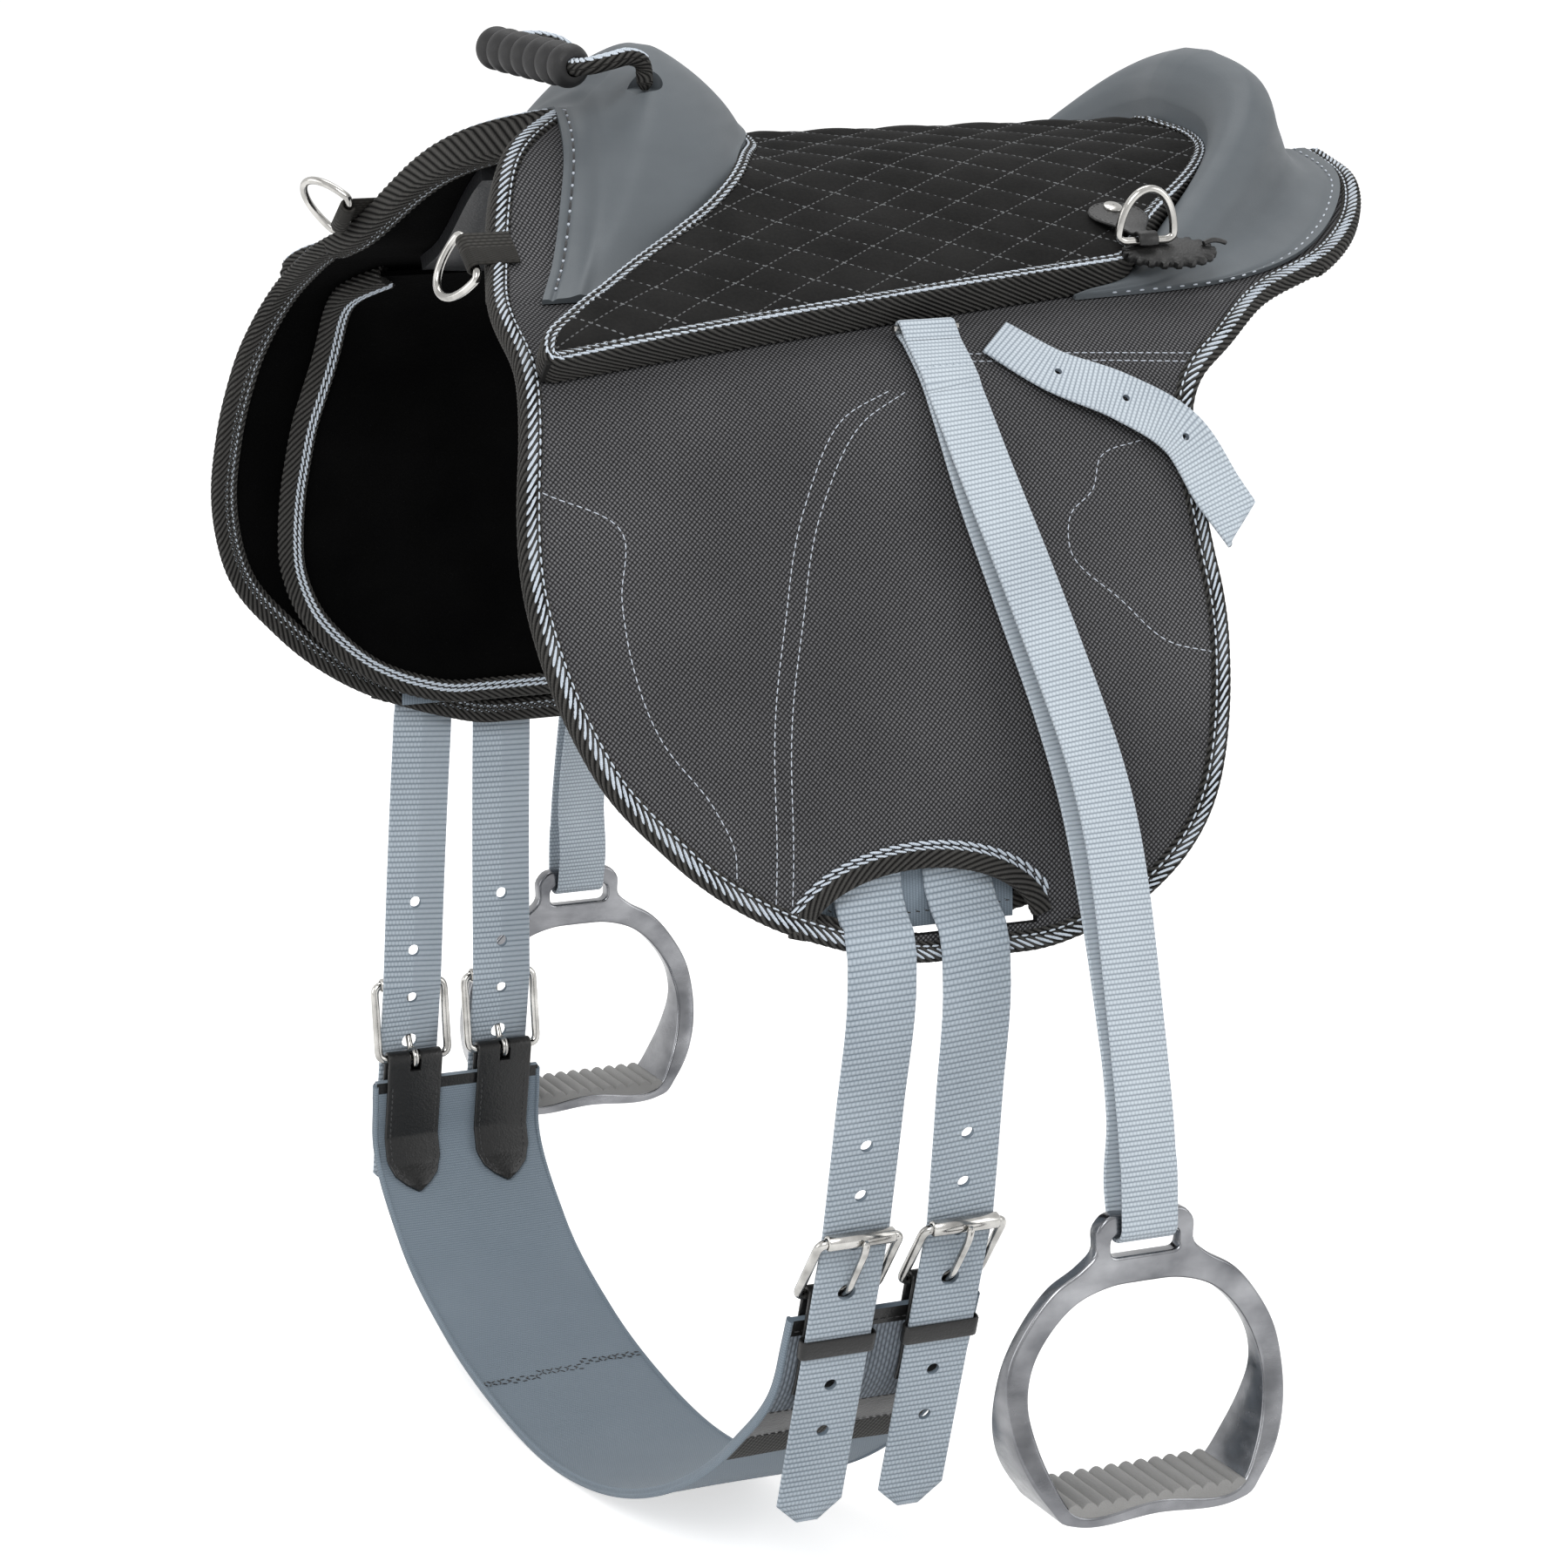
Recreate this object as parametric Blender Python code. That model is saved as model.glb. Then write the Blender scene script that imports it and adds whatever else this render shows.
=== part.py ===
"""Bareback pad for a pony, with its girth and stirrups.

Metres. X points to the pony's head, Y to its near (left) side, Z up.
The origin is on the underside of the bridge, over the spine.
"Arc" is a distance along the pad's outer face, from the spine down to one side, negative on the off side.
"Out" is a distance from that face along its outward normal.
"""
import math

import bmesh
import bpy
import numpy as np
from mathutils import Matrix, Vector

# Clearances
GAP = 0.0003
PLAY = 0.0008
SEW_GAP = 0.0015
OVERRUN = 0.004

# The pad's outer face: half a cross-section, the same all along the pony but for the front arch
SPREAD = 0.248
FALL = 0.314
BASE_THICK = 0.014
FLAP_THICK = 0.004
FLAP_ARC = 0.418
BRIDGE_ARC = 0.118
FRONT_REACH = 0.152
REAR_REACH = 0.312
ARCH_RISE = 0.031
ARCH_HALF = 0.100
ARCH_START = -0.030
ARCH_RUN = 0.095
SECTION_SHARES = (
    (0, 0), (0.2, 0.029), (0.355, 0.076), (0.5, 0.127), (0.633, 0.185), (0.718, 0.264), (0.766, 0.347),
    (0.81, 0.427), (0.855, 0.49), (0.9, 0.557), (0.948, 0.634), (0.98, 0.713), (0.996, 0.809), (1, 1))
FRONT_EDGE_SHARES = (
    (0, 0.41), (0.12, 0.70), (0.215, 0.81), (0.29, 0.875), (0.385, 0.895), (0.455, 0.934), (0.52, 0.974),
    (0.6, 1), (0.67, 0.993), (0.78, 0.92), (0.873, 0.737), (0.94, 0.507), (0.976, 0.283), (1, 0.06))
REAR_EDGE_SHARES = (
    (0, 1), (0.096, 0.978), (0.18, 0.926), (0.268, 0.824), (0.34, 0.663), (0.407, 0.567), (0.455, 0.494),
    (0.49, 0.471), (0.6, 0.468), (0.69, 0.465), (0.78, 0.442), (0.9, 0.385), (0.97, 0.282), (1, 0.16))

# Half-moon windows in the flaps
WINDOW_WIDTH = 0.103
WINDOW_HEIGHT = 0.028
WINDOW_X = 0.0065
WINDOW_SILL = 0.010
WINDOW_STEPS = 16

# Sweat panels and bolsters
SWEAT_THICK = 0.007
SWEAT_TOP_ARC = 0.134
SWEAT_BOTTOM_ARC = 0.404
SWEAT_FRONT_SHARES = (
    (0, 0.645), (0.07, 0.724), (0.27, 0.743), (0.41, 0.789), (0.57, 0.789), (0.7, 0.757), (0.82, 0.671),
    (0.9, 0.553), (0.966, 0.375), (1, 0.2))
SWEAT_REAR_SHARES = (
    (0, 0.545), (0.07, 0.497), (0.27, 0.4), (0.41, 0.391), (0.57, 0.385), (0.7, 0.369), (0.82, 0.337),
    (0.9, 0.295), (0.966, 0.224), (1, 0.112))
SWEAT_EASE = 1.6
BOLSTER_THICK = 0.017
BOLSTER_EDGE_SHARE = 0.35
BOLSTER_FULLNESS = 0.4
BOLSTER_INNER_ARC = 0.030
BOLSTER_OUTER_ARC = 0.115
BOLSTER_FRONT = 0.085
BOLSTER_REAR = -0.270

# Seat
SEAT_EDGE_HEIGHT = 0.013
SEAT_CROWN = 0.006
COVER_THICK = 0.003
FOAM_CLEAR = 0.002
FOAM_COLUMNS = 11
FOAM_ROWS = 14
QUILT_PUFF = 0.0022
SEAT_ARC = 0.151
SEAT_FRONT = 0.123
SEAT_REAR = -0.225
SEAT_SLANT = 0.041
SEAT_FRONT_SHARES = ((0, -0.163), (0.18, 0), (0.355, 0.244), (0.593, 0.618), (0.83, 0.97), (1, 1))
SEAT_REAR_SHARES = (
    (0, 0.987), (0.23, 1.013), (0.38, 0.996), (0.53, 0.933), (0.67, 0.844), (0.76, 0.778), (0.95, 0.667),
    (1, 0.644))
QUILT_COLUMNS = 14
QUILT_ROWS = 28

# Pommel
POMMEL_HEIGHT = 0.043
POMMEL_ARC = 0.120
POMMEL_FRONT = 0.1125
POMMEL_CLEAR = 0.0012
POMMEL_FALL_SHARES = (0.5, 0.9)
POMMEL_FALLOFF = 2.8
POMMEL_STEP_SHARE = 0.2
POMMEL_RISE_SHARE = 0.3
FLANGE_THICK = 0.003
POMMEL_FRONT_SHARES = ((0, 0.56), (0.15, 0.68), (0.4, 0.88), (0.65, 0.96), (1, 1))

# Cantle
CANTLE_HEIGHT = 0.048
CANTLE_ARC = 0.140
CANTLE_REAR = -0.305
CANTLE_WING = 0.026
CANTLE_TURN_SHARE = 0.85
CANTLE_CLEAR = 0.0022
CANTLE_HEIGHT_SHARES = (
    (0, 1), (0.27, 0.854), (0.33, 0.69), (0.4, 0.52), (0.5, 0.344), (0.6, 0.29), (0.8, 0.23), (1, 0.125))
CANTLE_OUTER_X_SHARES = ((0, 1), (0.2, 0.984), (0.4, 0.944), (0.55, 0.86), (0.7, 0.77), (0.85, 0.64), (1, 0.39))
CANTLE_OUTER_ARC_SHARES = ((0, 0), (0.2, 0.214), (0.4, 0.443), (0.55, 0.68), (0.7, 0.843), (0.85, 0.95), (1, 0.99))
CANTLE_PROFILE_SHARES = ((0, 0.8), (0.12, 0.97), (0.27, 1), (0.5, 0.45), (0.65, 0.2), (0.8, 0.07), (1, 0.06))

# Grip and its rope
GRIP_LENGTH = 0.074
GRIP_RADIUS = 0.0095
GRIP_RIB = 0.0011
GRIP_RIBS = 7
GRIP_BORE = 0.0042
GRIP_FORWARD = 0.0345
GRIP_ABOVE = 0.0085
GRIP_SKEW = 0.010
GRIP_TILT = 0.004
ROPE_RADIUS = 0.0035
ROPE_BEND_SHARES = ((0.12, 1.9, 0.5), (0.4, 2.4, 1.6), (0.7, 1.6, 2.5), (0.93, 0.6, 2.1))
ROPE_HOLE_X = 0.037
ROPE_HOLE_Y = 0.035
ROPE_HOLE_RADIUS = 0.0075
ROPE_FLOOR_GAP = 0.0009
ROPE_END_SHARE = 0.3

# D-rings and their tabs
RING_WIRE = 0.00175
RING_WIDTH = 0.026
RING_HEIGHT = 0.022
TAB_WIDTH = 0.018
TAB_THICK = 0.0016
FRONT_TAB_ARC = 0.082
FRONT_TAB_LENGTH = 0.009
FRONT_EYE_CLEAR = 0.0095
FRONT_RING_TURN = {1: math.radians(-65), -1: math.radians(50)}
REAR_RING_TURN = math.radians(20)
CRUPPER_EYE_CLEAR = 0.0042
CRUPPER_EYE_DEPTH = 0.007
ROSETTE_LENGTH = 0.044
ROSETTE_WIDTH = 0.022
ROSETTE_THICK = 0.004
ROSETTE_TEETH = 18
ROSETTE_TOOTH = 0.0014
ROSETTE_X = -0.163
ROSETTE_ARC = 0.131
RING_BAR_ARC = 0.128
PATCH_X = -0.152
PATCH_TOP_ARC = 0.093
PATCH_WIDTH = 0.019
PATCH_NECK = 0.009
PATCH_THICK = 0.0016
PATCH_WIDTH_SHARES = (0.55, 0.95, 1, 0.7)
PATCH_HEIGHT_SHARES = ((0, 1.5), (0.25, 1.5), (0.5, 1.5), (1, 2))
PATCH_WRAP = (-60, -30, 0, 30, 60, 85)
RIVET_RADIUS = 0.0042
RIVET_HEIGHT = 0.0014
RIVET_FLAT_SHARE = 0.7

# Billets and girth
BILLET_WIDTH = 0.030
BILLET_THICK = 0.002
BILLET_TOP_ARC = 0.352
BILLET_EXIT_ARC = 0.3935
BILLET_HOLE = 0.0028
BILLET_HOLE_PITCH = 0.024
BILLET_SAMPLES = 22
BILLET_HOLES = (-3, -2, -1, 2, 3)
BILLET_TIP_SHARE = 0.3
GIRTH_WIDTH = 0.085
GIRTH_THICK = 0.003
GIRTH_AXIS_ARC = 0.394
GIRTH_TOP = -0.420
GIRTH_SAG = 0.158
GIRTH_SHARES = ((0.6, 0.52), (0.34, 0.79), (0.06, 0.95), (-0.2, 1), (-0.44, 0.96), (-0.685, 0.855), (-0.91, 0.66))
GIRTH_ENDS = 0.012
GIRTH_STEPS = 53
CHAPE_WIDTH = 0.028
CHAPE_THICK = 0.0018
CHAPE_LENGTH = 0.062
CHAPE_OUTER_SHARE = 0.6
CHAPE_TIP_SHARES = (0.3, 0.8)
CHAPE_STEPS_SHARE = (0.02, 0.25, 0.5, 0.75, 0.9, 1)
BUCKLE_WIDTH = 0.040
BUCKLE_CORNER = 0.002
BUCKLE_HEIGHT = 0.035
BUCKLE_WIRE = 0.002
ROLLER_LENGTH = 0.030
ROLLER_RADIUS = 0.0034
TONGUE_WIRE = 0.0016
TONGUE_HOLE = 0.0040
TONGUE_RISE = 0.0055
TONGUE_SLOT = 0.0055
TONGUE_NECK = 0.0033
TONGUE_CROOK = 0.00825
TONGUE_TIP_SHARE = 0.8
TONGUE_REST_SHARE = 0.9
CHAPE_BAR_DROP = 0.0078
KEEPER_LENGTH = 0.009
KEEPER_WALL = 0.0015
KEEPER_DOWN = 0.022
# Per side (near, off): where the billets meet the rollers, their lean inward, their length below, their X
ROLLER_Y = {1: 0.220, -1: 0.247}
ROLLER_Z = {1: -0.390, -1: -0.402}
BILLET_LEAN = {1: math.radians(19), -1: math.radians(-12)}
BILLET_TAIL = {1: 0.150, -1: 0.112}
GIRTH_X = {1: -0.002, -1: 0.0225}
BILLET_SPACING = 0.047
WINDOW_SPACING = 0.038
WINDOW_BILLET_X = {1: 0.009, -1: 0.012}

# Stirrups
STRAP_WIDTH = 0.025
STRAP_THICK = 0.0018
STRAP_X = -0.040
STRAP_PIVOT_ARC = 0.166
STRAP_LENGTH = 0.3614
STRAP_DRIFT = -0.024
STRAP_DRIFT_SHARE = 0.6
STRAP_BOW = 0.0345
STRAP_EYE_OUT = -0.003
STRAP_BAR_UP = 0.0095
HEM_SHARE = 0.94
OUTER_LAYER_SHARES = (
    (-0.006, 0.168), (0.0138, 0.284), (0.0415, 0.412), (0.08, 0.507), (0.155, 0.623), (0.224, 0.742),
    (0.329, 0.826), (0.429, 0.899), (0.534, 1), (0.639, 0.942), (0.775, 0.7), (0.891, 0.48), (0.955, 0.3))
INNER_LAYER_SHARES = (
    (-0.0083, 0.08), (0.0138, 0.206), (0.0415, 0.333), (0.094, 0.42), (0.171, 0.435), (0.31, 0.478), (0.451, 0.536),
    (0.526, 0.551), (0.65, 0.53), (0.775, 0.42), (0.85, 0.31), (0.891, 0.19), (0.955, -0.17))
SWING_LEAN = math.radians(25)
HANGER_WIRE = 0.0016
HANGER_LENGTH = 0.029
HANGER_POST = 0.002
HANGER_SEAT = 0.0048
HANGER_SLOT = 0.0064
HANGER_SLOT_SHARE = 2.5
IRON_WIDTH = 0.124
IRON_HEIGHT = 0.122
IRON_THICK = 0.0075
IRON_OUTER_SHARES = (
    (0, 0), (0.3, 0), (0.345, -0.03), (0.355, -0.11), (0.45, -0.155), (0.645, -0.215), (0.84, -0.33), (0.97, -0.46),
    (1, -0.57), (0.975, -0.7), (0.89, -0.82), (0.76, -0.92), (0.68, -0.97), (0.6, -0.985), (0, -0.985))
IRON_INNER_SHARES = (
    (0, -0.225), (0.24, -0.23), (0.48, -0.27), (0.69, -0.37), (0.815, -0.49), (0.85, -0.59), (0.82, -0.7),
    (0.74, -0.82), (0.62, -0.93), (0, -0.935))
IRON_EYE_WIDTH = 0.031
IRON_EYE_HEIGHT = 0.009
IRON_EYE_BAR = 0.007
TREAD_WIDTH = 0.083
TREAD_DEPTH = 0.036
TREAD_THICK = 0.009
TREAD_RIDGES = 12
TAIL_STRAP_WIDTH = 0.024
TAIL_STRAP_RUN = 0.118
TAIL_STRAP_SHARES = (
    (0.26, -0.03, 0.0165), (0.424, 0.136, 0.022), (0.636, 0.263, 0.045), (0.839, 0.407, 0.047),
    (0.941, 0.627, 0.055), (1, 0.814, 0.11))
TAIL_STRAP_TIP_SHARES = (0.9, 0.45)
TAIL_STRAP_HOLES = 3
TAIL_STRAP_HOLE = 0.002

SIDES = ((1, "left"), (-1, "right"))
EDGE = 0.001
AHEAD = Vector((1, 0, 0))
COLLECTION = bpy.data.collections


def curve_through(points, count):
    """Even steps along a smooth curve through the points."""
    points = np.array(points, float)
    chord = np.r_[0, np.cumsum(np.linalg.norm(np.diff(points, axis=0), axis=1))]
    slopes = np.gradient(points, chord, axis=0)
    fine = []
    for place in np.linspace(0, chord[-1], 30 * len(points)):
        at = min(max(int(np.searchsorted(chord, place)) - 1, 0), len(chord) - 2)
        span = chord[at + 1] - chord[at]
        t = (place - chord[at]) / span
        fine.append((2 * t**3 - 3 * t**2 + 1) * points[at] + (t**3 - 2 * t**2 + t) * span * slopes[at]
                    + (3 * t**2 - 2 * t**3) * points[at + 1] + (t**3 - t**2) * span * slopes[at + 1])
    fine = np.array(fine)
    run = np.r_[0, np.cumsum(np.linalg.norm(np.diff(fine, axis=0), axis=1))]
    even = np.linspace(0, run[-1], count)
    return np.column_stack([np.interp(even, run, fine[:, k]) for k in range(points.shape[1])])


def read(table, place):
    """The smooth value of a table of (place, value) shares."""
    return float(np.interp(place, *curve_through(table, 60).T))


def ease(t):
    """A smooth step from 0 to 1."""
    t = min(max(t, 0.0), 1.0)
    return t * t * (3 - 2 * t)


SECTION = curve_through([(y * SPREAD, BASE_THICK - z * FALL) for y, z in SECTION_SHARES], 400)
SECTION_ARC = np.r_[0, np.cumsum(np.linalg.norm(np.diff(SECTION, axis=0), axis=1))]
SECTION_SLOPE = np.gradient(SECTION, SECTION_ARC, axis=0)
FRONT_CURVE = curve_through(FRONT_EDGE_SHARES, 80).T
REAR_CURVE = curve_through(REAR_EDGE_SHARES, 80).T


def section(arc):
    """Y, Z and the outward normal of the pad's outer face at this arc."""
    away = abs(arc)
    side = -1 if arc < 0 else 1
    y = np.interp(away, SECTION_ARC, SECTION[:, 0])
    z = np.interp(away, SECTION_ARC, SECTION[:, 1]) - max(away - SECTION_ARC[-1], 0)
    slope_y = np.interp(away, SECTION_ARC, SECTION_SLOPE[:, 0])
    slope_z = np.interp(away, SECTION_ARC, SECTION_SLOPE[:, 1])
    size = math.hypot(slope_y, slope_z)
    return side * y, z, -side * slope_z / size, slope_y / size


def arch(x, arc):
    """How far the front arch lifts the pad here."""
    return ARCH_RISE * ease((x - ARCH_START) / ARCH_RUN) * max(1 - (arc / ARCH_HALF)**2, 0)**2


def on_pad(x, arc, out=0.0):
    """A point this far out from the pad's outer face."""
    y, z, normal_y, normal_z = section(arc)
    return Vector((x, y + normal_y * out, z + normal_z * out + arch(x, arc)))


def out_of_pad(arc):
    """The outward normal at this arc."""
    _, _, normal_y, normal_z = section(arc)
    return Vector((0, normal_y, normal_z))


def front_edge(arc):
    return FRONT_REACH * np.interp(abs(arc) / FLAP_ARC, *FRONT_CURVE)


def rear_edge(arc):
    return -REAR_REACH * np.interp(abs(arc) / FLAP_ARC, *REAR_CURVE)


def pad_thickness(arc):
    """The bridge thins from the spine to the flaps."""
    return BASE_THICK + (FLAP_THICK * 1.5 - BASE_THICK) * ease(abs(arc) / BRIDGE_ARC)


def material(name, colour, roughness, metallic=0.0):
    made = bpy.data.materials.new(name)
    made.use_nodes = True
    shader = made.node_tree.nodes["Principled BSDF"]
    shader.inputs["Base Color"].default_value = (*colour, 1)
    shader.inputs["Roughness"].default_value = roughness
    shader.inputs["Metallic"].default_value = metallic
    return made


def add(name, mesh, look, parent=None, collection="bareback_pad"):
    """Puts a mesh in the scene as a named part."""
    mesh.name = name
    mesh.materials.clear()
    made = bpy.data.objects.new(name, mesh)
    COLLECTION[collection].objects.link(made)
    if look:
        mesh.materials.append(LOOKS[look].copy())
        mesh.materials[0].name = name
    mesh.shade_smooth()
    mesh.set_sharp_from_angle(angle=math.radians(40))
    if parent:
        made.parent = parent
        made.matrix_parent_inverse = Matrix.Translation(-parent.location)
    return made


def pivot(name, place, parent=None):
    """An empty on a joint's axis, which carries the moving parts."""
    made = bpy.data.objects.new(name, None)
    COLLECTION["bareback_pad"].objects.link(made)
    made.empty_display_size = BASE_THICK
    made.location = place
    if parent:
        made.parent = parent
        made.matrix_parent_inverse = Matrix.Translation(-parent.location)
        made.location = place
    return made


def to_mesh(shape):
    mesh = bpy.data.meshes.new("mesh")
    bmesh.ops.recalc_face_normals(shape, faces=shape.faces[:])
    if shape.calc_volume(signed=True) < 0:
        bmesh.ops.reverse_faces(shape, faces=shape.faces[:])
    shape.to_mesh(mesh)
    shape.free()
    return mesh


def slab_shape(columns, rows, outer, inner):
    """A closed sheet. outer(u, v) and inner(u, v) place its two faces, with u and v from 0 to 1."""
    shape = bmesh.new()
    bmesh.ops.create_grid(shape, x_segments=columns, y_segments=rows, size=1)
    base = shape.verts[:]
    raised = bmesh.ops.extrude_face_region(shape, geom=shape.faces[:], use_keep_orig=True)
    top = [item for item in raised["geom"] if isinstance(item, bmesh.types.BMVert)]
    for verts, face in ((base, inner), (top, outer)):
        for vert in verts:
            vert.co = face((vert.co.x + 1) / 2, (vert.co.y + 1) / 2)
    return shape


def finer_ahead(u):
    """Gives the front of a panel, under the arch, two thirds of its columns."""
    return u * 1.8 if u < 1 / 3 else 0.6 + (u - 1 / 3) * 0.6


def panel(name, look, columns, rows, arcs, front, rear, outer, inner, warp=lambda u: u):
    """A slab on the pad between two arcs, from rear(arc) to front(arc). outer and inner give its two heights."""
    def place(u, v, height):
        arc = arcs[0] + (arcs[1] - arcs[0]) * v
        x = rear(arc) + (front(arc) - rear(arc)) * warp(u)
        return on_pad(x, arc, height(x, arc, u, v))
    shape = slab_shape(columns, rows, lambda u, v: place(u, v, outer), lambda u, v: place(u, v, inner))
    return add(name, to_mesh(shape), look)


def ribbon_mesh(spots, width, thick, across, widths=None):
    """A band along points. across is the direction of its width, at each point or everywhere."""
    spots = np.array(spots, float)
    columns = len(spots) - 1
    run = np.r_[0, np.cumsum(np.linalg.norm(np.diff(spots, axis=0), axis=1))]
    slopes = np.gradient(spots, run, axis=0)

    def place(u, v, side):
        at = round(u * columns)
        slope = Vector(slopes[at]).normalized()
        level = across[at] if isinstance(across, list) else across
        level = (level - slope * level.dot(slope)).normalized()
        half = (v - 0.5) * width * (widths[at] if widths else 1)
        return Vector(spots[at]) + level * half + slope.cross(level) * (side * thick / 2)
    return to_mesh(slab_shape(columns, 1, lambda u, v: place(u, v, 1), lambda u, v: place(u, v, -1)))


def wire_mesh(points, radius, closed=False, sides=2, end_share=1):
    """A round wire through the points, as a closed mesh. Its ends may be thinner."""
    data = bpy.data.curves.new("wire", "CURVE")
    data.dimensions = "3D"
    data.bevel_depth = radius
    data.bevel_resolution = sides
    data.use_fill_caps = not closed
    line = data.splines.new("POLY")
    line.points.add(len(points) - 1)
    for spot, point in zip(line.points, points):
        spot.co = (*point, 1)
    line.points[0].radius = end_share
    line.points[-1].radius = end_share
    line.use_cyclic_u = closed
    return curve_mesh(data)


def curve_mesh(data):
    """A curve's solid with its loose caps welded."""
    holder = bpy.data.objects.new("curve", data)
    bpy.context.scene.collection.objects.link(holder)
    seen = holder.evaluated_get(bpy.context.evaluated_depsgraph_get())
    mesh = bpy.data.meshes.new_from_object(seen)
    bpy.data.objects.remove(holder)
    shape = bmesh.new()
    shape.from_mesh(mesh)
    bmesh.ops.remove_doubles(shape, verts=shape.verts[:], dist=GAP / 30)
    return to_mesh(shape)


def outline_mesh(outlines, thick):
    """A flat shape with holes, extruded both ways from the XY plane."""
    data = bpy.data.curves.new("outline", "CURVE")
    data.dimensions = "2D"
    data.fill_mode = "BOTH"
    data.extrude = thick / 2
    for points in outlines:
        line = data.splines.new("POLY")
        line.points.add(len(points) - 1)
        for spot, point in zip(line.points, points):
            spot.co = (point[0], point[1], 0, 1)
        line.use_cyclic_u = True
    return curve_mesh(data)


def turned(name, look, profile, place, direction, steps=16, parent=None):
    """A profile of (radius, height) turned about a direction, as a closed mesh."""
    shape = bmesh.new()
    ring = [shape.verts.new((radius, 0, height)) for radius, height in profile]
    loop = [shape.edges.new(pair) for pair in zip(ring, ring[1:] + ring[:1])]
    bmesh.ops.spin(shape, geom=ring + loop, cent=(0, 0, 0), axis=(0, 0, 1), angle=2 * math.pi, steps=steps)
    bmesh.ops.remove_doubles(shape, verts=shape.verts[:], dist=GAP / 30)
    bmesh.ops.dissolve_degenerate(shape, edges=shape.edges[:], dist=GAP / 30)
    mesh = to_mesh(shape)
    mesh.transform(Matrix.Translation(place) @ direction.to_track_quat("Z", "Y").to_matrix().to_4x4())
    return add(name, mesh, look, parent)


def modify(target, kind, other, operation):
    change = target.modifiers.new(kind, "BOOLEAN")
    change.object = other
    change.operation = operation
    change.solver = "EXACT"


def cutter(name, mesh, target):
    """Cuts a hidden shape out of a part."""
    made = add(name, mesh, None, collection="cutters")
    made.hide_render = True
    made.display_type = "WIRE"
    modify(target, name, made, "DIFFERENCE")
    return made


def box_mesh(size, place, along, up):
    """A box with its X along one direction and its Z near another."""
    shape = bmesh.new()
    bmesh.ops.create_cube(shape, size=1)
    side = up.cross(along).normalized()
    turn = Matrix((along.normalized(), side, along.normalized().cross(side))).transposed().to_4x4()
    stand = Matrix.Translation(place) @ turn @ Matrix.Diagonal((*size, 1))
    bmesh.ops.transform(shape, verts=shape.verts[:], matrix=stand)
    return to_mesh(shape)


def rod_shape(shape, radius, length, place, direction, sides=12):
    """Adds a cylinder to a shape, centred on a place."""
    turn = direction.to_track_quat("Z", "Y").to_matrix().to_4x4()
    bmesh.ops.create_cone(shape, cap_ends=True, segments=sides, radius1=radius, radius2=radius, depth=length,
                          matrix=Matrix.Translation(place) @ turn)


def pad():
    """The bridge, the flaps with their windows, the sweat panels and the bolsters."""
    panel("pad_bridge", "canvas", 16, 14, (-BRIDGE_ARC, BRIDGE_ARC), front_edge, rear_edge,
          lambda x, arc, u, v: 0, lambda x, arc, u, v: -pad_thickness(arc), finer_ahead)
    for side, name in SIDES:
        arcs = (side * (BRIDGE_ARC + GAP), side * FLAP_ARC)
        flap = panel(f"flap_{name}", "canvas", 10, 12, arcs, front_edge, rear_edge,
                     lambda x, arc, u, v: 0, lambda x, arc, u, v: -FLAP_THICK)
        cut_window(flap, side)
        sweat_panel(side, name)
        bolster(side, name)


def cut_window(flap, side):
    sill_y, sill_z, _, _ = section(FLAP_ARC - WINDOW_SILL)
    turns = [math.pi * step / WINDOW_STEPS for step in range(WINDOW_STEPS + 1)]
    arch_points = [(WINDOW_X + WINDOW_WIDTH / 2 * math.cos(turn), sill_z + WINDOW_HEIGHT * math.sin(turn))
                   for turn in turns]
    mesh = outline_mesh([arch_points], FLAP_THICK * 6)
    mesh.transform(Matrix.Translation((0, side * sill_y, 0)) @ Matrix.Rotation(math.pi / 2, 4, "X"))
    cutter(f"{flap.name}_window", mesh, flap)


def sweat_panel(side, name):
    """It is sewn to the flap at its top and leaves room for the billets below."""
    depth = SWEAT_BOTTOM_ARC - SWEAT_TOP_ARC
    front = curve_through(SWEAT_FRONT_SHARES, 60).T
    rear = curve_through(SWEAT_REAR_SHARES, 60).T

    def down(arc):
        return (abs(arc) - SWEAT_TOP_ARC) / depth

    def top(arc):
        room = BILLET_THICK + 2 * PLAY - GAP
        return -FLAP_THICK - PLAY - room * ease(down(arc) * SWEAT_EASE)
    panel(f"sweat_panel_{name}", "velvet", 8, 9, (side * SWEAT_TOP_ARC, side * SWEAT_BOTTOM_ARC),
          lambda arc: FRONT_REACH * np.interp(down(arc), *front),
          lambda arc: -REAR_REACH * np.interp(down(arc), *rear),
          lambda x, arc, u, v: top(arc), lambda x, arc, u, v: top(arc) - SWEAT_THICK)


def bolster(side, name):
    """A stuffed roll beside the spine, full in the middle and drawn in at its edges."""
    def swell(u, v):
        full = (math.sin(math.pi * u) * math.sin(math.pi * v))**BOLSTER_FULLNESS
        return BOLSTER_EDGE_SHARE + (1 - BOLSTER_EDGE_SHARE) * full
    panel(f"bolster_{name}", "leather", 15, 6, (side * BOLSTER_INNER_ARC, side * BOLSTER_OUTER_ARC),
          lambda arc: BOLSTER_FRONT, lambda arc: BOLSTER_REAR,
          lambda x, arc, u, v: -pad_thickness(arc) - SEW_GAP,
          lambda x, arc, u, v: -pad_thickness(arc) - SEW_GAP - BOLSTER_THICK * swell(u, v), finer_ahead)


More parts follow.
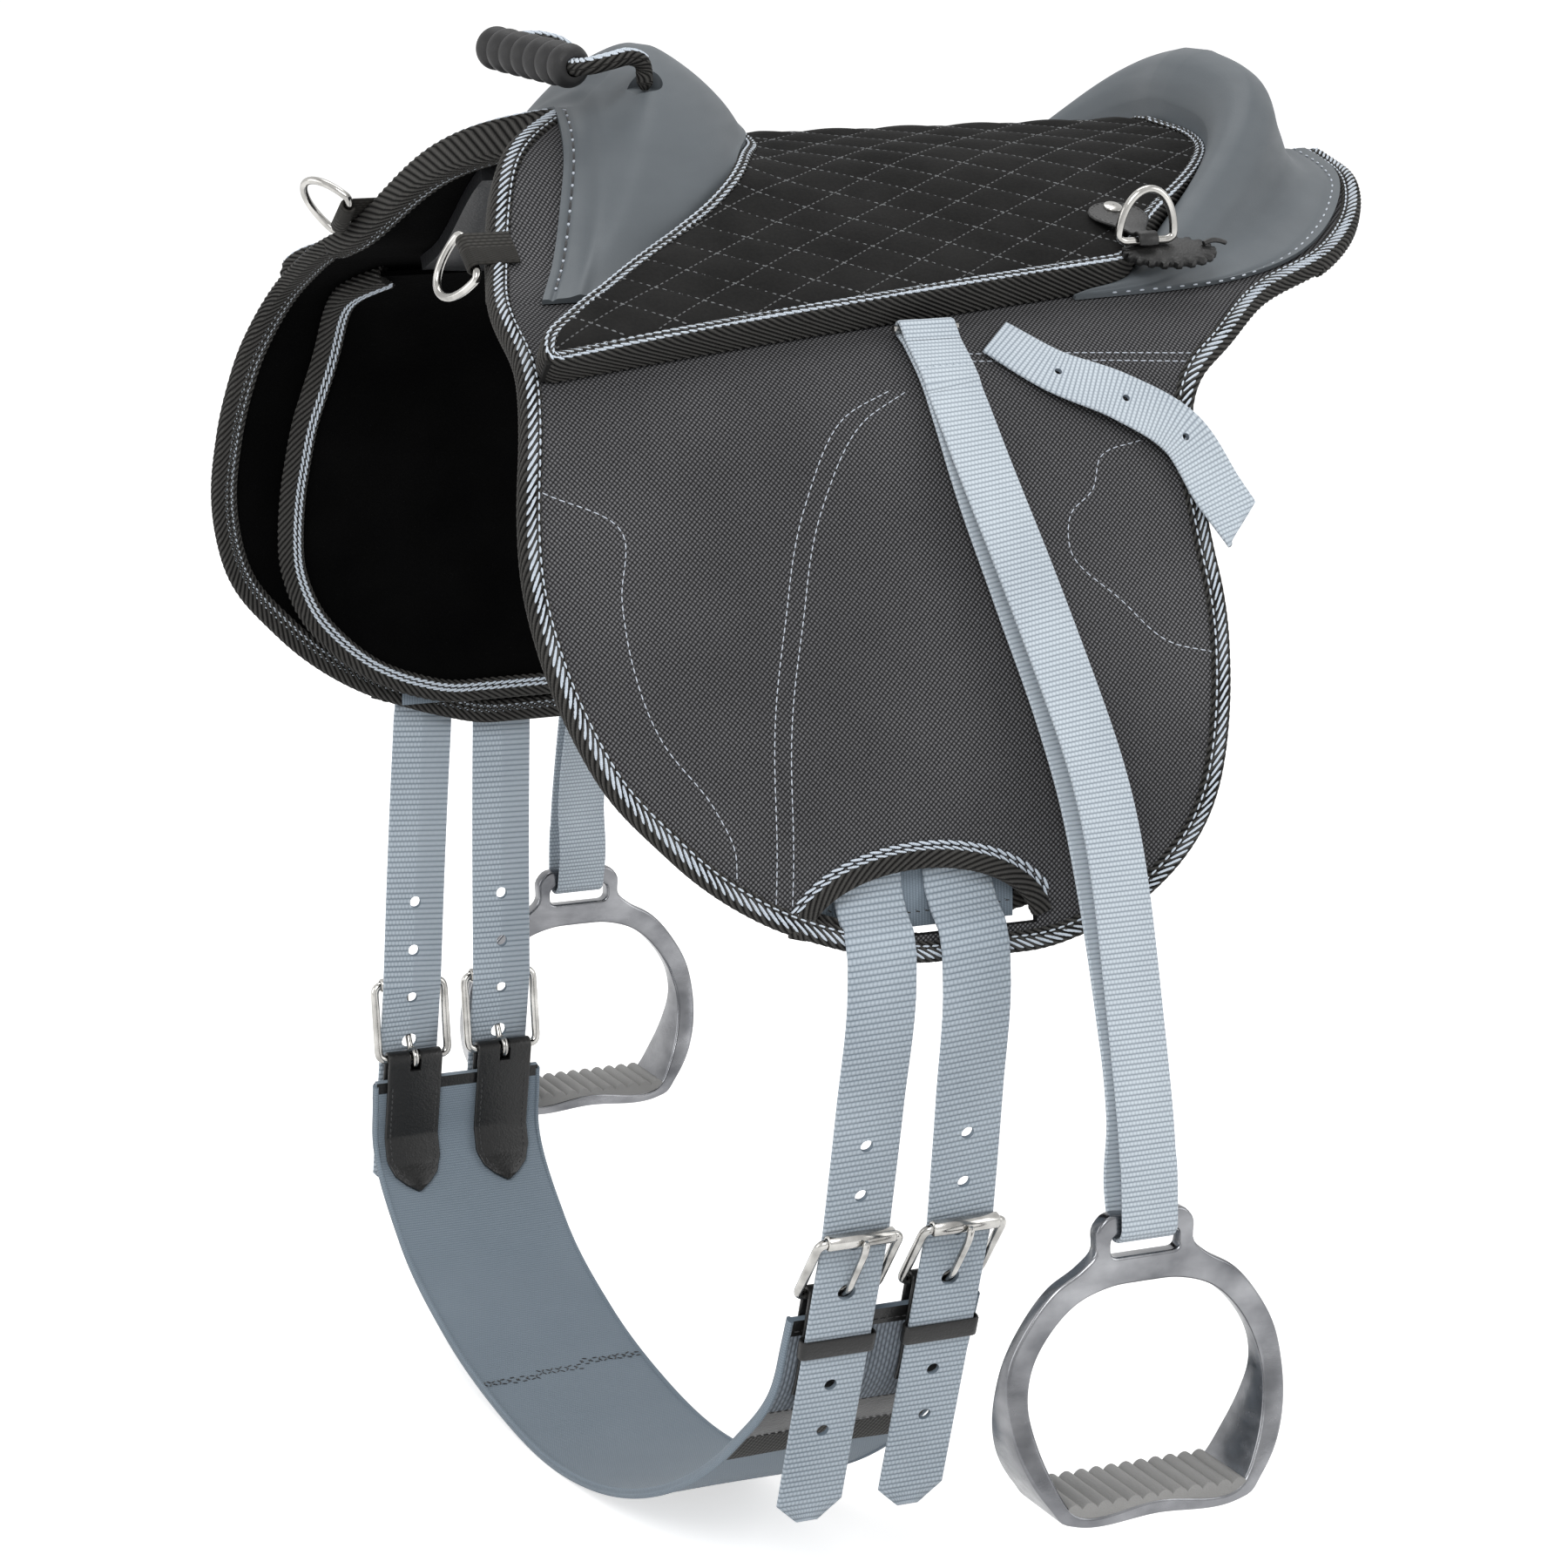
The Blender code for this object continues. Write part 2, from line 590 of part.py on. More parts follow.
def seat_place(u, w):
    """X and arc on the seat: u runs from its rear to its front edge, w from the off side (-1) to the near (1)."""
    front = SEAT_FRONT * np.interp(abs(w), *SEAT_FRONT_CURVE)
    rear = SEAT_REAR * np.interp(abs(w), *SEAT_REAR_CURVE)
    x = rear + (front - rear) * u
    along = (x - SEAT_REAR * SEAT_REAR_SHARES[-1][1]) / (SEAT_FRONT - SEAT_REAR * SEAT_REAR_SHARES[-1][1])
    return x, w * (SEAT_ARC + SEAT_SLANT * (along - 0.5))


def seat_top(w):
    return SEAT_EDGE_HEIGHT + SEAT_CROWN * (1 - w * w)


def seat():
    """A quilted cover like an open box, with its foam inside."""
    columns = QUILT_COLUMNS + 2
    rows = QUILT_ROWS + 2

    def spot(u, v, inside):
        i, j = round(u * columns), round(v * rows)
        share_u = min(max((i - 1) / QUILT_COLUMNS, 0), 1)
        w = min(max(2 * (j - 1) / QUILT_ROWS - 1, -1), 1)
        x, arc = seat_place(share_u, w)
        edge_u, edge_v = (i <= 1) - (i >= columns - 1), (j <= 1) - (j >= rows - 1)
        wall = COVER_THICK if inside else 0
        puff = QUILT_PUFF if (i + j) % 2 and not (edge_u or edge_v) else 0
        height = SEW_GAP if i in (0, columns) or j in (0, rows) else seat_top(w) - wall + (0 if inside else puff)
        return on_pad(x + edge_u * wall, arc + edge_v * wall, height)
    shape = slab_shape(columns, rows, lambda u, v: spot(u, v, False), lambda u, v: spot(u, v, True))
    split_diamonds(shape, [spot(i / columns, j / rows, False) for i in range(columns + 1) for j in range(rows + 1)
                           if (i + j) % 2 == 0])
    add("seat_cover", to_mesh(shape), "suede")

    def foam(u, v, height):
        x, arc = seat_place(u, 2 * v - 1)
        inset = COVER_THICK + FOAM_CLEAR
        x += inset * ((u < EDGE) - (u > 1 - EDGE))
        arc += inset * ((v < EDGE) - (v > 1 - EDGE))
        return on_pad(x, arc, height(2 * v - 1))
    shape = slab_shape(FOAM_COLUMNS, FOAM_ROWS,
                       lambda u, v: foam(u, v, lambda w: seat_top(w) - COVER_THICK - FOAM_CLEAR),
                       lambda u, v: foam(u, v, lambda w: FOAM_CLEAR))
    add("seat_foam", to_mesh(shape), "foam")


def split_diamonds(shape, low_spots):
    """Splits each four-sided face between two of its sewn-down corners."""
    low = {tuple(round(c / GAP * 10) for c in spot) for spot in low_spots}
    for face in [face for face in shape.faces if len(face.verts) == 4]:
        sewn = [vert for vert in face.verts if tuple(round(c / GAP * 10) for c in vert.co) in low]
        if len(sewn) == 2 and not shape.edges.get(sewn):
            bmesh.utils.face_split(face, sewn[0], sewn[1])


def pommel_rear(arc):
    return float(np.interp(abs(arc), SEAT_FRONT_LINE[:, 1], SEAT_FRONT_LINE[:, 0])) + POMMEL_CLEAR


def pommel_front(arc):
    return POMMEL_FRONT * read(POMMEL_FRONT_SHARES, abs(arc) / POMMEL_ARC)


def pommel_height(u, w):
    """Steep at the seat, rounded over, and down to a thin flange at the front."""
    rise = POMMEL_STEP_SHARE + (1 - POMMEL_STEP_SHARE) * ease(u / POMMEL_RISE_SHARE)
    start, stop = POMMEL_FALL_SHARES
    fall = 1 - ease((u - start) / (stop - start))
    body = POMMEL_HEIGHT * max(1 - w * w, 0)**POMMEL_FALLOFF
    return FLANGE_THICK + (body - FLANGE_THICK * max(1 - w * w, 0)) * rise * fall


def pommel():
    def height(x, arc, u, v):
        return pommel_height(u, arc / POMMEL_ARC)
    made = panel("pommel", "rubber", 10, 18, (-POMMEL_ARC, POMMEL_ARC), pommel_front, pommel_rear, height,
                 lambda x, arc, u, v: PLAY)
    for side, name in SIDES:
        shape = bmesh.new()
        depth = ROPE_RADIUS + ROPE_FLOOR_GAP
        rod_shape(shape, ROPE_HOLE_RADIUS, 2 * depth, rope_hole(side), out_of_pad(side * ROPE_HOLE_Y), 16)
        cutter(f"rope_hole_{name}", to_mesh(shape), made)


def rope_hole(side):
    """The mouth of a rope hole on the pommel's top."""
    rear, front = pommel_rear(ROPE_HOLE_Y), pommel_front(ROPE_HOLE_Y)
    height = pommel_height((ROPE_HOLE_X - rear) / (front - rear), ROPE_HOLE_Y / POMMEL_ARC)
    return on_pad(ROPE_HOLE_X, side * ROPE_HOLE_Y, height)


def cantle():
    """A horseshoe rim behind the seat: a ridge that falls to a flange at the rear and thins into two wings."""
    inner_x, inner_arc = seat_place(0, 1)

    def rim(q):
        if q < CANTLE_TURN_SHARE:
            x, arc = seat_place(0, q / CANTLE_TURN_SHARE)
        else:
            along = CANTLE_WING * (q - CANTLE_TURN_SHARE) / (1 - CANTLE_TURN_SHARE)
            x = inner_x + along
            arc = inner_arc + along * SEAT_SLANT / (SEAT_FRONT - inner_x)
        turn = q * math.pi / 2
        return x - CANTLE_CLEAR * math.cos(turn), arc + CANTLE_CLEAR * math.sin(turn)

    def spot(u, v, top):
        w = 2 * v - 1
        q = abs(w)
        x, arc = rim(q)
        outer_x = CANTLE_REAR * read(CANTLE_OUTER_X_SHARES, q)
        outer_arc = CANTLE_ARC * read(CANTLE_OUTER_ARC_SHARES, q)
        height = PLAY
        if top:
            ridge = CANTLE_HEIGHT * read(CANTLE_HEIGHT_SHARES, q)
            height = max(ridge * read(CANTLE_PROFILE_SHARES, 1 - u), FLANGE_THICK)
        x, arc = x + (outer_x - x) * (1 - u), arc + (outer_arc - arc) * (1 - u)
        return on_pad(x, arc if w > 0 else -arc, height)
    shape = slab_shape(8, 28, lambda u, v: spot(u, v, True), lambda u, v: spot(u, v, False))
    add("cantle", to_mesh(shape), "rubber")


def handle():
    """The ribbed grip turns on its rope, and the rope swings in the pommel's two holes."""
    mouth = rope_hole(1)
    centre = Vector((mouth.x + GRIP_FORWARD, 0, mouth.z + GRIP_ABOVE))
    axis = Vector((-GRIP_SKEW, GRIP_LENGTH, -GRIP_TILT)).normalized()
    holder = pivot("handle_pivot", (mouth.x, 0, mouth.z - ROPE_RADIUS))
    points = []
    for side in (-1, 1):
        end = centre + axis * (side * (GRIP_LENGTH / 2 + ROPE_RADIUS / 2))
        hole = rope_hole(side)
        foot = hole - out_of_pad(side * ROPE_HOLE_Y) * ROPE_RADIUS
        bend = [end.lerp(hole, way) + Vector((0, side * ROPE_RADIUS * bow, ROPE_RADIUS * lift))
                for way, bow, lift in ROPE_BEND_SHARES]
        loop = [Vector(spot) for spot in curve_through([end] + bend + [hole], 11)] + [hole.lerp(foot, 0.5), foot]
        run = [centre + axis * (side * GRIP_LENGTH * share) for share in (0.1, 0.3, 0.5)] + loop
        points = run[::-1] + points if side < 0 else points + run
    add("handle_rope", wire_mesh(points, ROPE_RADIUS, end_share=ROPE_END_SHARE), "rope", holder)
    turn = pivot("grip_pivot", centre, holder)
    ridges = [(GRIP_BORE, -GRIP_LENGTH / 2)]
    for rib in range(GRIP_RIBS):
        foot = -GRIP_LENGTH / 2 + GRIP_LENGTH * rib / GRIP_RIBS
        ridges += [(GRIP_RADIUS - GRIP_RIB, foot + GAP), (GRIP_RADIUS, foot + GRIP_LENGTH / GRIP_RIBS / 2)]
    ridges += [(GRIP_RADIUS - GRIP_RIB, GRIP_LENGTH / 2 - GAP), (GRIP_BORE, GRIP_LENGTH / 2)]
    turned("handle_grip", "plastic", ridges, centre, axis, 14, turn)


def d_ring(name, eye, bar, hang):
    """A D-ring with its straight bar through the eye."""
    half = RING_WIDTH / 2
    straight = half - 1.4 * RING_WIRE
    points = [eye - bar * straight, eye + bar * straight]
    turns = [math.pi * step / 8 for step in range(9)]
    points += [eye + bar * (half * math.cos(turn)) + hang * (RING_WIRE + (RING_HEIGHT - RING_WIRE) * math.sin(turn))
               for turn in turns]
    add(name, wire_mesh(points, RING_WIRE, closed=True), "steel", pivot(f"{name}_pivot", eye))


def eye_band(eye, along, out, length, radius, back):
    """Points of a band that runs along to an eye, round it and a little way back."""
    points = [eye - along * length + out * radius, eye - along * (length / 2) + out * radius]
    points += [eye + along * (radius * math.sin(turn)) + out * (radius * math.cos(turn))
               for turn in (math.radians(20 * step) for step in range(back + 1))]
    return points


def front_rings():
    """Webbing tabs at the front edge, each with a D-ring: the near one hangs and the off one stands up."""
    radius = RING_WIRE + GAP + TAB_THICK / 2
    for side, name in SIDES:
        arc = side * FRONT_TAB_ARC
        edge = front_edge(arc)
        bar = (on_pad(edge, arc + TAB_WIDTH / 2) - on_pad(edge, arc - TAB_WIDTH / 2)).normalized()
        out = AHEAD.cross(bar)
        eye = on_pad(edge, arc) + AHEAD * FRONT_EYE_CLEAR + out * (2 * PLAY + TAB_THICK / 2 - radius)
        length = FRONT_TAB_LENGTH + FRONT_EYE_CLEAR
        points = eye_band(eye, AHEAD, out, length, radius, 12)
        add(f"front_ring_tab_{name}", ribbon_mesh(points, TAB_WIDTH, TAB_THICK, bar), "webbing")
        turn = FRONT_RING_TURN[side]
        d_ring(f"front_ring_{name}", eye, bar, AHEAD * math.cos(turn) + out * math.sin(turn))


def crupper():
    """A tab sewn to the rear edge, with the ring that a crupper would buckle to."""
    radius = RING_WIRE + GAP + TAB_THICK / 2
    eye = Vector((rear_edge(0) - CRUPPER_EYE_CLEAR, 0, CRUPPER_EYE_DEPTH))
    points = eye_band(eye, -AHEAD, Vector((0, 0, 1)), CRUPPER_EYE_CLEAR - GAP, radius, 9)
    points += [eye + AHEAD * (CRUPPER_EYE_CLEAR - GAP) * share - Vector((0, 0, radius)) for share in (0.5, 1)]
    add("crupper_tab", ribbon_mesh(points, TAB_WIDTH, TAB_THICK, Vector((0, 1, 0))), "webbing")
    d_ring("crupper_ring", eye, Vector((0, 1, 0)), Vector((-math.sin(EDGE), 0, -math.cos(EDGE))))


def rear_fittings():
    """Toothed rosettes on the cantle's wings, each with a D-ring held by a riveted leather patch."""
    base = SEAT_EDGE_HEIGHT + QUILT_PUFF + GAP
    bar_out = base + ROSETTE_THICK + GAP + RING_WIRE
    outline = []
    for step in range(4 * ROSETTE_TEETH):
        turn = 2 * math.pi * (step - 0.5) / (4 * ROSETTE_TEETH)
        tooth = ROSETTE_TOOTH if step % 4 < 2 else 0
        outline.append(((ROSETTE_LENGTH / 2 - tooth) * math.cos(turn), (ROSETTE_WIDTH / 2 - tooth) * math.sin(turn)))
    over = bar_out + RING_WIRE + GAP + PATCH_THICK
    for side, name in SIDES:
        out = out_of_pad(side * ROSETTE_ARC)
        down = AHEAD.cross(out).normalized() * -side
        mesh = outline_mesh([outline], ROSETTE_THICK)
        turn = Matrix((AHEAD, out.cross(AHEAD), out)).transposed().to_4x4()
        centre = on_pad(ROSETTE_X, side * ROSETTE_ARC, base + ROSETTE_THICK / 2)
        mesh.transform(Matrix.Translation(centre) @ turn)
        add(f"rosette_{name}", mesh, "leather")
        eye = on_pad(PATCH_X, side * RING_BAR_ARC, bar_out)
        d_ring(f"rear_ring_{name}", eye, AHEAD, (out - down * math.sin(REAR_RING_TURN)).normalized())
        points = [on_pad(PATCH_X, side * (PATCH_TOP_ARC + PATCH_WIDTH * share), base + QUILT_PUFF * height)
                  for share, height in PATCH_HEIGHT_SHARES]
        wrap = RING_WIRE + PLAY + PATCH_THICK / 2
        points += [eye + out * (wrap * math.cos(turn)) + down * (wrap * math.sin(turn))
                   for turn in (math.radians(angle) for angle in PATCH_WRAP)]
        widths = [*PATCH_WIDTH_SHARES] + [PATCH_NECK / PATCH_WIDTH] * len(PATCH_WRAP)
        add(f"ring_patch_{name}", ribbon_mesh(points, PATCH_WIDTH, PATCH_THICK, AHEAD, widths), "leather")
        seat_out = out_of_pad(side * (PATCH_TOP_ARC + PATCH_WIDTH / 4))
        foot = points[1] + seat_out * (PATCH_THICK / 2 + GAP)
        dome = [(EDGE / 4, 0), (RIVET_RADIUS, 0), (RIVET_RADIUS, RIVET_HEIGHT / 3),
                (RIVET_RADIUS * RIVET_FLAT_SHARE, RIVET_HEIGHT), (EDGE / 4, RIVET_HEIGHT)]
        turned(f"rivet_{name}", "steel", dome, foot, seat_out, 14)


def lean(side):
    """The run of the billets at the buckles, and their outward normal."""
    angle = BILLET_LEAN[side]
    return (Vector((0, -side * math.sin(angle), -math.cos(angle))),
            Vector((0, side * math.cos(angle), -math.sin(angle))))


def roller_spot(side):
    """Where the middle of a billet meets its roller."""
    return Vector((0, side * ROLLER_Y[side], ROLLER_Z[side]))


def bar_spot(side):
    """The middle of the buckle bar that carries the chape."""
    run, out = lean(side)
    return roller_spot(side) + run * BUCKLE_HEIGHT - out * CHAPE_BAR_DROP


def girth_line():
    """The girth's middle line from the near to the off side, in Y and Z."""
    ends = []
    for side in (1, -1):
        run, _ = lean(side)
        ends.append([bar_spot(side) + run * (GIRTH_ENDS + share * CHAPE_LENGTH) for share in (0, 0.25, 0.5)])
    belly = [Vector((0, y * SPREAD, GIRTH_TOP - z * GIRTH_SAG)) for y, z in GIRTH_SHARES]
    return curve_through([(p.y, p.z) for p in ends[0] + belly + ends[1][::-1]], 160)


def girth_spot(line, side, distance, out):
    """A point this far along the girth from its end on a side, and this far out from its middle line."""
    run = np.r_[0, np.cumsum(np.linalg.norm(np.diff(line, axis=0), axis=1))]
    place = distance if side > 0 else run[-1] - distance
    slope = np.gradient(line, run, axis=0)
    spot = [np.interp(place, run, line[:, k]) for k in (0, 1)]
    along = [np.interp(place, run, slope[:, k]) for k in (0, 1)]
    size = math.hypot(*along)
    return Vector((0, spot[0] - along[1] / size * out, spot[1] + along[0] / size * out))


def girth():
    """Everything that hangs from the billets and swings as one."""
    _, axis_z = section(GIRTH_AXIS_ARC)[:2]
    holder = pivot("girth_pivot", (WINDOW_X, 0, axis_z))
    line = girth_line()
    near_x, off_x = GIRTH_X[1], GIRTH_X[-1]
    band = [Vector((near_x + (off_x - near_x) * step / GIRTH_STEPS, *line[round(step * (len(line) - 1) / GIRTH_STEPS)]))
            for step in range(GIRTH_STEPS + 1)]
    add("girth_band", ribbon_mesh(band, GIRTH_WIDTH, GIRTH_THICK, AHEAD), "girth", holder)
    for side, side_name in SIDES:
        for place, place_name in ((1, "front"), (-1, "rear")):
            name = f"{place_name}_{side_name}"
            x = GIRTH_X[side] + place * BILLET_SPACING / 2
            billet(side, name, x, WINDOW_BILLET_X[side] + place * WINDOW_SPACING / 2, holder)
            buckle(side, name, x, holder)
            chape(side, name, x, holder, line)
            keeper(side, name, x, holder)


def billet(side, name, x, window_x, holder):
    """A punched webbing strap from under the flap, out through the window and down past its buckle."""
    run, out = lean(side)
    meet = roller_spot(side)
    hidden = -FLAP_THICK - PLAY - BILLET_THICK / 2
    clear = BILLET_THICK / 2 + PLAY
    sill = FLAP_ARC - WINDOW_SILL
    top = [on_pad(0, side * arc, height) for arc, height in (
        (BILLET_TOP_ARC, hidden), ((BILLET_TOP_ARC + BILLET_EXIT_ARC) / 2, hidden), (BILLET_EXIT_ARC, hidden),
        (sill, clear + GAP), (FLAP_ARC + WINDOW_SILL / 2, clear))]
    upper = curve_through(top + [top[-1].lerp(meet, 0.5) + out * (BILLET_THICK / 2), meet], BILLET_SAMPLES)
    length = np.r_[0, np.cumsum(np.linalg.norm(np.diff(upper, axis=0), axis=1))]
    spots = [Vector((window_x + (x - window_x) * at / length[-1], way[1], way[2])) for way, at in zip(upper, length)]
    meet = spots[-1]
    tip = BILLET_TAIL[side]
    spots += [meet + run * distance for distance in (BUCKLE_HEIGHT / 2, BUCKLE_HEIGHT, (BUCKLE_HEIGHT + tip) / 2,
                                                     tip - BILLET_WIDTH / 3, tip)]
    widths = [1] * (len(spots) - 1) + [BILLET_TIP_SHARE]
    made = add(f"billet_{name}", ribbon_mesh(spots, BILLET_WIDTH, BILLET_THICK, AHEAD, widths), "webbing_dark", holder)
    shape = bmesh.new()
    rod_shape(shape, TONGUE_HOLE, 2 * OVERRUN, meet + run * (BUCKLE_HEIGHT - TONGUE_RISE), out, 10)
    for step in BILLET_HOLES:
        below = BUCKLE_HEIGHT - TONGUE_RISE + step * BILLET_HOLE_PITCH
        if below > tip - BILLET_HOLE_PITCH / 2:
            continue
        centre = meet + run * below
        if below < 0:
            centre = Vector([np.interp(length[-1] + below, length, axis) for axis in np.array(spots[:BILLET_SAMPLES]).T])
        rod_shape(shape, BILLET_HOLE, 2 * OVERRUN, centre, out, 10)
    cutter(f"billet_holes_{name}", to_mesh(shape), made)


def buckle(side, name, x, holder):
    """A wire frame with a roller on its upper bar and a tongue on its lower one."""
    run, out = lean(side)
    across = AHEAD
    bar = bar_spot(side) + across * x
    roller = roller_spot(side) + across * x + out * (BILLET_THICK / 2 + GAP + ROLLER_RADIUS)
    half = BUCKLE_WIDTH / 2 - BUCKLE_WIRE
    slope = (bar - roller).normalized()
    corners = []
    for end, inward in ((roller, slope), (bar, -slope)):
        turn = 1 if end is roller else -1
        wide = across * (turn * half)
        near = across * (turn * (half - BUCKLE_CORNER))
        in_by = inward * BUCKLE_CORNER
        corners += [end - wide + in_by, end - near, end + near, end + wide + in_by]
    add(f"buckle_frame_{name}", wire_mesh(corners, BUCKLE_WIRE, closed=True), "steel", holder)
    bore = BUCKLE_WIRE + GAP
    ends = ROLLER_LENGTH / 2
    tube = [(bore, -ends), (ROLLER_RADIUS, -ends), (ROLLER_RADIUS, ends), (bore, ends)]
    turned(f"buckle_roller_{name}", "steel", tube, roller, across, 14, pivot(f"roller_pivot_{name}", roller, holder))
    round_bar = BUCKLE_WIRE + GAP + TONGUE_WIRE
    wrap = [bar + out * (round_bar * math.cos(turn)) + run * (round_bar * math.sin(turn))
            for turn in (math.radians(angle) for angle in range(-330, 1, 30))]
    over = roller + out * (ROLLER_RADIUS + PLAY + TONGUE_WIRE)
    tip = over - run * (ROLLER_RADIUS * TONGUE_TIP_SHARE)
    rest = over + run * (ROLLER_RADIUS * TONGUE_REST_SHARE)
    crook = bar + out * (CHAPE_BAR_DROP + BILLET_THICK / 2 + TONGUE_WIRE) - run * TONGUE_CROOK
    neck = bar + out * (CHAPE_BAR_DROP - BILLET_THICK) - run * TONGUE_NECK
    points = wrap[2:] + [neck, crook, rest, tip]
    tongue_pivot = pivot(f"tongue_pivot_{name}", bar, holder)
    add(f"buckle_tongue_{name}", wire_mesh(points, TONGUE_WIRE, sides=1), "steel", tongue_pivot)


def chape(side, name, x, holder, line):
    """Leather folded round the buckle's bar and sewn to both faces of the girth."""
    run, out = lean(side)
    bar = bar_spot(side)
    leaf = GIRTH_THICK / 2 + PLAY + CHAPE_THICK / 2
    outward = side if girth_spot(line, side, 0, leaf).y * side > girth_spot(line, side, 0, -leaf).y * side else -side
    outward *= side
    inner = [girth_spot(line, side, CHAPE_LENGTH * share, -leaf * outward) for share in CHAPE_STEPS_SHARE[::-1]]
    outer = [girth_spot(line, side, CHAPE_LENGTH * share * CHAPE_OUTER_SHARE, leaf * outward) for share in CHAPE_STEPS_SHARE]
    radius = BUCKLE_WIRE + GAP + CHAPE_THICK / 2
    wrap = [bar - out * (radius * math.cos(turn)) - run * (radius * math.sin(turn))
            for turn in (math.radians(angle) for angle in range(0, 181, 30))]
    points = [Vector((x, spot.y, spot.z)) for spot in inner + wrap + outer]
    widths = [*CHAPE_TIP_SHARES] + [1] * (len(points) - 2)
    made = add(f"chape_{name}", ribbon_mesh(points, CHAPE_WIDTH, CHAPE_THICK, AHEAD, widths), "leather", holder)
    reach = 2 * (BUCKLE_WIRE + CHAPE_THICK)
    slot = box_mesh((TONGUE_SLOT, 2 * reach, 2 * reach), Vector((x, bar.y, bar.z)) - run * (reach / 4), AHEAD, out)
    cutter(f"chape_slot_{name}", slot, made)


def keeper(side, name, x, holder):
    """A leather loop on the chape that holds the billet's tail."""
    run, out = lean(side)
    centre = roller_spot(side) + run * (BUCKLE_HEIGHT + KEEPER_DOWN) + AHEAD * x
    room = (BILLET_WIDTH + 2 * GAP + PLAY, BILLET_THICK + 2 * GAP)
    size = (room[0] + 2 * KEEPER_WALL, KEEPER_LENGTH, room[1] + 2 * KEEPER_WALL)
    made = add(f"keeper_{name}", box_mesh(size, centre, AHEAD, out), "leather", holder)
    hole = box_mesh((room[0], KEEPER_LENGTH + OVERRUN, room[1]), centre, AHEAD, out)
    cutter(f"keeper_hole_{name}", hole, made)


def strap_point(side, q, h, x=0.0):
    """A point in the strap's swing plane: q down from the hanger's axis and h out from the plane."""
    axis = on_pad(STRAP_X, side * STRAP_PIVOT_ARC)
    down, out = strap_directions(side)
    return axis + down * q + out * h + AHEAD * x


def strap_directions(side):
    return (Vector((0, side * math.sin(SWING_LEAN), -math.cos(SWING_LEAN))),
            Vector((0, side * math.cos(SWING_LEAN), math.sin(SWING_LEAN))))


def stirrup(side, name):
    """The hanger turns on its post, the doubled strap on the hanger's bar and the iron in the strap."""
    bar = strap_point(side, -STRAP_BAR_UP, PLAY)
    swivel = pivot(f"hanger_pivot_{name}", bar)
    hanger(side, name, bar, swivel)
    holder = pivot(f"strap_pivot_{name}", bar, swivel)
    strap(side, name, holder)
    strap_tail(side, name)
    eye = strap_point(side, STRAP_LENGTH, STRAP_EYE_OUT, STRAP_DRIFT)
    iron(name, eye, pivot(f"iron_pivot_{name}", eye, holder))


def hanger(side, name, bar, holder):
    """A bar inside the strap's top fold, on a post that stands on the flap."""
    _, out = strap_directions(side)
    shape = bmesh.new()
    rod_shape(shape, HANGER_WIRE, HANGER_LENGTH, bar, AHEAD, 10)
    made = add(f"strap_hanger_{name}", to_mesh(shape), "steel", holder)
    shape = bmesh.new()
    rod_shape(shape, HANGER_POST, HANGER_SEAT, bar - out * (HANGER_SEAT / 2 + HANGER_WIRE / 2), out, 10)
    post = add(f"post_shape_{name}", to_mesh(shape), None, collection="cutters")
    post.hide_render = True
    post.display_type = "WIRE"
    modify(made, "post", post, "UNION")


def strap(side, name, holder):
    """One loop of webbing: down its outer layer, round the iron's eye bar, up and over the hanger's bar."""
    def at(q, h):
        return strap_point(side, q, h, STRAP_DRIFT * ease(q / (STRAP_DRIFT_SHARE * STRAP_LENGTH)))

    outer = [at(q * STRAP_LENGTH, h * STRAP_BOW) for q, h in OUTER_LAYER_SHARES]
    inner = [at(q * STRAP_LENGTH, h * STRAP_BOW) for q, h in INNER_LAYER_SHARES]
    eye = at(STRAP_LENGTH, STRAP_EYE_OUT)
    radius = math.hypot(IRON_EYE_BAR / 2, IRON_THICK / 2) + PLAY / 2 + STRAP_THICK / 2
    wrap = [eye + Vector((0, side * radius * math.cos(turn), -radius * math.sin(turn)))
            for turn in (math.radians(angle) for angle in range(0, 181, 30))]
    fold = HANGER_WIRE + GAP + STRAP_THICK / 2
    over = [at(-STRAP_BAR_UP - fold * math.sin(turn), PLAY - fold * math.cos(turn))
            for turn in (math.radians(angle) for angle in range(-30, 181, 30))]
    over.append(over[-1].lerp(outer[0], HEM_SHARE))
    down = [Vector(spot) for spot in curve_through(outer + [wrap[0]], 17)[:-1]]
    up = [Vector(spot) for spot in curve_through([wrap[-1]] + inner[::-1], 17)[1:]]
    mesh = ribbon_mesh(down + wrap + up + over, STRAP_WIDTH, STRAP_THICK, AHEAD)
    made = add(f"stirrup_strap_{name}", mesh, "webbing_light", holder)
    _, out = strap_directions(side)
    depth = HANGER_SLOT_SHARE * fold
    middle = at(-STRAP_BAR_UP - fold / 4, PLAY - (depth - fold) / 2)
    slot = box_mesh((HANGER_SLOT, 3 * fold, depth), middle, AHEAD, out)
    cutter(f"strap_slot_{name}", slot, made)


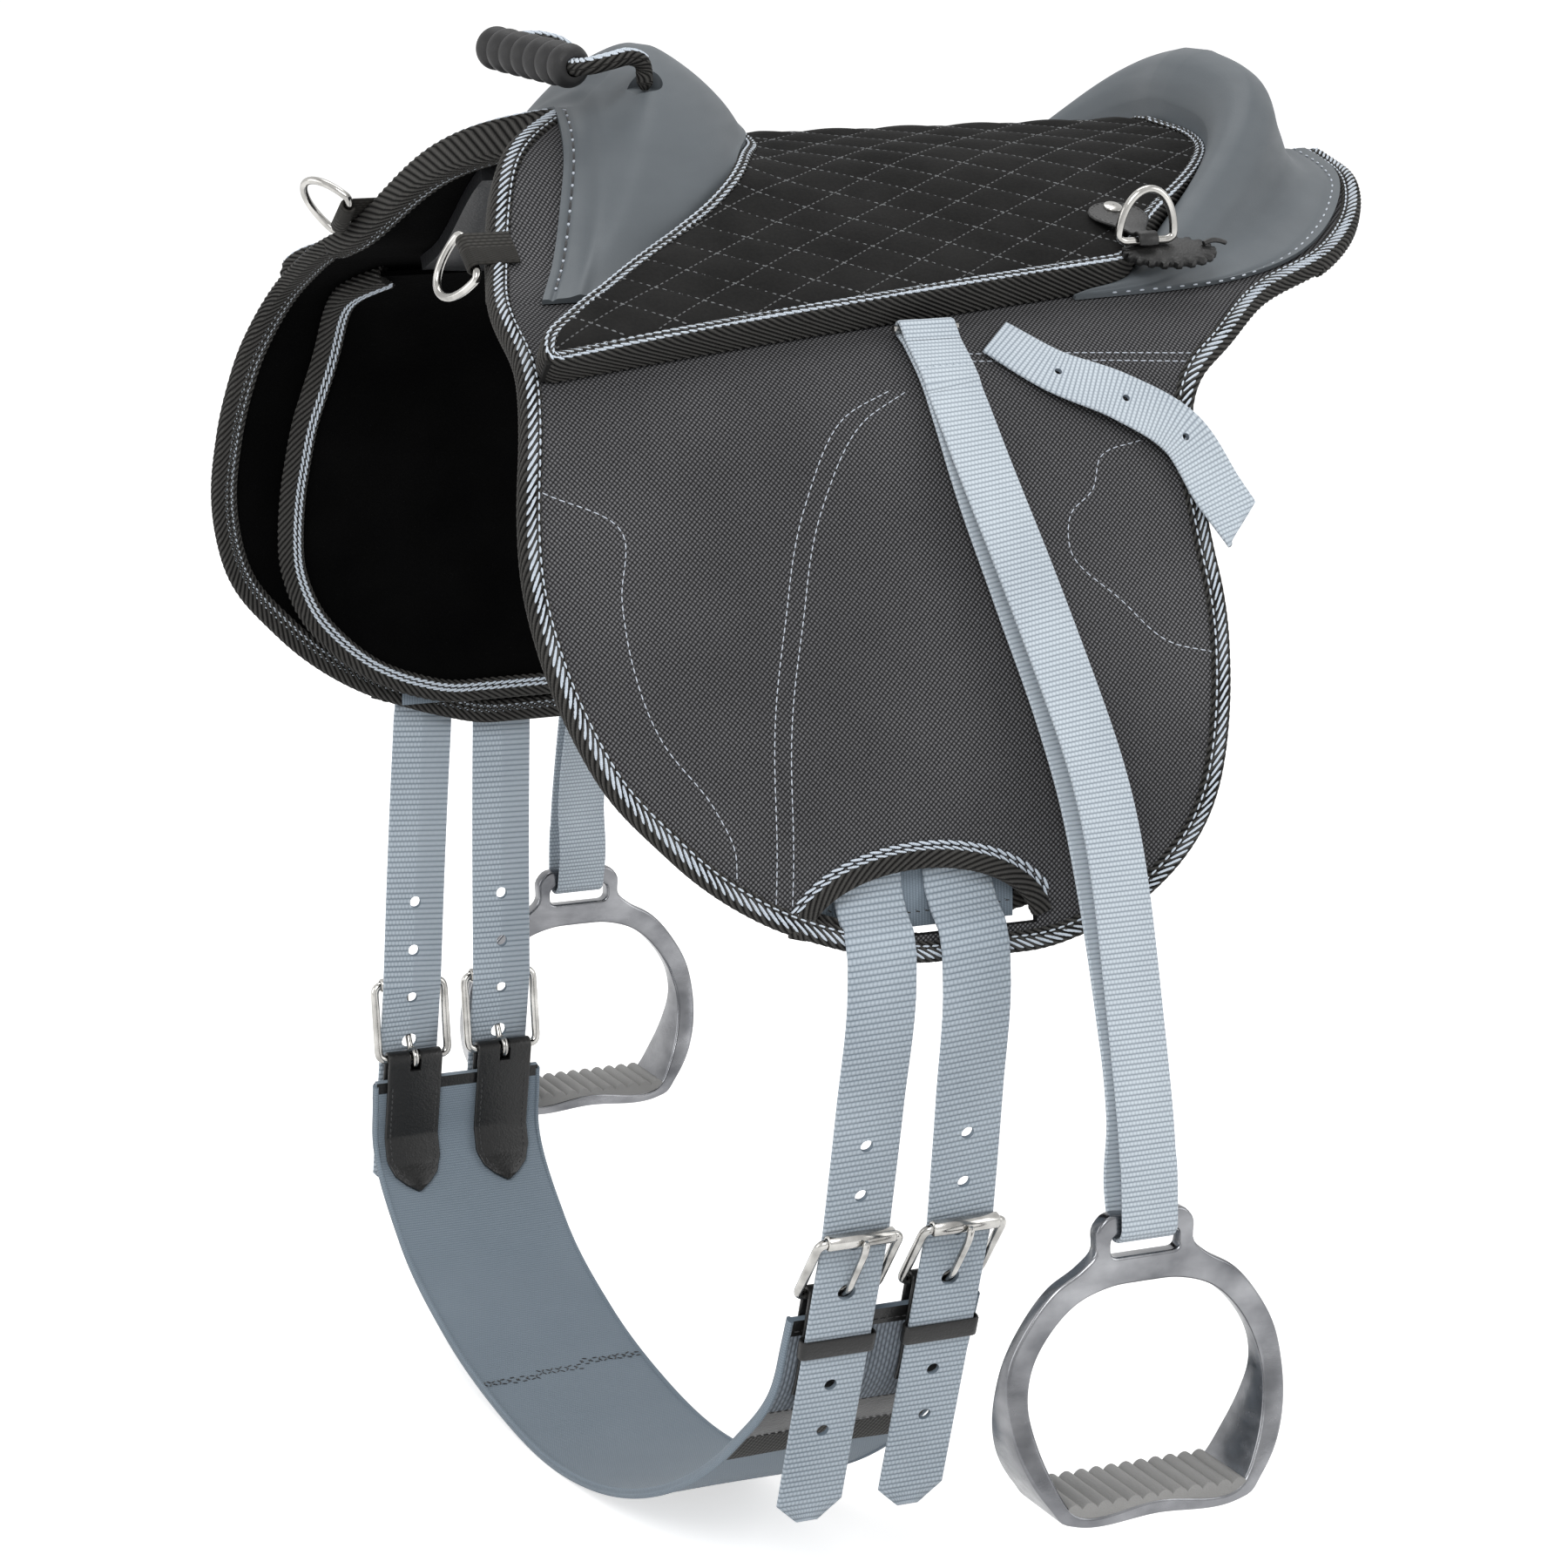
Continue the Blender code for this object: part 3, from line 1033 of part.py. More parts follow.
def strap_tail(side, name):
    """The free end of the strap, which the skirt holds down on the flap."""
    places, normals = [], []
    for x, arc, out in TAIL_STRAP_SHARES:
        arc = STRAP_PIVOT_ARC + arc * TAIL_STRAP_RUN
        places.append(on_pad(STRAP_X - x * TAIL_STRAP_RUN, side * arc, out * TAIL_STRAP_RUN))
        normals.append(out_of_pad(side * arc))
    spots = [Vector(spot) for spot in curve_through(places, 15)]
    bends = [Vector(normal) for normal in curve_through(normals, 15)]
    slopes = np.gradient(np.array(spots), axis=0)
    across = [Vector(slope).cross(bend).normalized() for slope, bend in zip(slopes, bends)]
    widths = [1] * (len(spots) - 2) + [*TAIL_STRAP_TIP_SHARES]
    made = add(f"strap_tail_{name}", ribbon_mesh(spots, TAIL_STRAP_WIDTH, STRAP_THICK, across, widths), "webbing_light")
    shape = bmesh.new()
    for hole in range(TAIL_STRAP_HOLES):
        spot = round((len(spots) - 1) * (hole + 1) / (TAIL_STRAP_HOLES + 1.5))
        rod_shape(shape, TAIL_STRAP_HOLE, 2 * OVERRUN, spots[spot], bends[spot], 10)
    cutter(f"tail_holes_{name}", to_mesh(shape), made)


def iron(name, eye, holder):
    """A stirrup iron: an arch with a slotted eye, and a ridged tread across its foot."""
    half = IRON_WIDTH / 2
    top = IRON_EYE_BAR / 2
    outer = [(x * half, top + z * IRON_HEIGHT) for x, z in IRON_OUTER_SHARES]
    inner = [(x * half, top + z * IRON_HEIGHT) for x, z in IRON_INNER_SHARES]
    outer = [tuple(spot) for spot in curve_through(outer, 26)]
    inner = [tuple(spot) for spot in curve_through(inner, 20)]
    slot_half = IRON_EYE_WIDTH / 2
    slot_top = -IRON_EYE_BAR / 2
    slot = [(-slot_half, slot_top), (slot_half, slot_top), (slot_half, slot_top - IRON_EYE_HEIGHT),
            (-slot_half, slot_top - IRON_EYE_HEIGHT)]
    rings = [both_halves(outer), both_halves(inner), slot]
    stand = Matrix.Translation(eye) @ Matrix.Rotation(math.pi / 2, 4, "X")
    arch_mesh = outline_mesh(rings, IRON_THICK)
    arch_mesh.transform(stand)
    made = add(f"stirrup_iron_{name}", arch_mesh, "metal", holder)
    floor = top - IRON_HEIGHT
    step = TREAD_WIDTH / TREAD_RIDGES
    ridge = TREAD_THICK / 8
    profile = [(-TREAD_WIDTH / 2, floor), (TREAD_WIDTH / 2, floor)]
    for bump in range(TREAD_RIDGES):
        right = TREAD_WIDTH / 2 - bump * step
        profile += [(right, floor + TREAD_THICK - ridge), (right - step / 4, floor + TREAD_THICK),
                    (right - 3 * step / 4, floor + TREAD_THICK)]
    profile.append((-TREAD_WIDTH / 2, floor + TREAD_THICK - ridge))
    tread = outline_mesh([profile], TREAD_DEPTH)
    tread.transform(stand)
    shape = add(f"tread_shape_{name}", tread, None, collection="cutters")
    shape.hide_render = True
    shape.display_type = "WIRE"
    modify(made, "tread", shape, "UNION")


def both_halves(points):
    """Mirrors half an outline, whose ends may lie on the middle line."""
    mirrored = [(-x, z) for x, z in points[::-1] if abs(x) > GAP]
    return points + mirrored


for old in list(bpy.data.objects):
    bpy.data.objects.remove(old)
for group in ("bareback_pad", "cutters"):
    bpy.context.scene.collection.children.link(bpy.data.collections.new(group))
LOOKS = {
    "canvas": material("canvas", (0.022, 0.022, 0.024), 0.85),
    "velvet": material("velvet", (0.014, 0.014, 0.015), 0.95),
    "leather": material("leather", (0.017, 0.016, 0.016), 0.55),
    "suede": material("suede", (0.02, 0.02, 0.022), 0.9),
    "foam": material("foam", (0.2, 0.2, 0.2), 0.9),
    "rubber": material("rubber", (0.12, 0.135, 0.15), 0.5),
    "plastic": material("plastic", (0.02, 0.02, 0.022), 0.4),
    "rope": material("rope", (0.3, 0.34, 0.38), 0.7),
    "webbing": material("webbing", (0.02, 0.02, 0.021), 0.8),
    "webbing_dark": material("webbing_dark", (0.03, 0.03, 0.032), 0.8),
    "webbing_light": material("webbing_light", (0.42, 0.5, 0.56), 0.75),
    "girth": material("girth", (0.2, 0.21, 0.23), 0.85),
    "steel": material("steel", (0.62, 0.61, 0.58), 0.25, 1),
    "metal": material("metal", (0.5, 0.5, 0.5), 0.35, 1),
}
SEAT_FRONT_CURVE = curve_through(SEAT_FRONT_SHARES, 80).T
SEAT_REAR_CURVE = curve_through(SEAT_REAR_SHARES, 80).T
SEAT_FRONT_LINE = np.array([seat_place(1, w) for w in np.linspace(0, 1, 60)])
pad()
seat()
pommel()
cantle()
handle()
front_rings()
crupper()
rear_fittings()
girth()
for one_side, side_word in SIDES:
    stirrup(one_side, side_word)
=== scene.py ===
import math

import bmesh
import bpy
import numpy as np
from mathutils import Matrix, Vector


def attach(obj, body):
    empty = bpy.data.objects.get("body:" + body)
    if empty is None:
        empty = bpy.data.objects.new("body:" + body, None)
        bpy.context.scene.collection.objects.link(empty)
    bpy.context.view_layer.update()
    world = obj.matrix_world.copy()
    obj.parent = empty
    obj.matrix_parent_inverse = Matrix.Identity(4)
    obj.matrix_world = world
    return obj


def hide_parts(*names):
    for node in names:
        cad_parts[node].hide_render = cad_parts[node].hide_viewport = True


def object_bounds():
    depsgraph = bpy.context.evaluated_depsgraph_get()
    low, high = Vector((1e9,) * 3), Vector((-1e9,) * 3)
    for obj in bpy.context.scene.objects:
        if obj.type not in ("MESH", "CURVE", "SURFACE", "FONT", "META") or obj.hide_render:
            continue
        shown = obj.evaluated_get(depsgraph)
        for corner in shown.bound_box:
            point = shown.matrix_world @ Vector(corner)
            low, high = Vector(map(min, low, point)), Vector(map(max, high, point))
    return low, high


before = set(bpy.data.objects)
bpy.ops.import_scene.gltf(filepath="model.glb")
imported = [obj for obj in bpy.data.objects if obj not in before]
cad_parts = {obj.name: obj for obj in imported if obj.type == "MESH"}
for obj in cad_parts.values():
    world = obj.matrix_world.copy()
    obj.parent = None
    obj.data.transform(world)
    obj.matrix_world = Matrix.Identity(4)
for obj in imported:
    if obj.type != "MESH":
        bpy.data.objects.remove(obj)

CAD_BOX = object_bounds()

# Metres. X points to the pony's head, Y to its near side, Z up. Arc runs down the pad's outer face from the spine.
GAP = 0.0003
PLAY = 0.0008
SEW_GAP = 0.0015
SPREAD, FALL = 0.248, 0.314
BASE_THICK, FLAP_THICK, FLAP_ARC, BRIDGE_ARC, EDGE_EASE = 0.014, 0.004, 0.418, 0.118, 12
FRONT_REACH, REAR_REACH = 0.152, 0.312
ARCH_RISE, ARCH_HALF, ARCH_START, ARCH_RUN = 0.031, 0.100, -0.030, 0.095
SECTION_SHARES = (
    (0, 0), (0.2, 0.029), (0.355, 0.076), (0.5, 0.127), (0.633, 0.185), (0.718, 0.264), (0.766, 0.347),
    (0.81, 0.427), (0.855, 0.49), (0.9, 0.557), (0.948, 0.634), (0.98, 0.713), (0.996, 0.809), (1, 1))
FRONT_EDGE_SHARES = (
    (0, 0.41), (0.12, 0.70), (0.215, 0.81), (0.29, 0.875), (0.385, 0.895), (0.455, 0.934), (0.52, 0.974),
    (0.6, 1), (0.67, 0.993), (0.78, 0.92), (0.873, 0.737), (0.94, 0.507), (0.976, 0.283), (1, 0.06))
REAR_EDGE_SHARES = (
    (0, 1), (0.096, 0.978), (0.18, 0.926), (0.268, 0.824), (0.34, 0.663), (0.407, 0.567), (0.455, 0.494),
    (0.49, 0.471), (0.6, 0.468), (0.69, 0.465), (0.78, 0.442), (0.9, 0.385), (0.97, 0.282), (1, 0.16))
WINDOW_WIDTH, WINDOW_HEIGHT, WINDOW_X, WINDOW_SILL, WINDOW_TRIM = 0.103, 0.028, 0.0065, 0.010, 0.12
# Where the sheet of painted shade sits behind each window: half width, reach down and up, and depths
WINDOW_SHADE_HALF, WINDOW_SHADE_DOWN, WINDOW_SHADE_UP, WINDOW_SHADE_DEPTHS = 0.044, 0.020, 0.012, (-0.0072, -0.0079)
SWEAT_THICK, SWEAT_TOP_ARC, SWEAT_BOTTOM_ARC, SWEAT_EASE = 0.007, 0.134, 0.404, 1.6
SWEAT_FRONT_SHARES = (
    (0, 0.645), (0.07, 0.724), (0.27, 0.743), (0.41, 0.789), (0.57, 0.789), (0.7, 0.757), (0.82, 0.671),
    (0.9, 0.553), (0.966, 0.375), (1, 0.2))
SWEAT_REAR_SHARES = (
    (0, 0.545), (0.07, 0.497), (0.27, 0.4), (0.41, 0.391), (0.57, 0.385), (0.7, 0.369), (0.82, 0.337),
    (0.9, 0.295), (0.966, 0.224), (1, 0.112))
BOLSTER_THICK, BOLSTER_ARCS, BOLSTER_ENDS = 0.017, (0.030, 0.115), (-0.270, 0.085)
SEAT_EDGE_HEIGHT, SEAT_CROWN, SEAT_ARC, SEAT_FRONT, SEAT_REAR, SEAT_SLANT = 0.013, 0.006, 0.151, 0.131, -0.225, 0.041
SEAT_FRONT_SHARES = (
    (0, -0.163), (0.123, -0.14), (0.265, -0.045), (0.4065, 0.07), (0.505, 0.196), (0.585, 0.341), (0.763, 0.665),
    (0.873, 0.865), (0.95, 0.985), (1, 1.0))
SEAT_REAR_SHARES = (
    (0, 0.987), (0.23, 1.013), (0.38, 0.996), (0.53, 0.933), (0.67, 0.844), (0.76, 0.778), (0.95, 0.667), (1, 0.644))
QUILT_LONG, QUILT_WIDE, QUILT_START, QUILT_PUFF = 0.0350, 0.0208, (0.0185, 0.1232), 0.0013
POMMEL_HEIGHT, POMMEL_ARC, POMMEL_FRONT, POMMEL_CLEAR = 0.043, 0.120, 0.1125, 0.0012
POMMEL_FALL_SHARES, POMMEL_FALLOFF, POMMEL_STEP_SHARE, POMMEL_RISE_SHARE = (0.5, 0.93), 1.8, 0.38, 0.5
POMMEL_FRONT_SHARES = ((0, 0.55), (0.353, 0.66), (0.557, 0.76), (0.767, 0.87), (1, 1))
POMMEL_RIDGE, POMMEL_GROOVE, CANTLE_SEAM_U = (0.0012, 0.016, 0.003), (0.0010, 0.0045, 0.0011), 0.075
FLANGE_THICK = 0.003
CANTLE_HEIGHT, CANTLE_ARC, CANTLE_REAR, CANTLE_WING = 0.050, 0.140, -0.305, 0.026
CANTLE_TURN_SHARE, CANTLE_CLEAR, CANTLE_ROUND = 0.85, 0.0022, 0.003
CANTLE_HEIGHT_SHARES = (
    (0, 1), (0.2, 1), (0.3, 0.96), (0.4, 0.84), (0.5, 0.62), (0.6, 0.40), (0.7, 0.25), (0.8, 0.16), (1, 0.08))
CANTLE_OUTER_X_SHARES = ((0, 1), (0.2, 0.984), (0.4, 0.944), (0.55, 0.86), (0.7, 0.77), (0.85, 0.64), (1, 0.39))
CANTLE_OUTER_ARC_SHARES = ((0, 0), (0.2, 0.214), (0.4, 0.443), (0.55, 0.68), (0.7, 0.843), (0.85, 0.95), (1, 0.99))
CANTLE_PROFILE_SHARES = (
    (0, 0.62), (0.06, 0.80), (0.16, 0.95), (0.27, 1), (0.38, 0.93), (0.55, 0.52), (0.7, 0.17), (0.8, 0.07), (1.6, 0.06))
GRIP_LENGTH, GRIP_RADIUS, GRIP_RIB, GRIP_RIBS, GRIP_BORE = 0.074, 0.0095, 0.0019, 7, 0.0042
GRIP_FORWARD, GRIP_ABOVE, GRIP_SKEW, GRIP_TILT, ROPE_MOUTH = 0.0345, 0.0085, 0.010, 0.004, (0.037, 0.04083, 0.06048)
ROPE_RADIUS, ROPE_HOLE_Y, ROPE_HOLE_RADIUS, ROPE_FLOOR_GAP = 0.0035, 0.035, 0.0075, 0.0009
ROPE_BEND_SHARES = ((0.12, 1.9, 0.5), (0.4, 2.4, 1.6), (0.7, 1.6, 2.5), (0.93, 0.6, 2.1))
RING_WIRE, RING_WIDTH, RING_HEIGHT = 0.00175, 0.026, 0.022
TAB_WIDTH, TAB_THICK, FRONT_TAB_ARC, FRONT_TAB_LENGTH = 0.018, 0.0016, 0.082, 0.009
FRONT_EYE_CLEAR, CRUPPER_EYE_CLEAR, CRUPPER_EYE_DEPTH = 0.0095, 0.0042, 0.007
FRONT_RING_TURN = {1: math.radians(-65), -1: math.radians(50)}
REAR_RING_TURN = math.radians(20)
ROSETTE_LENGTH, ROSETTE_WIDTH, ROSETTE_THICK, ROSETTE_TEETH, ROSETTE_TOOTH = 0.044, 0.022, 0.004, 20, 0.0019
ROSETTE_X, ROSETTE_ARC, RING_BAR_ARC = -0.163, 0.131, 0.128
PATCH_X, PATCH_TOP_ARC, PATCH_WIDTH, PATCH_THICK = -0.152, 0.093, 0.019, 0.0016
RIVET_RADIUS, RIVET_HEIGHT = 0.0042, 0.0014
BILLET_WIDTH, BILLET_THICK, BILLET_TOP_ARC, BILLET_EXIT_ARC = 0.030, 0.002, 0.352, 0.3935
BILLET_HOLE, BILLET_HOLE_PITCH, BILLET_SAMPLES, BILLET_HOLES = 0.0028, 0.024, 22, (-3, -2, -1, 2, 3)
GIRTH_WIDTH, GIRTH_THICK, GIRTH_TOP, GIRTH_SAG, GIRTH_ENDS = 0.085, 0.003, -0.420, 0.158, 0.012
GIRTH_SHARES = ((0.6, 0.52), (0.34, 0.79), (0.06, 0.95), (-0.2, 1), (-0.44, 0.96), (-0.685, 0.855), (-0.91, 0.66))
CHAPE_WIDTH, CHAPE_THICK, CHAPE_LENGTH, CHAPE_OUTER_SHARE = 0.028, 0.0018, 0.062, 0.6
CHAPE_STEPS_SHARE = (0.02, 0.25, 0.5, 0.75, 0.9, 1)
BUCKLE_WIDTH, BUCKLE_CORNER, BUCKLE_HEIGHT, BUCKLE_WIRE = 0.040, 0.002, 0.035, 0.002
ROLLER_LENGTH, ROLLER_RADIUS, TONGUE_WIRE, TONGUE_HOLE, TONGUE_RISE = 0.030, 0.0034, 0.0016, 0.0040, 0.0055
TONGUE_SLOT, TONGUE_NECK, TONGUE_CROOK, CHAPE_BAR_DROP = 0.0055, 0.0033, 0.00825, 0.0078
KEEPER_LENGTH, KEEPER_WALL, KEEPER_DOWN = 0.009, 0.0015, 0.022
ROLLER_Y, ROLLER_Z = {1: 0.220, -1: 0.247}, {1: -0.390, -1: -0.402}
BILLET_LEAN = {1: math.radians(19), -1: math.radians(-12)}
BILLET_TAIL, GIRTH_X = {1: 0.150, -1: 0.112}, {1: -0.002, -1: 0.0225}
BILLET_SPACING, WINDOW_SPACING, WINDOW_BILLET_X = 0.047, 0.038, {1: 0.009, -1: 0.012}
STRAP_WIDTH, STRAP_THICK, STRAP_X, STRAP_PIVOT_ARC, STRAP_LENGTH = 0.025, 0.0018, -0.040, 0.166, 0.3614
STRAP_DRIFT, STRAP_DRIFT_SHARE, STRAP_BOW, STRAP_EYE_OUT, STRAP_BAR_UP = -0.024, 0.6, 0.0345, -0.003, 0.0095
OUTER_LAYER_SHARES = (
    (-0.006, 0.168), (0.0138, 0.284), (0.0415, 0.412), (0.08, 0.507), (0.155, 0.623), (0.224, 0.742),
    (0.329, 0.826), (0.429, 0.899), (0.534, 1), (0.639, 0.942), (0.775, 0.7), (0.891, 0.48), (0.955, 0.3))
INNER_LAYER_SHARES = (
    (-0.0083, 0.08), (0.0138, 0.206), (0.0415, 0.333), (0.094, 0.42), (0.171, 0.435), (0.31, 0.478), (0.451, 0.536),
    (0.526, 0.551), (0.65, 0.53), (0.775, 0.42), (0.85, 0.31), (0.891, 0.19), (0.955, -0.17))
SWING_LEAN, HANGER_WIRE, HEM_SHARE, POST_SLOT_HALF = math.radians(25), 0.0016, 0.94, 0.0032
IRON_WIDTH, IRON_HEIGHT, IRON_THICK = 0.124, 0.122, 0.0075
IRON_OUTER_SHARES = (
    (0, 0), (0.3, 0), (0.345, -0.03), (0.355, -0.11), (0.45, -0.155), (0.645, -0.215), (0.84, -0.33), (0.97, -0.46),
    (1, -0.57), (0.975, -0.7), (0.89, -0.82), (0.76, -0.92), (0.68, -0.97), (0.6, -0.985), (0, -0.985))
IRON_INNER_SHARES = (
    (0, -0.225), (0.24, -0.23), (0.48, -0.27), (0.69, -0.37), (0.815, -0.49), (0.85, -0.59), (0.82, -0.7),
    (0.74, -0.82), (0.62, -0.93), (0, -0.935))
IRON_EYE_WIDTH, IRON_EYE_HEIGHT, IRON_EYE_BAR = 0.031, 0.009, 0.007
TREAD_WIDTH, TREAD_DEPTH, TREAD_THICK, TREAD_RISE, TREAD_RIDGES = 0.081, 0.036, 0.0112, 0.0022, 12
TAIL_STRAP_WIDTH, TAIL_STRAP_RUN, TAIL_STRAP_HOLES, TAIL_STRAP_HOLE = 0.024, 0.118, 3, 0.002
TAIL_STRAP_SHARES = (
    (0.26, -0.03, 0.0165), (0.424, 0.136, 0.022), (0.636, 0.263, 0.045), (0.839, 0.407, 0.047),
    (0.941, 0.627, 0.055), (1, 0.814, 0.11))
SIDES = ((1, "left", "near"), (-1, "right", "off"))
AHEAD = np.array((1.0, 0.0, 0.0))
UP = np.array((0.0, 0.0, 1.0))

# Trim: the light braid, the ribbed black tape and the stitches
EDGE_BRAID = dict(pitch=0.0044, size=(0.0092, 0.00135, 0.0014), slant=math.radians(26))
EDGE_STITCH = dict(pitch=0.0044, size=(0.0031, 0.0010, 0.0008))
TWIN_BRAID = dict(pitch=0.0038, size=(0.0056, 0.0012, 0.0011), slant=math.radians(15))
TWIN_APART, TAPE_CLEAR = 0.0022, 0.0026
RIB_PITCH, RIB_HEIGHT, RIB_SLANT, TWILL_PITCH = 0.0040, 0.0008, 1.7, 0.0022
STITCH = dict(pitch=0.0036, size=(0.0027, 0.0005, 0.0004))
FINE_STITCH = dict(pitch=0.0032, size=(0.0020, 0.0008, 0.0006))
COARSE_STITCH = dict(pitch=0.0066, size=(0.0024, 0.0009, 0.0007))
PATCH_STITCH = dict(pitch=0.0026, size=(0.0018, 0.0005, 0.0005))
CHAPE_STITCH = dict(pitch=0.0031, size=(0.0022, 0.0007, 0.0007))
HEM_STITCH = dict(pitch=0.0027, size=(0.0019, 0.0008, 0.0007))
ZIGZAG_STITCH = dict(pitch=0.0032, size=(0.0026, 0.0007, 0.0005))
SEAM_STITCH = dict(pitch=0.0032, size=(0.0024, 0.0006, 0.0005))
# Near-black bars for the shade in the pommel's stitch dents: painted shade
POMMEL_DENT_SHADE = dict(pitch=0.0075, size=(0.0052, 0.0010, 0.0010))
POMMEL_STITCH = dict(pitch=0.0075, size=(0.0017, 0.0012, 0.0011))
ROPE_STRAND = dict(pitch=0.0030, size=(0.0050, 0.0017, 0.0014), slant=math.radians(28))
ROPE_TWIST = dict(ribs=0.0005, rib_pitch=0.0026, slant=1.6)

# Profiles of the tapes as (across, out), and with the share of the edge's thickness that a point lies down it
EDGE_TAPE = (
    (-0.0068, 0.0002, 0), (-0.0062, 0.0009, 0), (-0.0048, 0.0016, 0), (-0.0020, 0.0017, 0), (0.0001, 0.0010, 0),
    (0.0010, -0.0006, 0), (0.0013, 0, 0.5), (0.0010, 0.0006, 1), (0.0001, -0.0010, 1), (-0.0025, -0.0015, 1),
    (-0.0060, -0.0014, 1), (-0.0088, -0.0010, 1), (-0.0092, 0.0006, 1), (-0.0050, 0.0012, 1), (-0.0050, -0.0006, 0))
SEAT_TAPE = (
    (-0.0035, 0.0006, 0), (-0.0010, 0.0009, 0), (0.0006, -0.0004, 0), (0.0010, -0.0030, 0), (0.0012, -0.0010, 0.5),
    (0.0009, 0.0016, 1), (0.0003, 0.0010, 1), (-0.0012, 0.0016, 1), (-0.0012, -0.0035, 0))
WINDOW_TAPE = (
    (0.0062, 0.0002), (0.0058, 0.0009), (0.0020, 0.0013), (-0.0002, 0.0009), (-0.0008, -0.0008), (-0.0007, -0.0030),
    (0.0002, -0.0036), (0.0012, -0.0034), (0.0006, -0.0006))
SWEAT_HALF = SWEAT_THICK / 2
SWEAT_TAPE = (
    (-0.006, SWEAT_HALF - 0.0002), (-0.004, SWEAT_HALF + 0.0003), (-0.0004, SWEAT_HALF - 0.0006), (0.0012, 0),
    (-0.0002, 0.0002 - SWEAT_HALF), (-0.003, -SWEAT_HALF - 0.0006), (-0.0085, -SWEAT_HALF - 0.0007),
    (-0.0092, 0.0004 - SWEAT_HALF), (-0.004, 0.001 - SWEAT_HALF), (-0.003, SWEAT_HALF - 0.0012))

# Forms of the small leather pieces, and the seams
PATCH_FORM = (
    (0, 0.03, 0.08, 0.15, 0.24, 0.34, 0.44, 0.54, 0.64, 1), (0.35, 0.80, 1.12, 1.34, 1.42, 1.34, 1.08, 0.76, 0.5, 0.47))
PATCH_HEIGHTS = ((0, 1.5), (0.25, 1.5), (0.5, 1.5), (1, 2))
PATCH_STEP, PATCH_SEWN_SHARE, ROSETTE_SQUASH = 0.0022, 0.55, 0.86
ROSETTE_RINGS = (
    (0.985, 0.0), (1, 0.12), (1, 0.72), (0.985, 0.9), (0.93, 1.0), (0.8, 1.06), (0.55, 1.16), (0.3, 1.22), (0.08, 1.24))
ROSETTE_LACE = (
    (-0.016, -0.001, 0.0046), (-0.020, -0.002, 0.0052), (-0.0245, -0.0035, 0.0040), (-0.029, -0.005, 0.0018))
CHAPE_TIP = (0, 0.001, 0.004, 0.009, 0.017), (0.06, 0.16, 0.46, 0.80, 1)
GIRTH_PARTS, GIRTH_OFF_HEM = ((0, 0.007, 3), (0.007, 0.052, 1), (0.052, 0.078, 3), (0.078, 0.104, 2)), 0.008
GIRTH_SEAM_SHARE, GIRTH_SEAMS = 0.665, (0.0055, 0.0525, 0.0775)
ZIGZAG_PARTS = ((-0.49, -0.12, 0.004), (-0.12, 0.16, 0.0), (0.16, 0.5, -0.003))


# Numbers: smooth curves and the pad's outer face
def lengths(points):
    """The distance along a line to each of its points."""
    return np.r_[0, np.cumsum(np.linalg.norm(np.diff(points, axis=0), axis=1))]


def circle(count):
    return np.arange(count) * 2 * math.pi / count


def curve_through(points, count):
    """Even steps along a smooth curve through the points."""
    points = np.array(points, float)
    chord = lengths(points)
    slopes = np.gradient(points, chord, axis=0)
    place = np.linspace(0, chord[-1], 30 * len(points))
    at = np.clip(np.searchsorted(chord, place) - 1, 0, len(chord) - 2)
    span = (chord[at + 1] - chord[at])[:, None]
    t = (place - chord[at])[:, None] / span
    fine = ((2 * t**3 - 3 * t**2 + 1) * points[at] + (t**3 - 2 * t**2 + t) * span * slopes[at]
            + (3 * t**2 - 2 * t**3) * points[at + 1] + (t**3 - t**2) * span * slopes[at + 1])
    return even(fine, count=count)


def even(points, step=None, count=None, closed=False):
    """The same line in even steps, with all its columns."""
    points = np.asarray(points, float)
    if closed:
        points = np.vstack([points, points[:1]])
    run = lengths(points[:, :3])
    count = count or max(int(round(run[-1] / step)), 2) + 1
    places = np.linspace(0, run[-1], count)
    made = np.column_stack([np.interp(places, run, column) for column in points.T])
    return made[:-1] if closed else made


def read(table, place):
    """The smooth value of a table of (place, value) shares."""
    return np.interp(place, *curve_through(table, 60).T)


def ease(t):
    t = np.clip(t, 0, 1)
    return t * t * (3 - 2 * t)


def hump(place, height, middle, width):
    return height * np.exp(-((place - middle) / width)**2)


def unit(vectors):
    return vectors / np.maximum(np.linalg.norm(vectors, axis=-1, keepdims=True), 1e-12)


SECTION = curve_through([(y * SPREAD, BASE_THICK - z * FALL) for y, z in SECTION_SHARES], 400)
SECTION_ARC = lengths(SECTION)
SECTION_SLOPE = np.gradient(SECTION, SECTION_ARC, axis=0)
FRONT_CURVE = curve_through(FRONT_EDGE_SHARES, 80).T
REAR_CURVE = curve_through(REAR_EDGE_SHARES, 80).T
SEAT_FRONT_CURVE = curve_through(SEAT_FRONT_SHARES, 80).T
SEAT_REAR_CURVE = curve_through(SEAT_REAR_SHARES, 80).T
SEAT_FOOT = SEAT_REAR * SEAT_REAR_SHARES[-1][1]


def section(arc):
    away = np.abs(arc)
    side = np.where(np.asarray(arc) < 0, -1.0, 1.0)
    y = np.interp(away, SECTION_ARC, SECTION[:, 0])
    z = np.interp(away, SECTION_ARC, SECTION[:, 1]) - np.maximum(away - SECTION_ARC[-1], 0)
    slope_y = np.interp(away, SECTION_ARC, SECTION_SLOPE[:, 0])
    slope_z = np.interp(away, SECTION_ARC, SECTION_SLOPE[:, 1])
    size = np.hypot(slope_y, slope_z)
    return side * y, z, -side * slope_z / size, slope_y / size


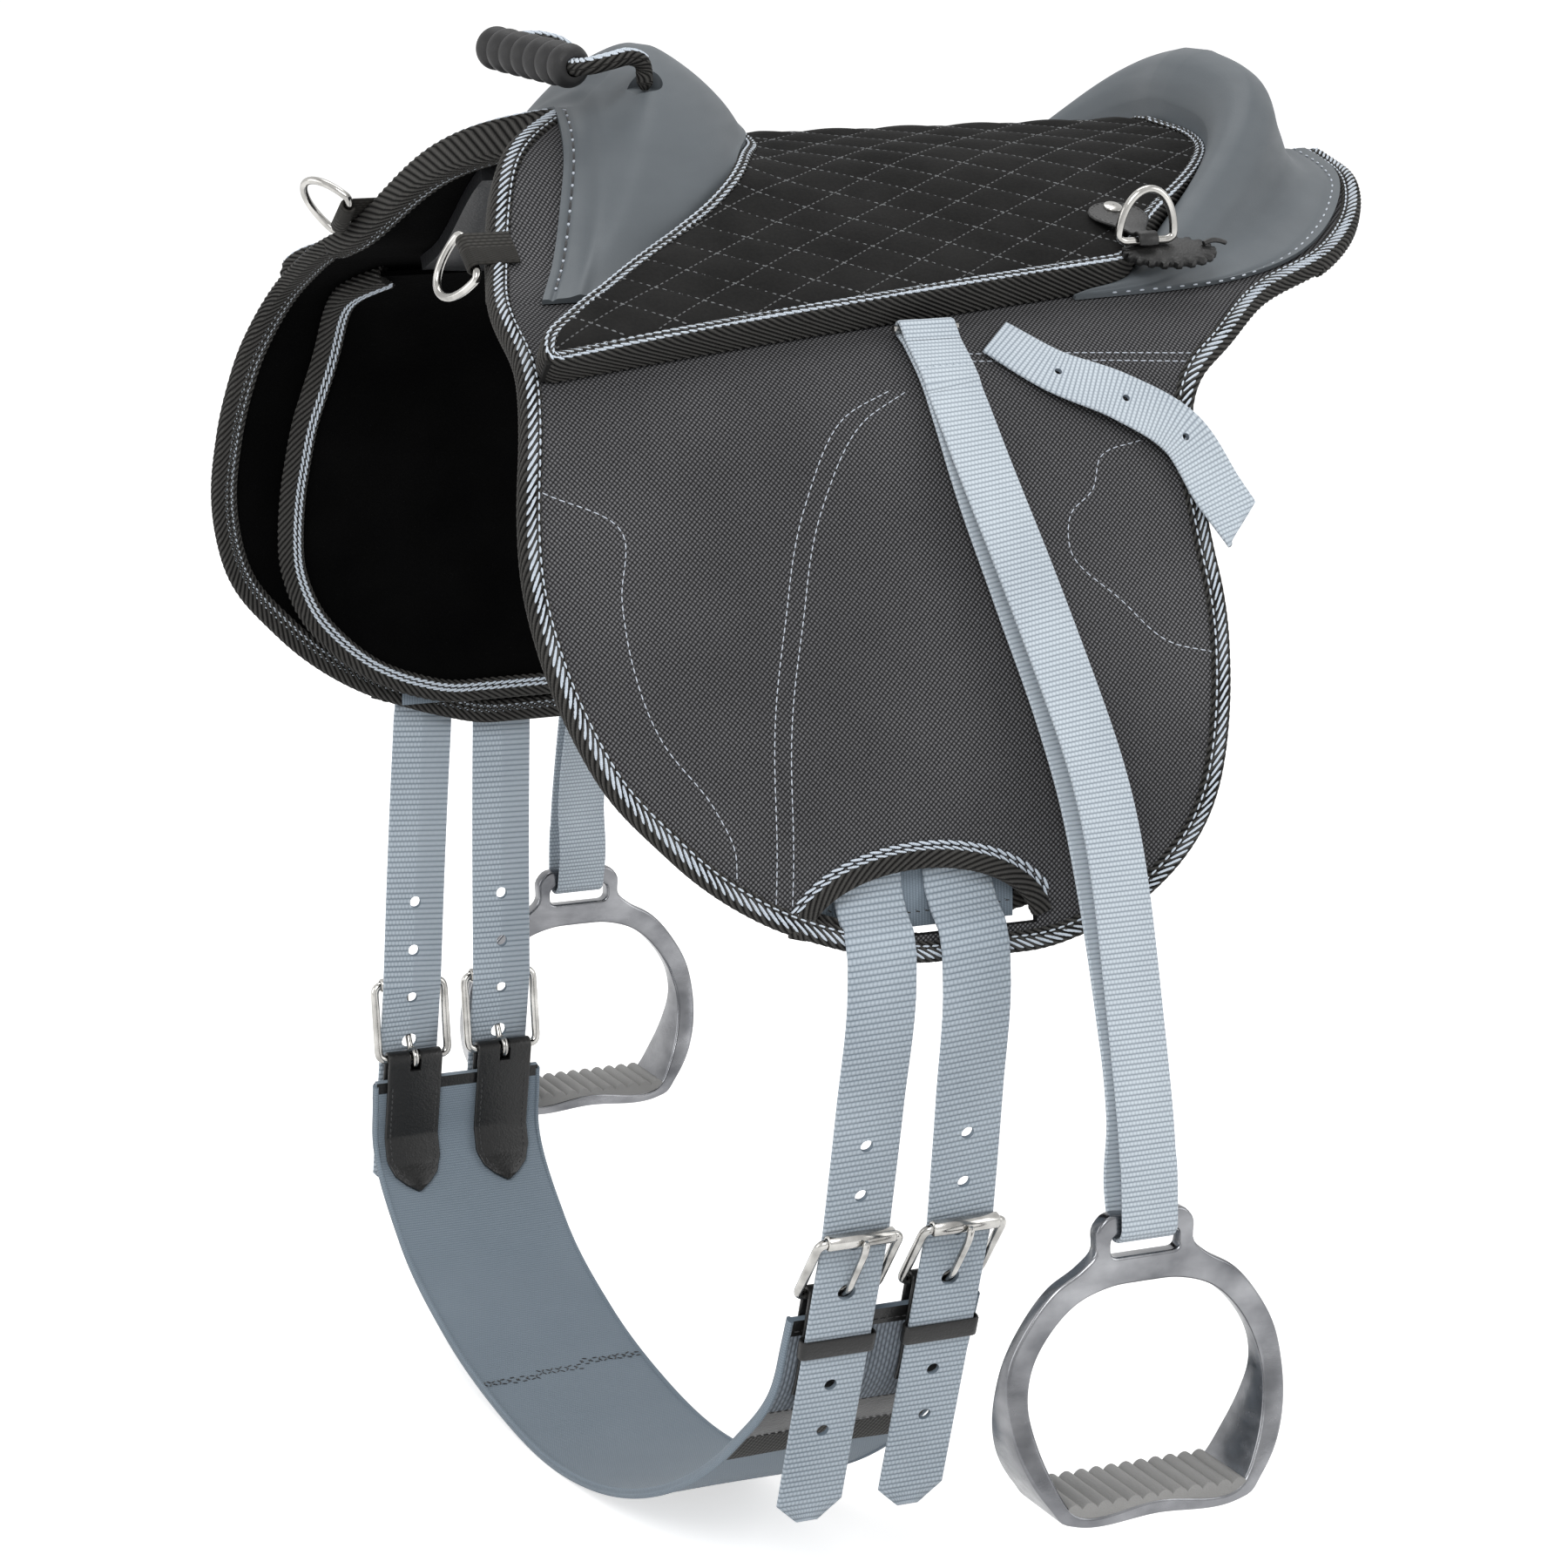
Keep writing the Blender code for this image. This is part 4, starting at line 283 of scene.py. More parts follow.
def on_pad(x, arc, out=0.0):
    """Points this far out from the pad's outer face."""
    x, arc, out = np.broadcast_arrays(np.asarray(x, float), np.asarray(arc, float), np.asarray(out, float))
    y, z, normal_y, normal_z = section(arc)
    lift = ARCH_RISE * ease((x - ARCH_START) / ARCH_RUN) * np.maximum(1 - (arc / ARCH_HALF)**2, 0)**2
    return np.stack([x, y + normal_y * out, z + normal_z * out + lift], -1)


def out_of_pad(arc):
    _, _, normal_y, normal_z = section(arc)
    return np.stack([np.zeros_like(normal_y), normal_y, normal_z], -1)


def facing(x, arc):
    """The true outward normal, which leans with the arch."""
    step = 0.0004
    ahead = on_pad(x + step, arc) - on_pad(x - step, arc)
    over = on_pad(x, arc + step) - on_pad(x, arc - step)
    return unit(np.cross(ahead, over))


def front_edge(arc):
    return FRONT_REACH * np.interp(np.abs(arc) / FLAP_ARC, *FRONT_CURVE)


def rear_edge(arc):
    return -REAR_REACH * np.interp(np.abs(arc) / FLAP_ARC, *REAR_CURVE)


def pad_thickness(arc):
    return np.where(np.abs(arc) > BRIDGE_ARC + GAP / 2, FLAP_THICK,
                    BASE_THICK + (FLAP_THICK * 1.5 - BASE_THICK) * ease(np.abs(arc) / BRIDGE_ARC))


def seat_ends(w):
    """X at the seat's rear and front edges."""
    return (SEAT_REAR * np.interp(np.abs(w), *SEAT_REAR_CURVE), SEAT_FRONT * np.interp(np.abs(w), *SEAT_FRONT_CURVE))


def seat_side(x):
    """The arc at the seat's side edge."""
    return SEAT_ARC + SEAT_SLANT * ((x - SEAT_FOOT) / (SEAT_FRONT - SEAT_FOOT) - 0.5)


def seat_place(u, w):
    """X and arc on the seat: u from its rear to its front edge, w from the off side (-1) to the near (1)."""
    rear, front = seat_ends(w)
    x = rear + (front - rear) * u
    return x, w * seat_side(x)


def seat_share(x, arc):
    """The u and w of a place on the seat."""
    w = arc / seat_side(x)
    rear, front = seat_ends(w)
    return (x - rear) / (front - rear), w


def seat_top(w):
    return SEAT_EDGE_HEIGHT + SEAT_CROWN * (1 - w * w)


SEAT_FRONT_LINE = np.column_stack(seat_place(1, np.linspace(0, 1, 60)))


def pommel_rear(arc):
    return np.interp(np.abs(arc), SEAT_FRONT_LINE[:, 1], SEAT_FRONT_LINE[:, 0]) + POMMEL_CLEAR


def pommel_front(arc):
    return POMMEL_FRONT * read(POMMEL_FRONT_SHARES, np.abs(arc) / POMMEL_ARC)


def pommel_height(u, w):
    rise = POMMEL_STEP_SHARE + (1 - POMMEL_STEP_SHARE) * np.sqrt(1 - (1 - np.clip(u / POMMEL_RISE_SHARE, 0, 1))**2)
    start, stop = POMMEL_FALL_SHARES
    fall = 1 - ease((u - start) / (stop - start))
    full = np.maximum(1 - w * w, 0)
    return FLANGE_THICK + (POMMEL_HEIGHT * full**POMMEL_FALLOFF - FLANGE_THICK * full) * rise * fall


# Materials
def calc(tree, operation, *values):
    made = tree.nodes.new("ShaderNodeMath")
    made.operation = operation
    for socket, value in zip(made.inputs, values):
        if isinstance(value, (int, float)):
            socket.default_value = value
        else:
            tree.links.new(value, socket)
    return made.outputs[0]


def between(tree, share, low, high):
    """A colour between two, or a number between two."""
    if isinstance(low, (int, float)):
        made = tree.nodes.new("ShaderNodeMapRange")
        tree.links.new(share, made.inputs["Value"])
        made.inputs["To Min"].default_value = low
        made.inputs["To Max"].default_value = high
        return made.outputs[0]
    made = tree.nodes.new("ShaderNodeMix")
    made.data_type = "RGBA"
    tree.links.new(share, made.inputs[0])
    for socket, colour in ((6, low), (7, high)):
        if isinstance(colour, tuple):
            made.inputs[socket].default_value = (*colour, 1)
        else:
            tree.links.new(colour, made.inputs[socket])
    return made.outputs[2]


def grain(tree, scale, detail, stretch=(1, 1, 1)):
    """Noise fixed to the piece, in 1/metres."""
    coords = tree.nodes.new("ShaderNodeTexCoord")
    place = tree.nodes.new("ShaderNodeMapping")
    place.inputs["Scale"].default_value = stretch
    tree.links.new(coords.outputs["Object"], place.inputs["Vector"])
    made = tree.nodes.new("ShaderNodeTexNoise")
    made.inputs["Scale"].default_value = scale
    made.inputs["Detail"].default_value = detail
    tree.links.new(place.outputs[0], made.inputs["Vector"])
    return made.outputs[0]


def cells(tree, scale):
    coords = tree.nodes.new("ShaderNodeTexCoord")
    made = tree.nodes.new("ShaderNodeTexVoronoi")
    made.inputs["Scale"].default_value = scale
    tree.links.new(coords.outputs["Object"], made.inputs["Vector"])
    return made.outputs["Distance"]


def weave_place(tree):
    """Distance along and across a cloth, in metres."""
    made = tree.nodes.new("ShaderNodeUVMap")
    made.uv_map = "weave"
    split = tree.nodes.new("ShaderNodeSeparateXYZ")
    tree.links.new(made.outputs[0], split.inputs[0])
    return split.outputs[0], split.outputs[1]


def ridge(tree, place, pitch, power=0.7):
    """Rounded ridges, from 0 in the grooves to 1."""
    wave = calc(tree, "ABSOLUTE", calc(tree, "SINE", calc(tree, "MULTIPLY", place, math.pi / pitch)))
    return calc(tree, "POWER", wave, power)


def new_look(name, roughness=0.7, metallic=0.0, **sockets):
    made = bpy.data.materials.new(name)
    made.use_nodes = True
    shader = made.node_tree.nodes["Principled BSDF"]
    shader.inputs["Roughness"].default_value = roughness
    shader.inputs["Metallic"].default_value = metallic
    for socket, value in sockets.items():
        shader.inputs[socket.replace("_", " ")].default_value = value
    return made, made.node_tree, shader


def finish_look(tree, shader, share, low, high, height, depth, rough):
    tree.links.new(between(tree, share, low, high), shader.inputs["Base Color"])
    tree.links.new(between(tree, *rough), shader.inputs["Roughness"])
    made = tree.nodes.new("ShaderNodeBump")
    made.inputs["Strength"].default_value = 1
    made.inputs["Distance"].default_value = depth
    tree.links.new(height, made.inputs["Height"])
    tree.links.new(made.outputs[0], shader.inputs["Normal"])


def webbing_look(name, low, high, rib, thread, depth=0.00035, lengthwise=False, sheen=0.15):
    """Webbing whose ribs run across it, with fine warp threads over each rib."""
    made, tree, shader = new_look(name, 0.62, Sheen_Weight=sheen, Sheen_Roughness=0.4, Specular_IOR_Level=0.12)
    along, across = weave_place(tree)
    if lengthwise:
        along, across = across, along
    ribs = ridge(tree, along, rib)
    shift = calc(tree, "MULTIPLY", calc(tree, "FLOOR", calc(tree, "DIVIDE", along, rib)), thread / 2)
    threads = ridge(tree, calc(tree, "ADD", across, shift), thread, 1.0)
    height = calc(tree, "MULTIPLY", ribs, calc(tree, "MULTIPLY_ADD", threads, 0.45, 0.55))
    fibre = grain(tree, 2500, 2)
    dirt = grain(tree, 18, 3)
    share = calc(tree, "MULTIPLY_ADD", dirt, 0.35, calc(tree, "MULTIPLY_ADD", height, 0.75, -0.12))
    share = calc(tree, "MULTIPLY_ADD", fibre, 0.15, share)
    finish_look(tree, shader, share, low, high, height, depth, (height, 0.8, 0.52))
    return made


def tape_look():
    """Black tape whose slanting ribs match the relief of its mesh."""
    made, tree, shader = new_look("black_tape", 0.7, Specular_IOR_Level=0.15)
    along, across = weave_place(tree)
    ribs = ridge(tree, calc(tree, "SUBTRACT", along, calc(tree, "MULTIPLY", across, RIB_SLANT)), RIB_PITCH, 1.5)
    threads = ridge(tree, calc(tree, "ADD", along, across), 0.0011, 0.8)
    height = calc(tree, "MULTIPLY", ribs, calc(tree, "MULTIPLY_ADD", threads, 0.25, 0.75))
    share = calc(tree, "MULTIPLY_ADD", grain(tree, 30, 3), 0.3, calc(tree, "MULTIPLY_ADD", height, 0.85, -0.12))
    finish_look(tree, shader, share, (0.0006, 0.0006, 0.0006), (0.075, 0.073, 0.069), height, 0.0004,
                (height, 0.9, 0.6))
    return made


def canvas_look():
    """Coarse twill: small raised dots in slanting rows."""
    made, tree, shader = new_look("canvas_twill", 0.9, Specular_IOR_Level=0.08)
    along, across = weave_place(tree)
    first = ridge(tree, calc(tree, "SUBTRACT", along, across), TWILL_PITCH, 1.2)
    second = ridge(tree, calc(tree, "ADD", along, across), TWILL_PITCH, 1.2)
    height = calc(tree, "MULTIPLY", first, calc(tree, "MULTIPLY_ADD", second, 0.92, 0.08))
    worn = grain(tree, 9, 4)
    fluff = grain(tree, 1400, 2)
    share = calc(tree, "MULTIPLY", height, calc(tree, "MULTIPLY_ADD", worn, 0.7, 0.35))
    share = calc(tree, "MULTIPLY_ADD", fluff, 0.25, calc(tree, "SUBTRACT", share, 0.1))
    finish_look(tree, shader, share, (0.004, 0.004, 0.0045), (0.28, 0.28, 0.292), height, 0.0005, (worn, 0.95, 0.8))
    return made


def soft_look(name, low, high, scale, depth, sheen, roughness):
    """Napped cloth: suede or velvet."""
    made, tree, shader = new_look(name, roughness, Sheen_Weight=sheen, Sheen_Roughness=0.35, Specular_IOR_Level=0.02)
    nap, cloud = grain(tree, scale, 3), grain(tree, 28, 3)
    share = calc(tree, "MULTIPLY_ADD", nap, 0.45, calc(tree, "MULTIPLY_ADD", cloud, 0.9, -0.2))
    finish_look(tree, shader, share, low, high, nap, depth, (cloud, roughness, roughness - 0.08))
    return made


def leather_look(name, low, high, roughness):
    made, tree, shader = new_look(name, roughness, Specular_IOR_Level=0.35, Coat_Weight=0.12, Coat_Roughness=0.3)
    pebble, cloud, pores = cells(tree, 900), grain(tree, 40, 4), grain(tree, 420, 3)
    height = calc(tree, "MULTIPLY_ADD", pores, 0.8, calc(tree, "MULTIPLY", pebble, 0.5))
    finish_look(tree, shader, cloud, low, high, height, 0.00022, (cloud, roughness + 0.12, roughness - 0.12))
    return made


def moulded_look(name, low, high, roughness, depth=0.00006):
    made, tree, shader = new_look(name, roughness, Specular_IOR_Level=0.3)
    cloud, skin, scuff = grain(tree, 14, 4), grain(tree, 1500, 2), grain(tree, 55, 5, (1, 0.35, 2.4))
    share = calc(tree, "MULTIPLY_ADD", scuff, 0.3, calc(tree, "MULTIPLY", cloud, 0.7))
    finish_look(tree, shader, share, low, high, skin, depth, (scuff, roughness + 0.1, roughness - 0.08))
    return made


def metal_look(name, low, high, smooth, dull, scratch_and_reflection_stretch=(1, 1, 1), scale=160, depth=0.00003):
    made, tree, shader = new_look(name, smooth, 1.0)
    # The base colour swings between dark and bright blotches and streaks: painted reflections, standing in for what
    # polished metal mirrors. The lines only roughen and bump it, as scratches
    cloud, lines = grain(tree, scale, 4, scratch_and_reflection_stretch), grain(tree, 160, 4, scratch_and_reflection_stretch)
    share = calc(tree, "MULTIPLY_ADD", cloud, 1.9, -0.45)
    finish_look(tree, shader, share, low, high, lines, depth, (lines, smooth, dull))
    return made


def thread_look(name, low, high):
    made, tree, shader = new_look(name, 0.6, Sheen_Weight=0.3)
    along, _ = weave_place(tree)
    twist = ridge(tree, along, 0.0006, 1.0)
    share = calc(tree, "MULTIPLY_ADD", grain(tree, 600, 2), 0.5, calc(tree, "MULTIPLY", twist, 0.5))
    finish_look(tree, shader, share, low, high, twist, 0.00012, (share, 0.7, 0.5))
    return made


LOOKS = {
    "canvas": canvas_look(),
    "velvet": soft_look("lining_velvet", (0.0006, 0.0006, 0.0007), (0.0035, 0.0035, 0.0035), 900, 0.0003, 0.01, 0.97),
    "suede": soft_look("seat_suede", (0.009, 0.009, 0.009), (0.032, 0.0315, 0.031), 700, 0.00025, 0.04, 0.94),
    "leather": leather_look("black_leather", (0.004, 0.004, 0.004), (0.013, 0.013, 0.013), 0.40),
    "bolster": leather_look("bolster_leather", (0.007, 0.007, 0.008), (0.016, 0.017, 0.019), 0.38),
    "moulding": moulded_look("moulded_grey", (0.082, 0.094, 0.104), (0.132, 0.149, 0.163), 0.52),
    "grip": moulded_look("grip_rubber", (0.010, 0.010, 0.0105), (0.026, 0.026, 0.027), 0.5, 0.00012),
    "tape": tape_look(),
    "braid": thread_look("light_braid", (0.36, 0.43, 0.52), (0.78, 0.85, 0.93)),
    "stitch": thread_look("light_stitch", (0.42, 0.47, 0.56), (0.70, 0.75, 0.82)),
    "quilt_stitch": thread_look("quilt_stitch", (0.07, 0.075, 0.08), (0.20, 0.21, 0.22)),
    "shaded_stitch": thread_look("shaded_stitch", (0.025, 0.026, 0.028), (0.09, 0.095, 0.10)),
    "dark_stitch": thread_look("dark_stitch", (0.006, 0.006, 0.007), (0.020, 0.020, 0.022)),
    "strap": webbing_look("strap_webbing", (0.18, 0.22, 0.27), (0.68, 0.75, 0.81), 0.0020, 0.0016),
    "billet": webbing_look("billet_webbing", (0.13, 0.17, 0.21), (0.57, 0.64, 0.71), 0.0026, 0.0018, 0.0004),
    "girth": webbing_look("girth_cloth", (0.13, 0.17, 0.21), (0.26, 0.31, 0.36), 0.0013, 0.0010, 0.00015),
    "girth_ribs": webbing_look("girth_ribs", (0.02, 0.025, 0.03), (0.30, 0.34, 0.39), 0.0019, 0.004, 0.0003, True),
    "black_ribs": webbing_look("black_webbing", (0.002, 0.002, 0.002), (0.045, 0.043, 0.039), 0.0019, 0.003, 0.0003,
                               True, 0.02),
    # Both metals carry painted reflections in their base colour, as metal_look makes them
    "steel": metal_look("bright_steel", (0.20, 0.195, 0.185), (0.62, 0.61, 0.585), 0.10, 0.24, scale=90),
    "iron": metal_look("cast_iron_metal", (0.085, 0.088, 0.097), (0.34, 0.345, 0.36), 0.14, 0.34, (1, 1, 1.6), 32,
                       0.00008),
    "tread": moulded_look("tread_grip", (0.20, 0.20, 0.195), (0.36, 0.355, 0.35), 0.6, 0.0003),
}


# Meshes
def placed(name, data):
    made = bpy.data.objects.new(name, data)
    bpy.context.scene.collection.objects.link(made)
    return made


def declared(name, mesh, angle, body, replaces):
    """A finished mesh as a piece of the part."""
    mesh.shade_smooth()
    mesh.set_sharp_from_angle(angle=math.radians(angle))
    made = placed(name, mesh)
    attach(made, body)
    if replaces:
        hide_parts(*([replaces] if isinstance(replaces, str) else replaces))
    return made


class Piece:
    """Mesh parts gathered into one piece of the scene."""

    def __init__(self):
        self.verts, self.faces, self.uvs, self.looks, self.count = [], [], [], [], 0

    def add(self, verts, faces, uvs, look=0):
        verts = np.asarray(verts, float).reshape(-1, 3)
        self.verts.append(verts)
        self.uvs.append(np.asarray(uvs, float).reshape(-1, 2))
        self.faces += [tuple(int(i) + self.count for i in face) for face in faces]
        self.looks += [look] * len(faces) if isinstance(look, int) else list(look)
        self.count += len(verts)

    def make(self, name, looks, body, slot, replaces=(), angle=50):
        mesh = bpy.data.meshes.new(name)
        mesh.from_pydata(np.vstack(self.verts), [], self.faces)
        for look in looks:
            mesh.materials.append(LOOKS[look])
        mesh.polygons.foreach_set("material_index", np.array(self.looks, np.int32))
        shape = bmesh.new()
        shape.from_mesh(mesh)
        bmesh.ops.recalc_face_normals(shape, faces=shape.faces[:])
        shape.to_mesh(mesh)
        shape.free()
        corners = np.zeros(len(mesh.loops), np.int32)
        mesh.loops.foreach_get("vertex_index", corners)
        uvs = np.vstack(self.uvs)[corners].astype(np.float32)
        mesh.uv_layers.new(name="weave").uv.foreach_set("vector", uvs.ravel())
        return declared(name, mesh, angle, body, replaces)


def grid_faces(rows, columns, closed_rows=False, closed_columns=False):
    """Quads of a grid of points, row by row."""
    i, j = np.meshgrid(np.arange(rows - (not closed_rows)), np.arange(columns - (not closed_columns)), indexing="ij")
    i, j = i.ravel(), j.ravel()
    i_next, j_next = (i + 1) % rows, (j + 1) % columns
    return np.column_stack([i * columns + j, i_next * columns + j, i_next * columns + j_next, i * columns + j_next])


def slab(piece, outer, inner, uv, look=0, inner_look=None, inside_out=False):
    """A closed sheet from two grids of points, (rows, columns, 3)."""
    rows, columns = outer.shape[:2]
    top = grid_faces(rows, columns)
    under = top[:, ::-1] + rows * columns
    ring = np.r_[np.arange(columns), np.arange(1, rows) * columns + columns - 1,
                 (rows - 1) * columns + np.arange(columns - 2, -1, -1), np.arange(rows - 2, 0, -1) * columns]
    after = np.roll(ring, -1)
    wall = np.column_stack([ring, after, after + rows * columns, ring + rows * columns])
    faces = np.vstack([top, under, wall])
    if inside_out:
        faces = faces[:, ::-1]
    other = look if inner_look is None else inner_look
    looks = [look] * len(top) + [other] * len(under) + [look] * len(wall)
    piece.add(np.concatenate([outer.reshape(-1, 3), inner.reshape(-1, 3)]), faces,
              np.concatenate([uv.reshape(-1, 2)] * 2), looks)


class Line:
    """A path with its outward direction and the direction across it."""

    def __init__(self, points, outs, step, closed=False):
        joined = even(np.column_stack([points, outs]), step=step, closed=closed)
        self.points, outs, self.closed = joined[:, :3], joined[:, 3:6], closed
        if closed:
            around = np.vstack([self.points[-2:], self.points, self.points[:2]])
            self.slopes = unit(np.gradient(around, axis=0)[2:-2])
            gaps = np.linalg.norm(np.diff(np.vstack([self.points, self.points[:1]]), axis=0), axis=1)
        else:
            self.slopes = unit(np.gradient(self.points, axis=0))
            gaps = np.r_[np.linalg.norm(np.diff(self.points, axis=0), axis=1), 0]
        self.across = unit(np.cross(self.slopes, outs))
        self.outs = np.cross(self.across, self.slopes)
        self.run = np.r_[0, np.cumsum(gaps)[:-1]]
        self.length = float(gaps.sum())

    def at(self, places):
        """Points, slopes, across and outs at distances along the line."""
        table = np.column_stack([self.points, self.slopes, self.across, self.outs])
        run = self.run
        if self.closed:
            table, run = np.vstack([table, table[:1]]), np.r_[run, self.length]
        made = np.column_stack([np.interp(places, run, column) for column in table.T])
        return [made[:, k:k + 3] if k == 0 else unit(made[:, k:k + 3]) for k in (0, 3, 6, 9)]


def pad_line(flat, out, step, closed=False, smooth=0):
    """A line on the pad through (x, arc) places."""
    flat = np.asarray(flat, float)
    if smooth:
        flat = curve_through(flat, smooth)
    return Line(on_pad(flat[:, 0], flat[:, 1], out), facing(flat[:, 0], flat[:, 1]), step, closed)


def sweep(piece, line, profile, ribs=0.0, rib_pitch=RIB_PITCH, slant=RIB_SLANT, widths=None):
    """A closed profile of (across, out) along a line. Ribs stand out from it, slanting along it."""
    profile = np.asarray(profile, float)
    count = len(line.points)
    if profile.ndim == 2:
        profile = np.broadcast_to(profile, (count, *profile.shape))
    if ribs:
        profile = finer(profile, rib_pitch / 5)
    if widths is not None:
        profile = profile * np.stack([widths, np.ones(count)], -1)[:, None]
    edge = np.linalg.norm(np.roll(profile, -1, 1) - profile, axis=2).mean(0, keepdims=True).repeat(count, 0)
    around = np.concatenate([np.zeros((count, 1)), np.cumsum(edge, 1)[:, :-1]], 1)
    if ribs:
        turn = np.roll(profile, -1, 1) - np.roll(profile, 1, 1)
        after = np.roll(profile, -1, 1)
        area = (profile[..., 0] * after[..., 1] - after[..., 0] * profile[..., 1]).sum(1)
        away = unit(np.stack([turn[..., 1], -turn[..., 0]], -1)) * np.sign(area)[:, None, None]
        wave = np.abs(np.sin(math.pi * (line.run[:, None] - slant * around) / rib_pitch))
        profile = profile + away * (ribs * wave)[..., None]
    verts = (line.points[:, None] + line.across[:, None] * profile[..., :1] + line.outs[:, None] * profile[..., 1:])
    faces = [tuple(f) for f in grid_faces(count, profile.shape[1], line.closed, True)]
    if not line.closed:
        faces += [tuple(range(profile.shape[1]))[::-1],
                  tuple(range((count - 1) * profile.shape[1], count * profile.shape[1]))]
    uvs = np.stack([np.broadcast_to(line.run[:, None], around.shape), around], -1)
    piece.add(verts, [f[::-1] for f in faces], uvs)


def swept(line, profile, **options):
    piece = Piece()
    sweep(piece, line, profile, **options)
    return piece


def finer(profile, step):
    """The same profiles with more points between the corners."""
    following = np.roll(profile, -1, 1)
    parts = []
    for k in range(profile.shape[1]):
        count = max(int(np.ceil(np.linalg.norm(following[:, k] - profile[:, k], axis=1).mean() / step)), 1)
        for t in np.arange(count) / count:
            parts.append(profile[:, k] * (1 - t) + following[:, k] * t)
    return np.stack(parts, 1)


def strip_profile(width, thick, rounds=3):
    """A flat band's profile with rounded edges."""
    radius = thick / 2
    turns = np.linspace(-math.pi / 2, math.pi / 2, 2 * rounds - 1)
    right = [(width / 2 - radius + radius * math.cos(t), radius * math.sin(t)) for t in turns]
    return np.array(right + [(0, radius)] + [(-x, y) for x, y in right[::-1]] + [(0, -radius)])


def round_profile(radius, sides):
    turns = circle(sides)
    return np.column_stack([radius * np.cos(turns), radius * np.sin(turns)])


BAR_RINGS = ((-0.42, 0.62), (-0.2, 0.96), (0.2, 0.96), (0.42, 0.62))


def bar_shape(sides=5):
    turns = circle(sides)
    verts = [(-0.5, 0, 0)] + [(x, r / 2 * math.cos(t), r / 2 * math.sin(t)) for x, r in BAR_RINGS for t in turns]
    verts.append((0.5, 0, 0))
    faces = [(0, 1 + (k + 1) % sides, 1 + k) for k in range(sides)]
    for ring in range(len(BAR_RINGS) - 1):
        base = 1 + ring * sides
        faces += [(base + k, base + (k + 1) % sides, base + sides + (k + 1) % sides, base + sides + k)
                  for k in range(sides)]
    base, last = 1 + (len(BAR_RINGS) - 1) * sides, len(verts) - 1
    faces += [(base + k, base + (k + 1) % sides, last) for k in range(sides)]
    return np.array(verts), faces


BAR_VERTS, BAR_FACES = bar_shape()


def bars(piece, line, pitch, size, slant=0.0, across=0.0, out=0.0, look=0, start=0.5, ends=(0, 0)):
    """Small rounded bars along a line: stitches, or the strands of a braid."""
    count = int((line.length - ends[0] - ends[1]) / pitch)
    if count < 1:
        return
    places = ends[0] + (np.arange(count) + start) * (line.length - ends[0] - ends[1]) / count
    points, slopes, sideways, outs = line.at(places)
    along = slopes * math.cos(slant) + sideways * math.sin(slant)
    level = sideways * math.cos(slant) - slopes * math.sin(slant)
    local = BAR_VERTS * np.array(size)
    verts = (points + sideways * across + outs * out)[:, None] + (
        along[:, None] * local[None, :, :1] + level[:, None] * local[None, :, 1:2] + outs[:, None] * local[None, :, 2:])
    uvs = np.broadcast_to(local[None, :, :2], (count, len(local), 2))
    faces = [tuple(i + n * len(local) for i in face) for n in range(count) for face in BAR_FACES]
    piece.add(verts, faces, uvs, look)


def twin_braid(piece, line, across, out, ends=(0, 0)):
    for n, place in enumerate((-0.5, 0.5)):
        bars(piece, line, across=across + place * TWIN_APART, out=out, start=0.5 * n, ends=ends, **TWIN_BRAID)


def braid(name, line, across, out, ends=(0, 0)):
    piece = Piece()
    twin_braid(piece, line, across, out, ends)
    piece.make(name, ["braid"], "pad", "rope")


def tape(name, line, profile, way=1):
    """Ribbed black tape along a line. Its profile is mirrored where way is -1."""
    profile = np.asarray(profile, float) * np.array((way, 1))
    piece = swept(line, profile if way > 0 else profile[..., ::-1, :], ribs=RIB_HEIGHT)
    piece.make(name, ["tape"], "pad", "webbing")


def tape_profile(spots, thick):
    """A tape's profile at each point of an edge, from (across, out, share of the thickness)."""
    thick = np.asarray(thick, float)[:, None]
    one = np.ones_like(thick)
    return np.stack([np.concatenate([one * across, out - thick * share], 1) for across, out, share in spots], 1)


def applied(target):
    """Turns an object's modifiers into its mesh."""
    seen = target.evaluated_get(bpy.context.evaluated_depsgraph_get())
    mesh = bpy.data.meshes.new_from_object(seen)
    target.modifiers.clear()
    target.data = mesh
    return target


def cut(target, verts, faces):
    """Cuts a closed shape out of a piece."""
    shape = bmesh.new()
    made = [shape.verts.new(v) for v in verts]
    for face in faces:
        shape.faces.new([made[i] for i in face])
    bmesh.ops.recalc_face_normals(shape, faces=shape.faces[:])
    mesh = bpy.data.meshes.new("cutter")
    shape.to_mesh(mesh)
    shape.free()
    tool = placed("cutter", mesh)
    change = target.modifiers.new("cut", "BOOLEAN")
    change.object, change.operation, change.solver = tool, "DIFFERENCE", "EXACT"
    applied(target)
    bpy.data.objects.remove(tool)
    return target


def prism(outline, direction, depth):
    """Verts and faces of an outline pushed both ways."""
    outline = np.asarray(outline, float)
    count = len(outline)
    direction = np.asarray(direction, float) * depth / 2
    verts = np.vstack([outline - direction, outline + direction])
    faces = [tuple(range(count))[::-1], tuple(range(count, 2 * count))]
    faces += [(k, (k + 1) % count, (k + 1) % count + count, k + count) for k in range(count)]
    return verts, faces


def axes(direction):
    """A direction and two more, all square to each other."""
    direction = unit(np.asarray(direction, float))
    side = unit(np.cross(direction, AHEAD if abs(direction[0]) < 0.8 else UP))
    return direction, side, np.cross(direction, side)


def oblong(middle, wide, deep):
    return [middle - wide - deep, middle + wide - deep, middle + wide + deep, middle - wide + deep]


def drill(radius, place, direction, depth, sides=16):
    direction, side, level = axes(direction)
    ring = [np.asarray(place) + side * (radius * math.cos(t)) + level * (radius * math.sin(t)) for t in circle(sides)]
    return prism(ring, direction, depth)


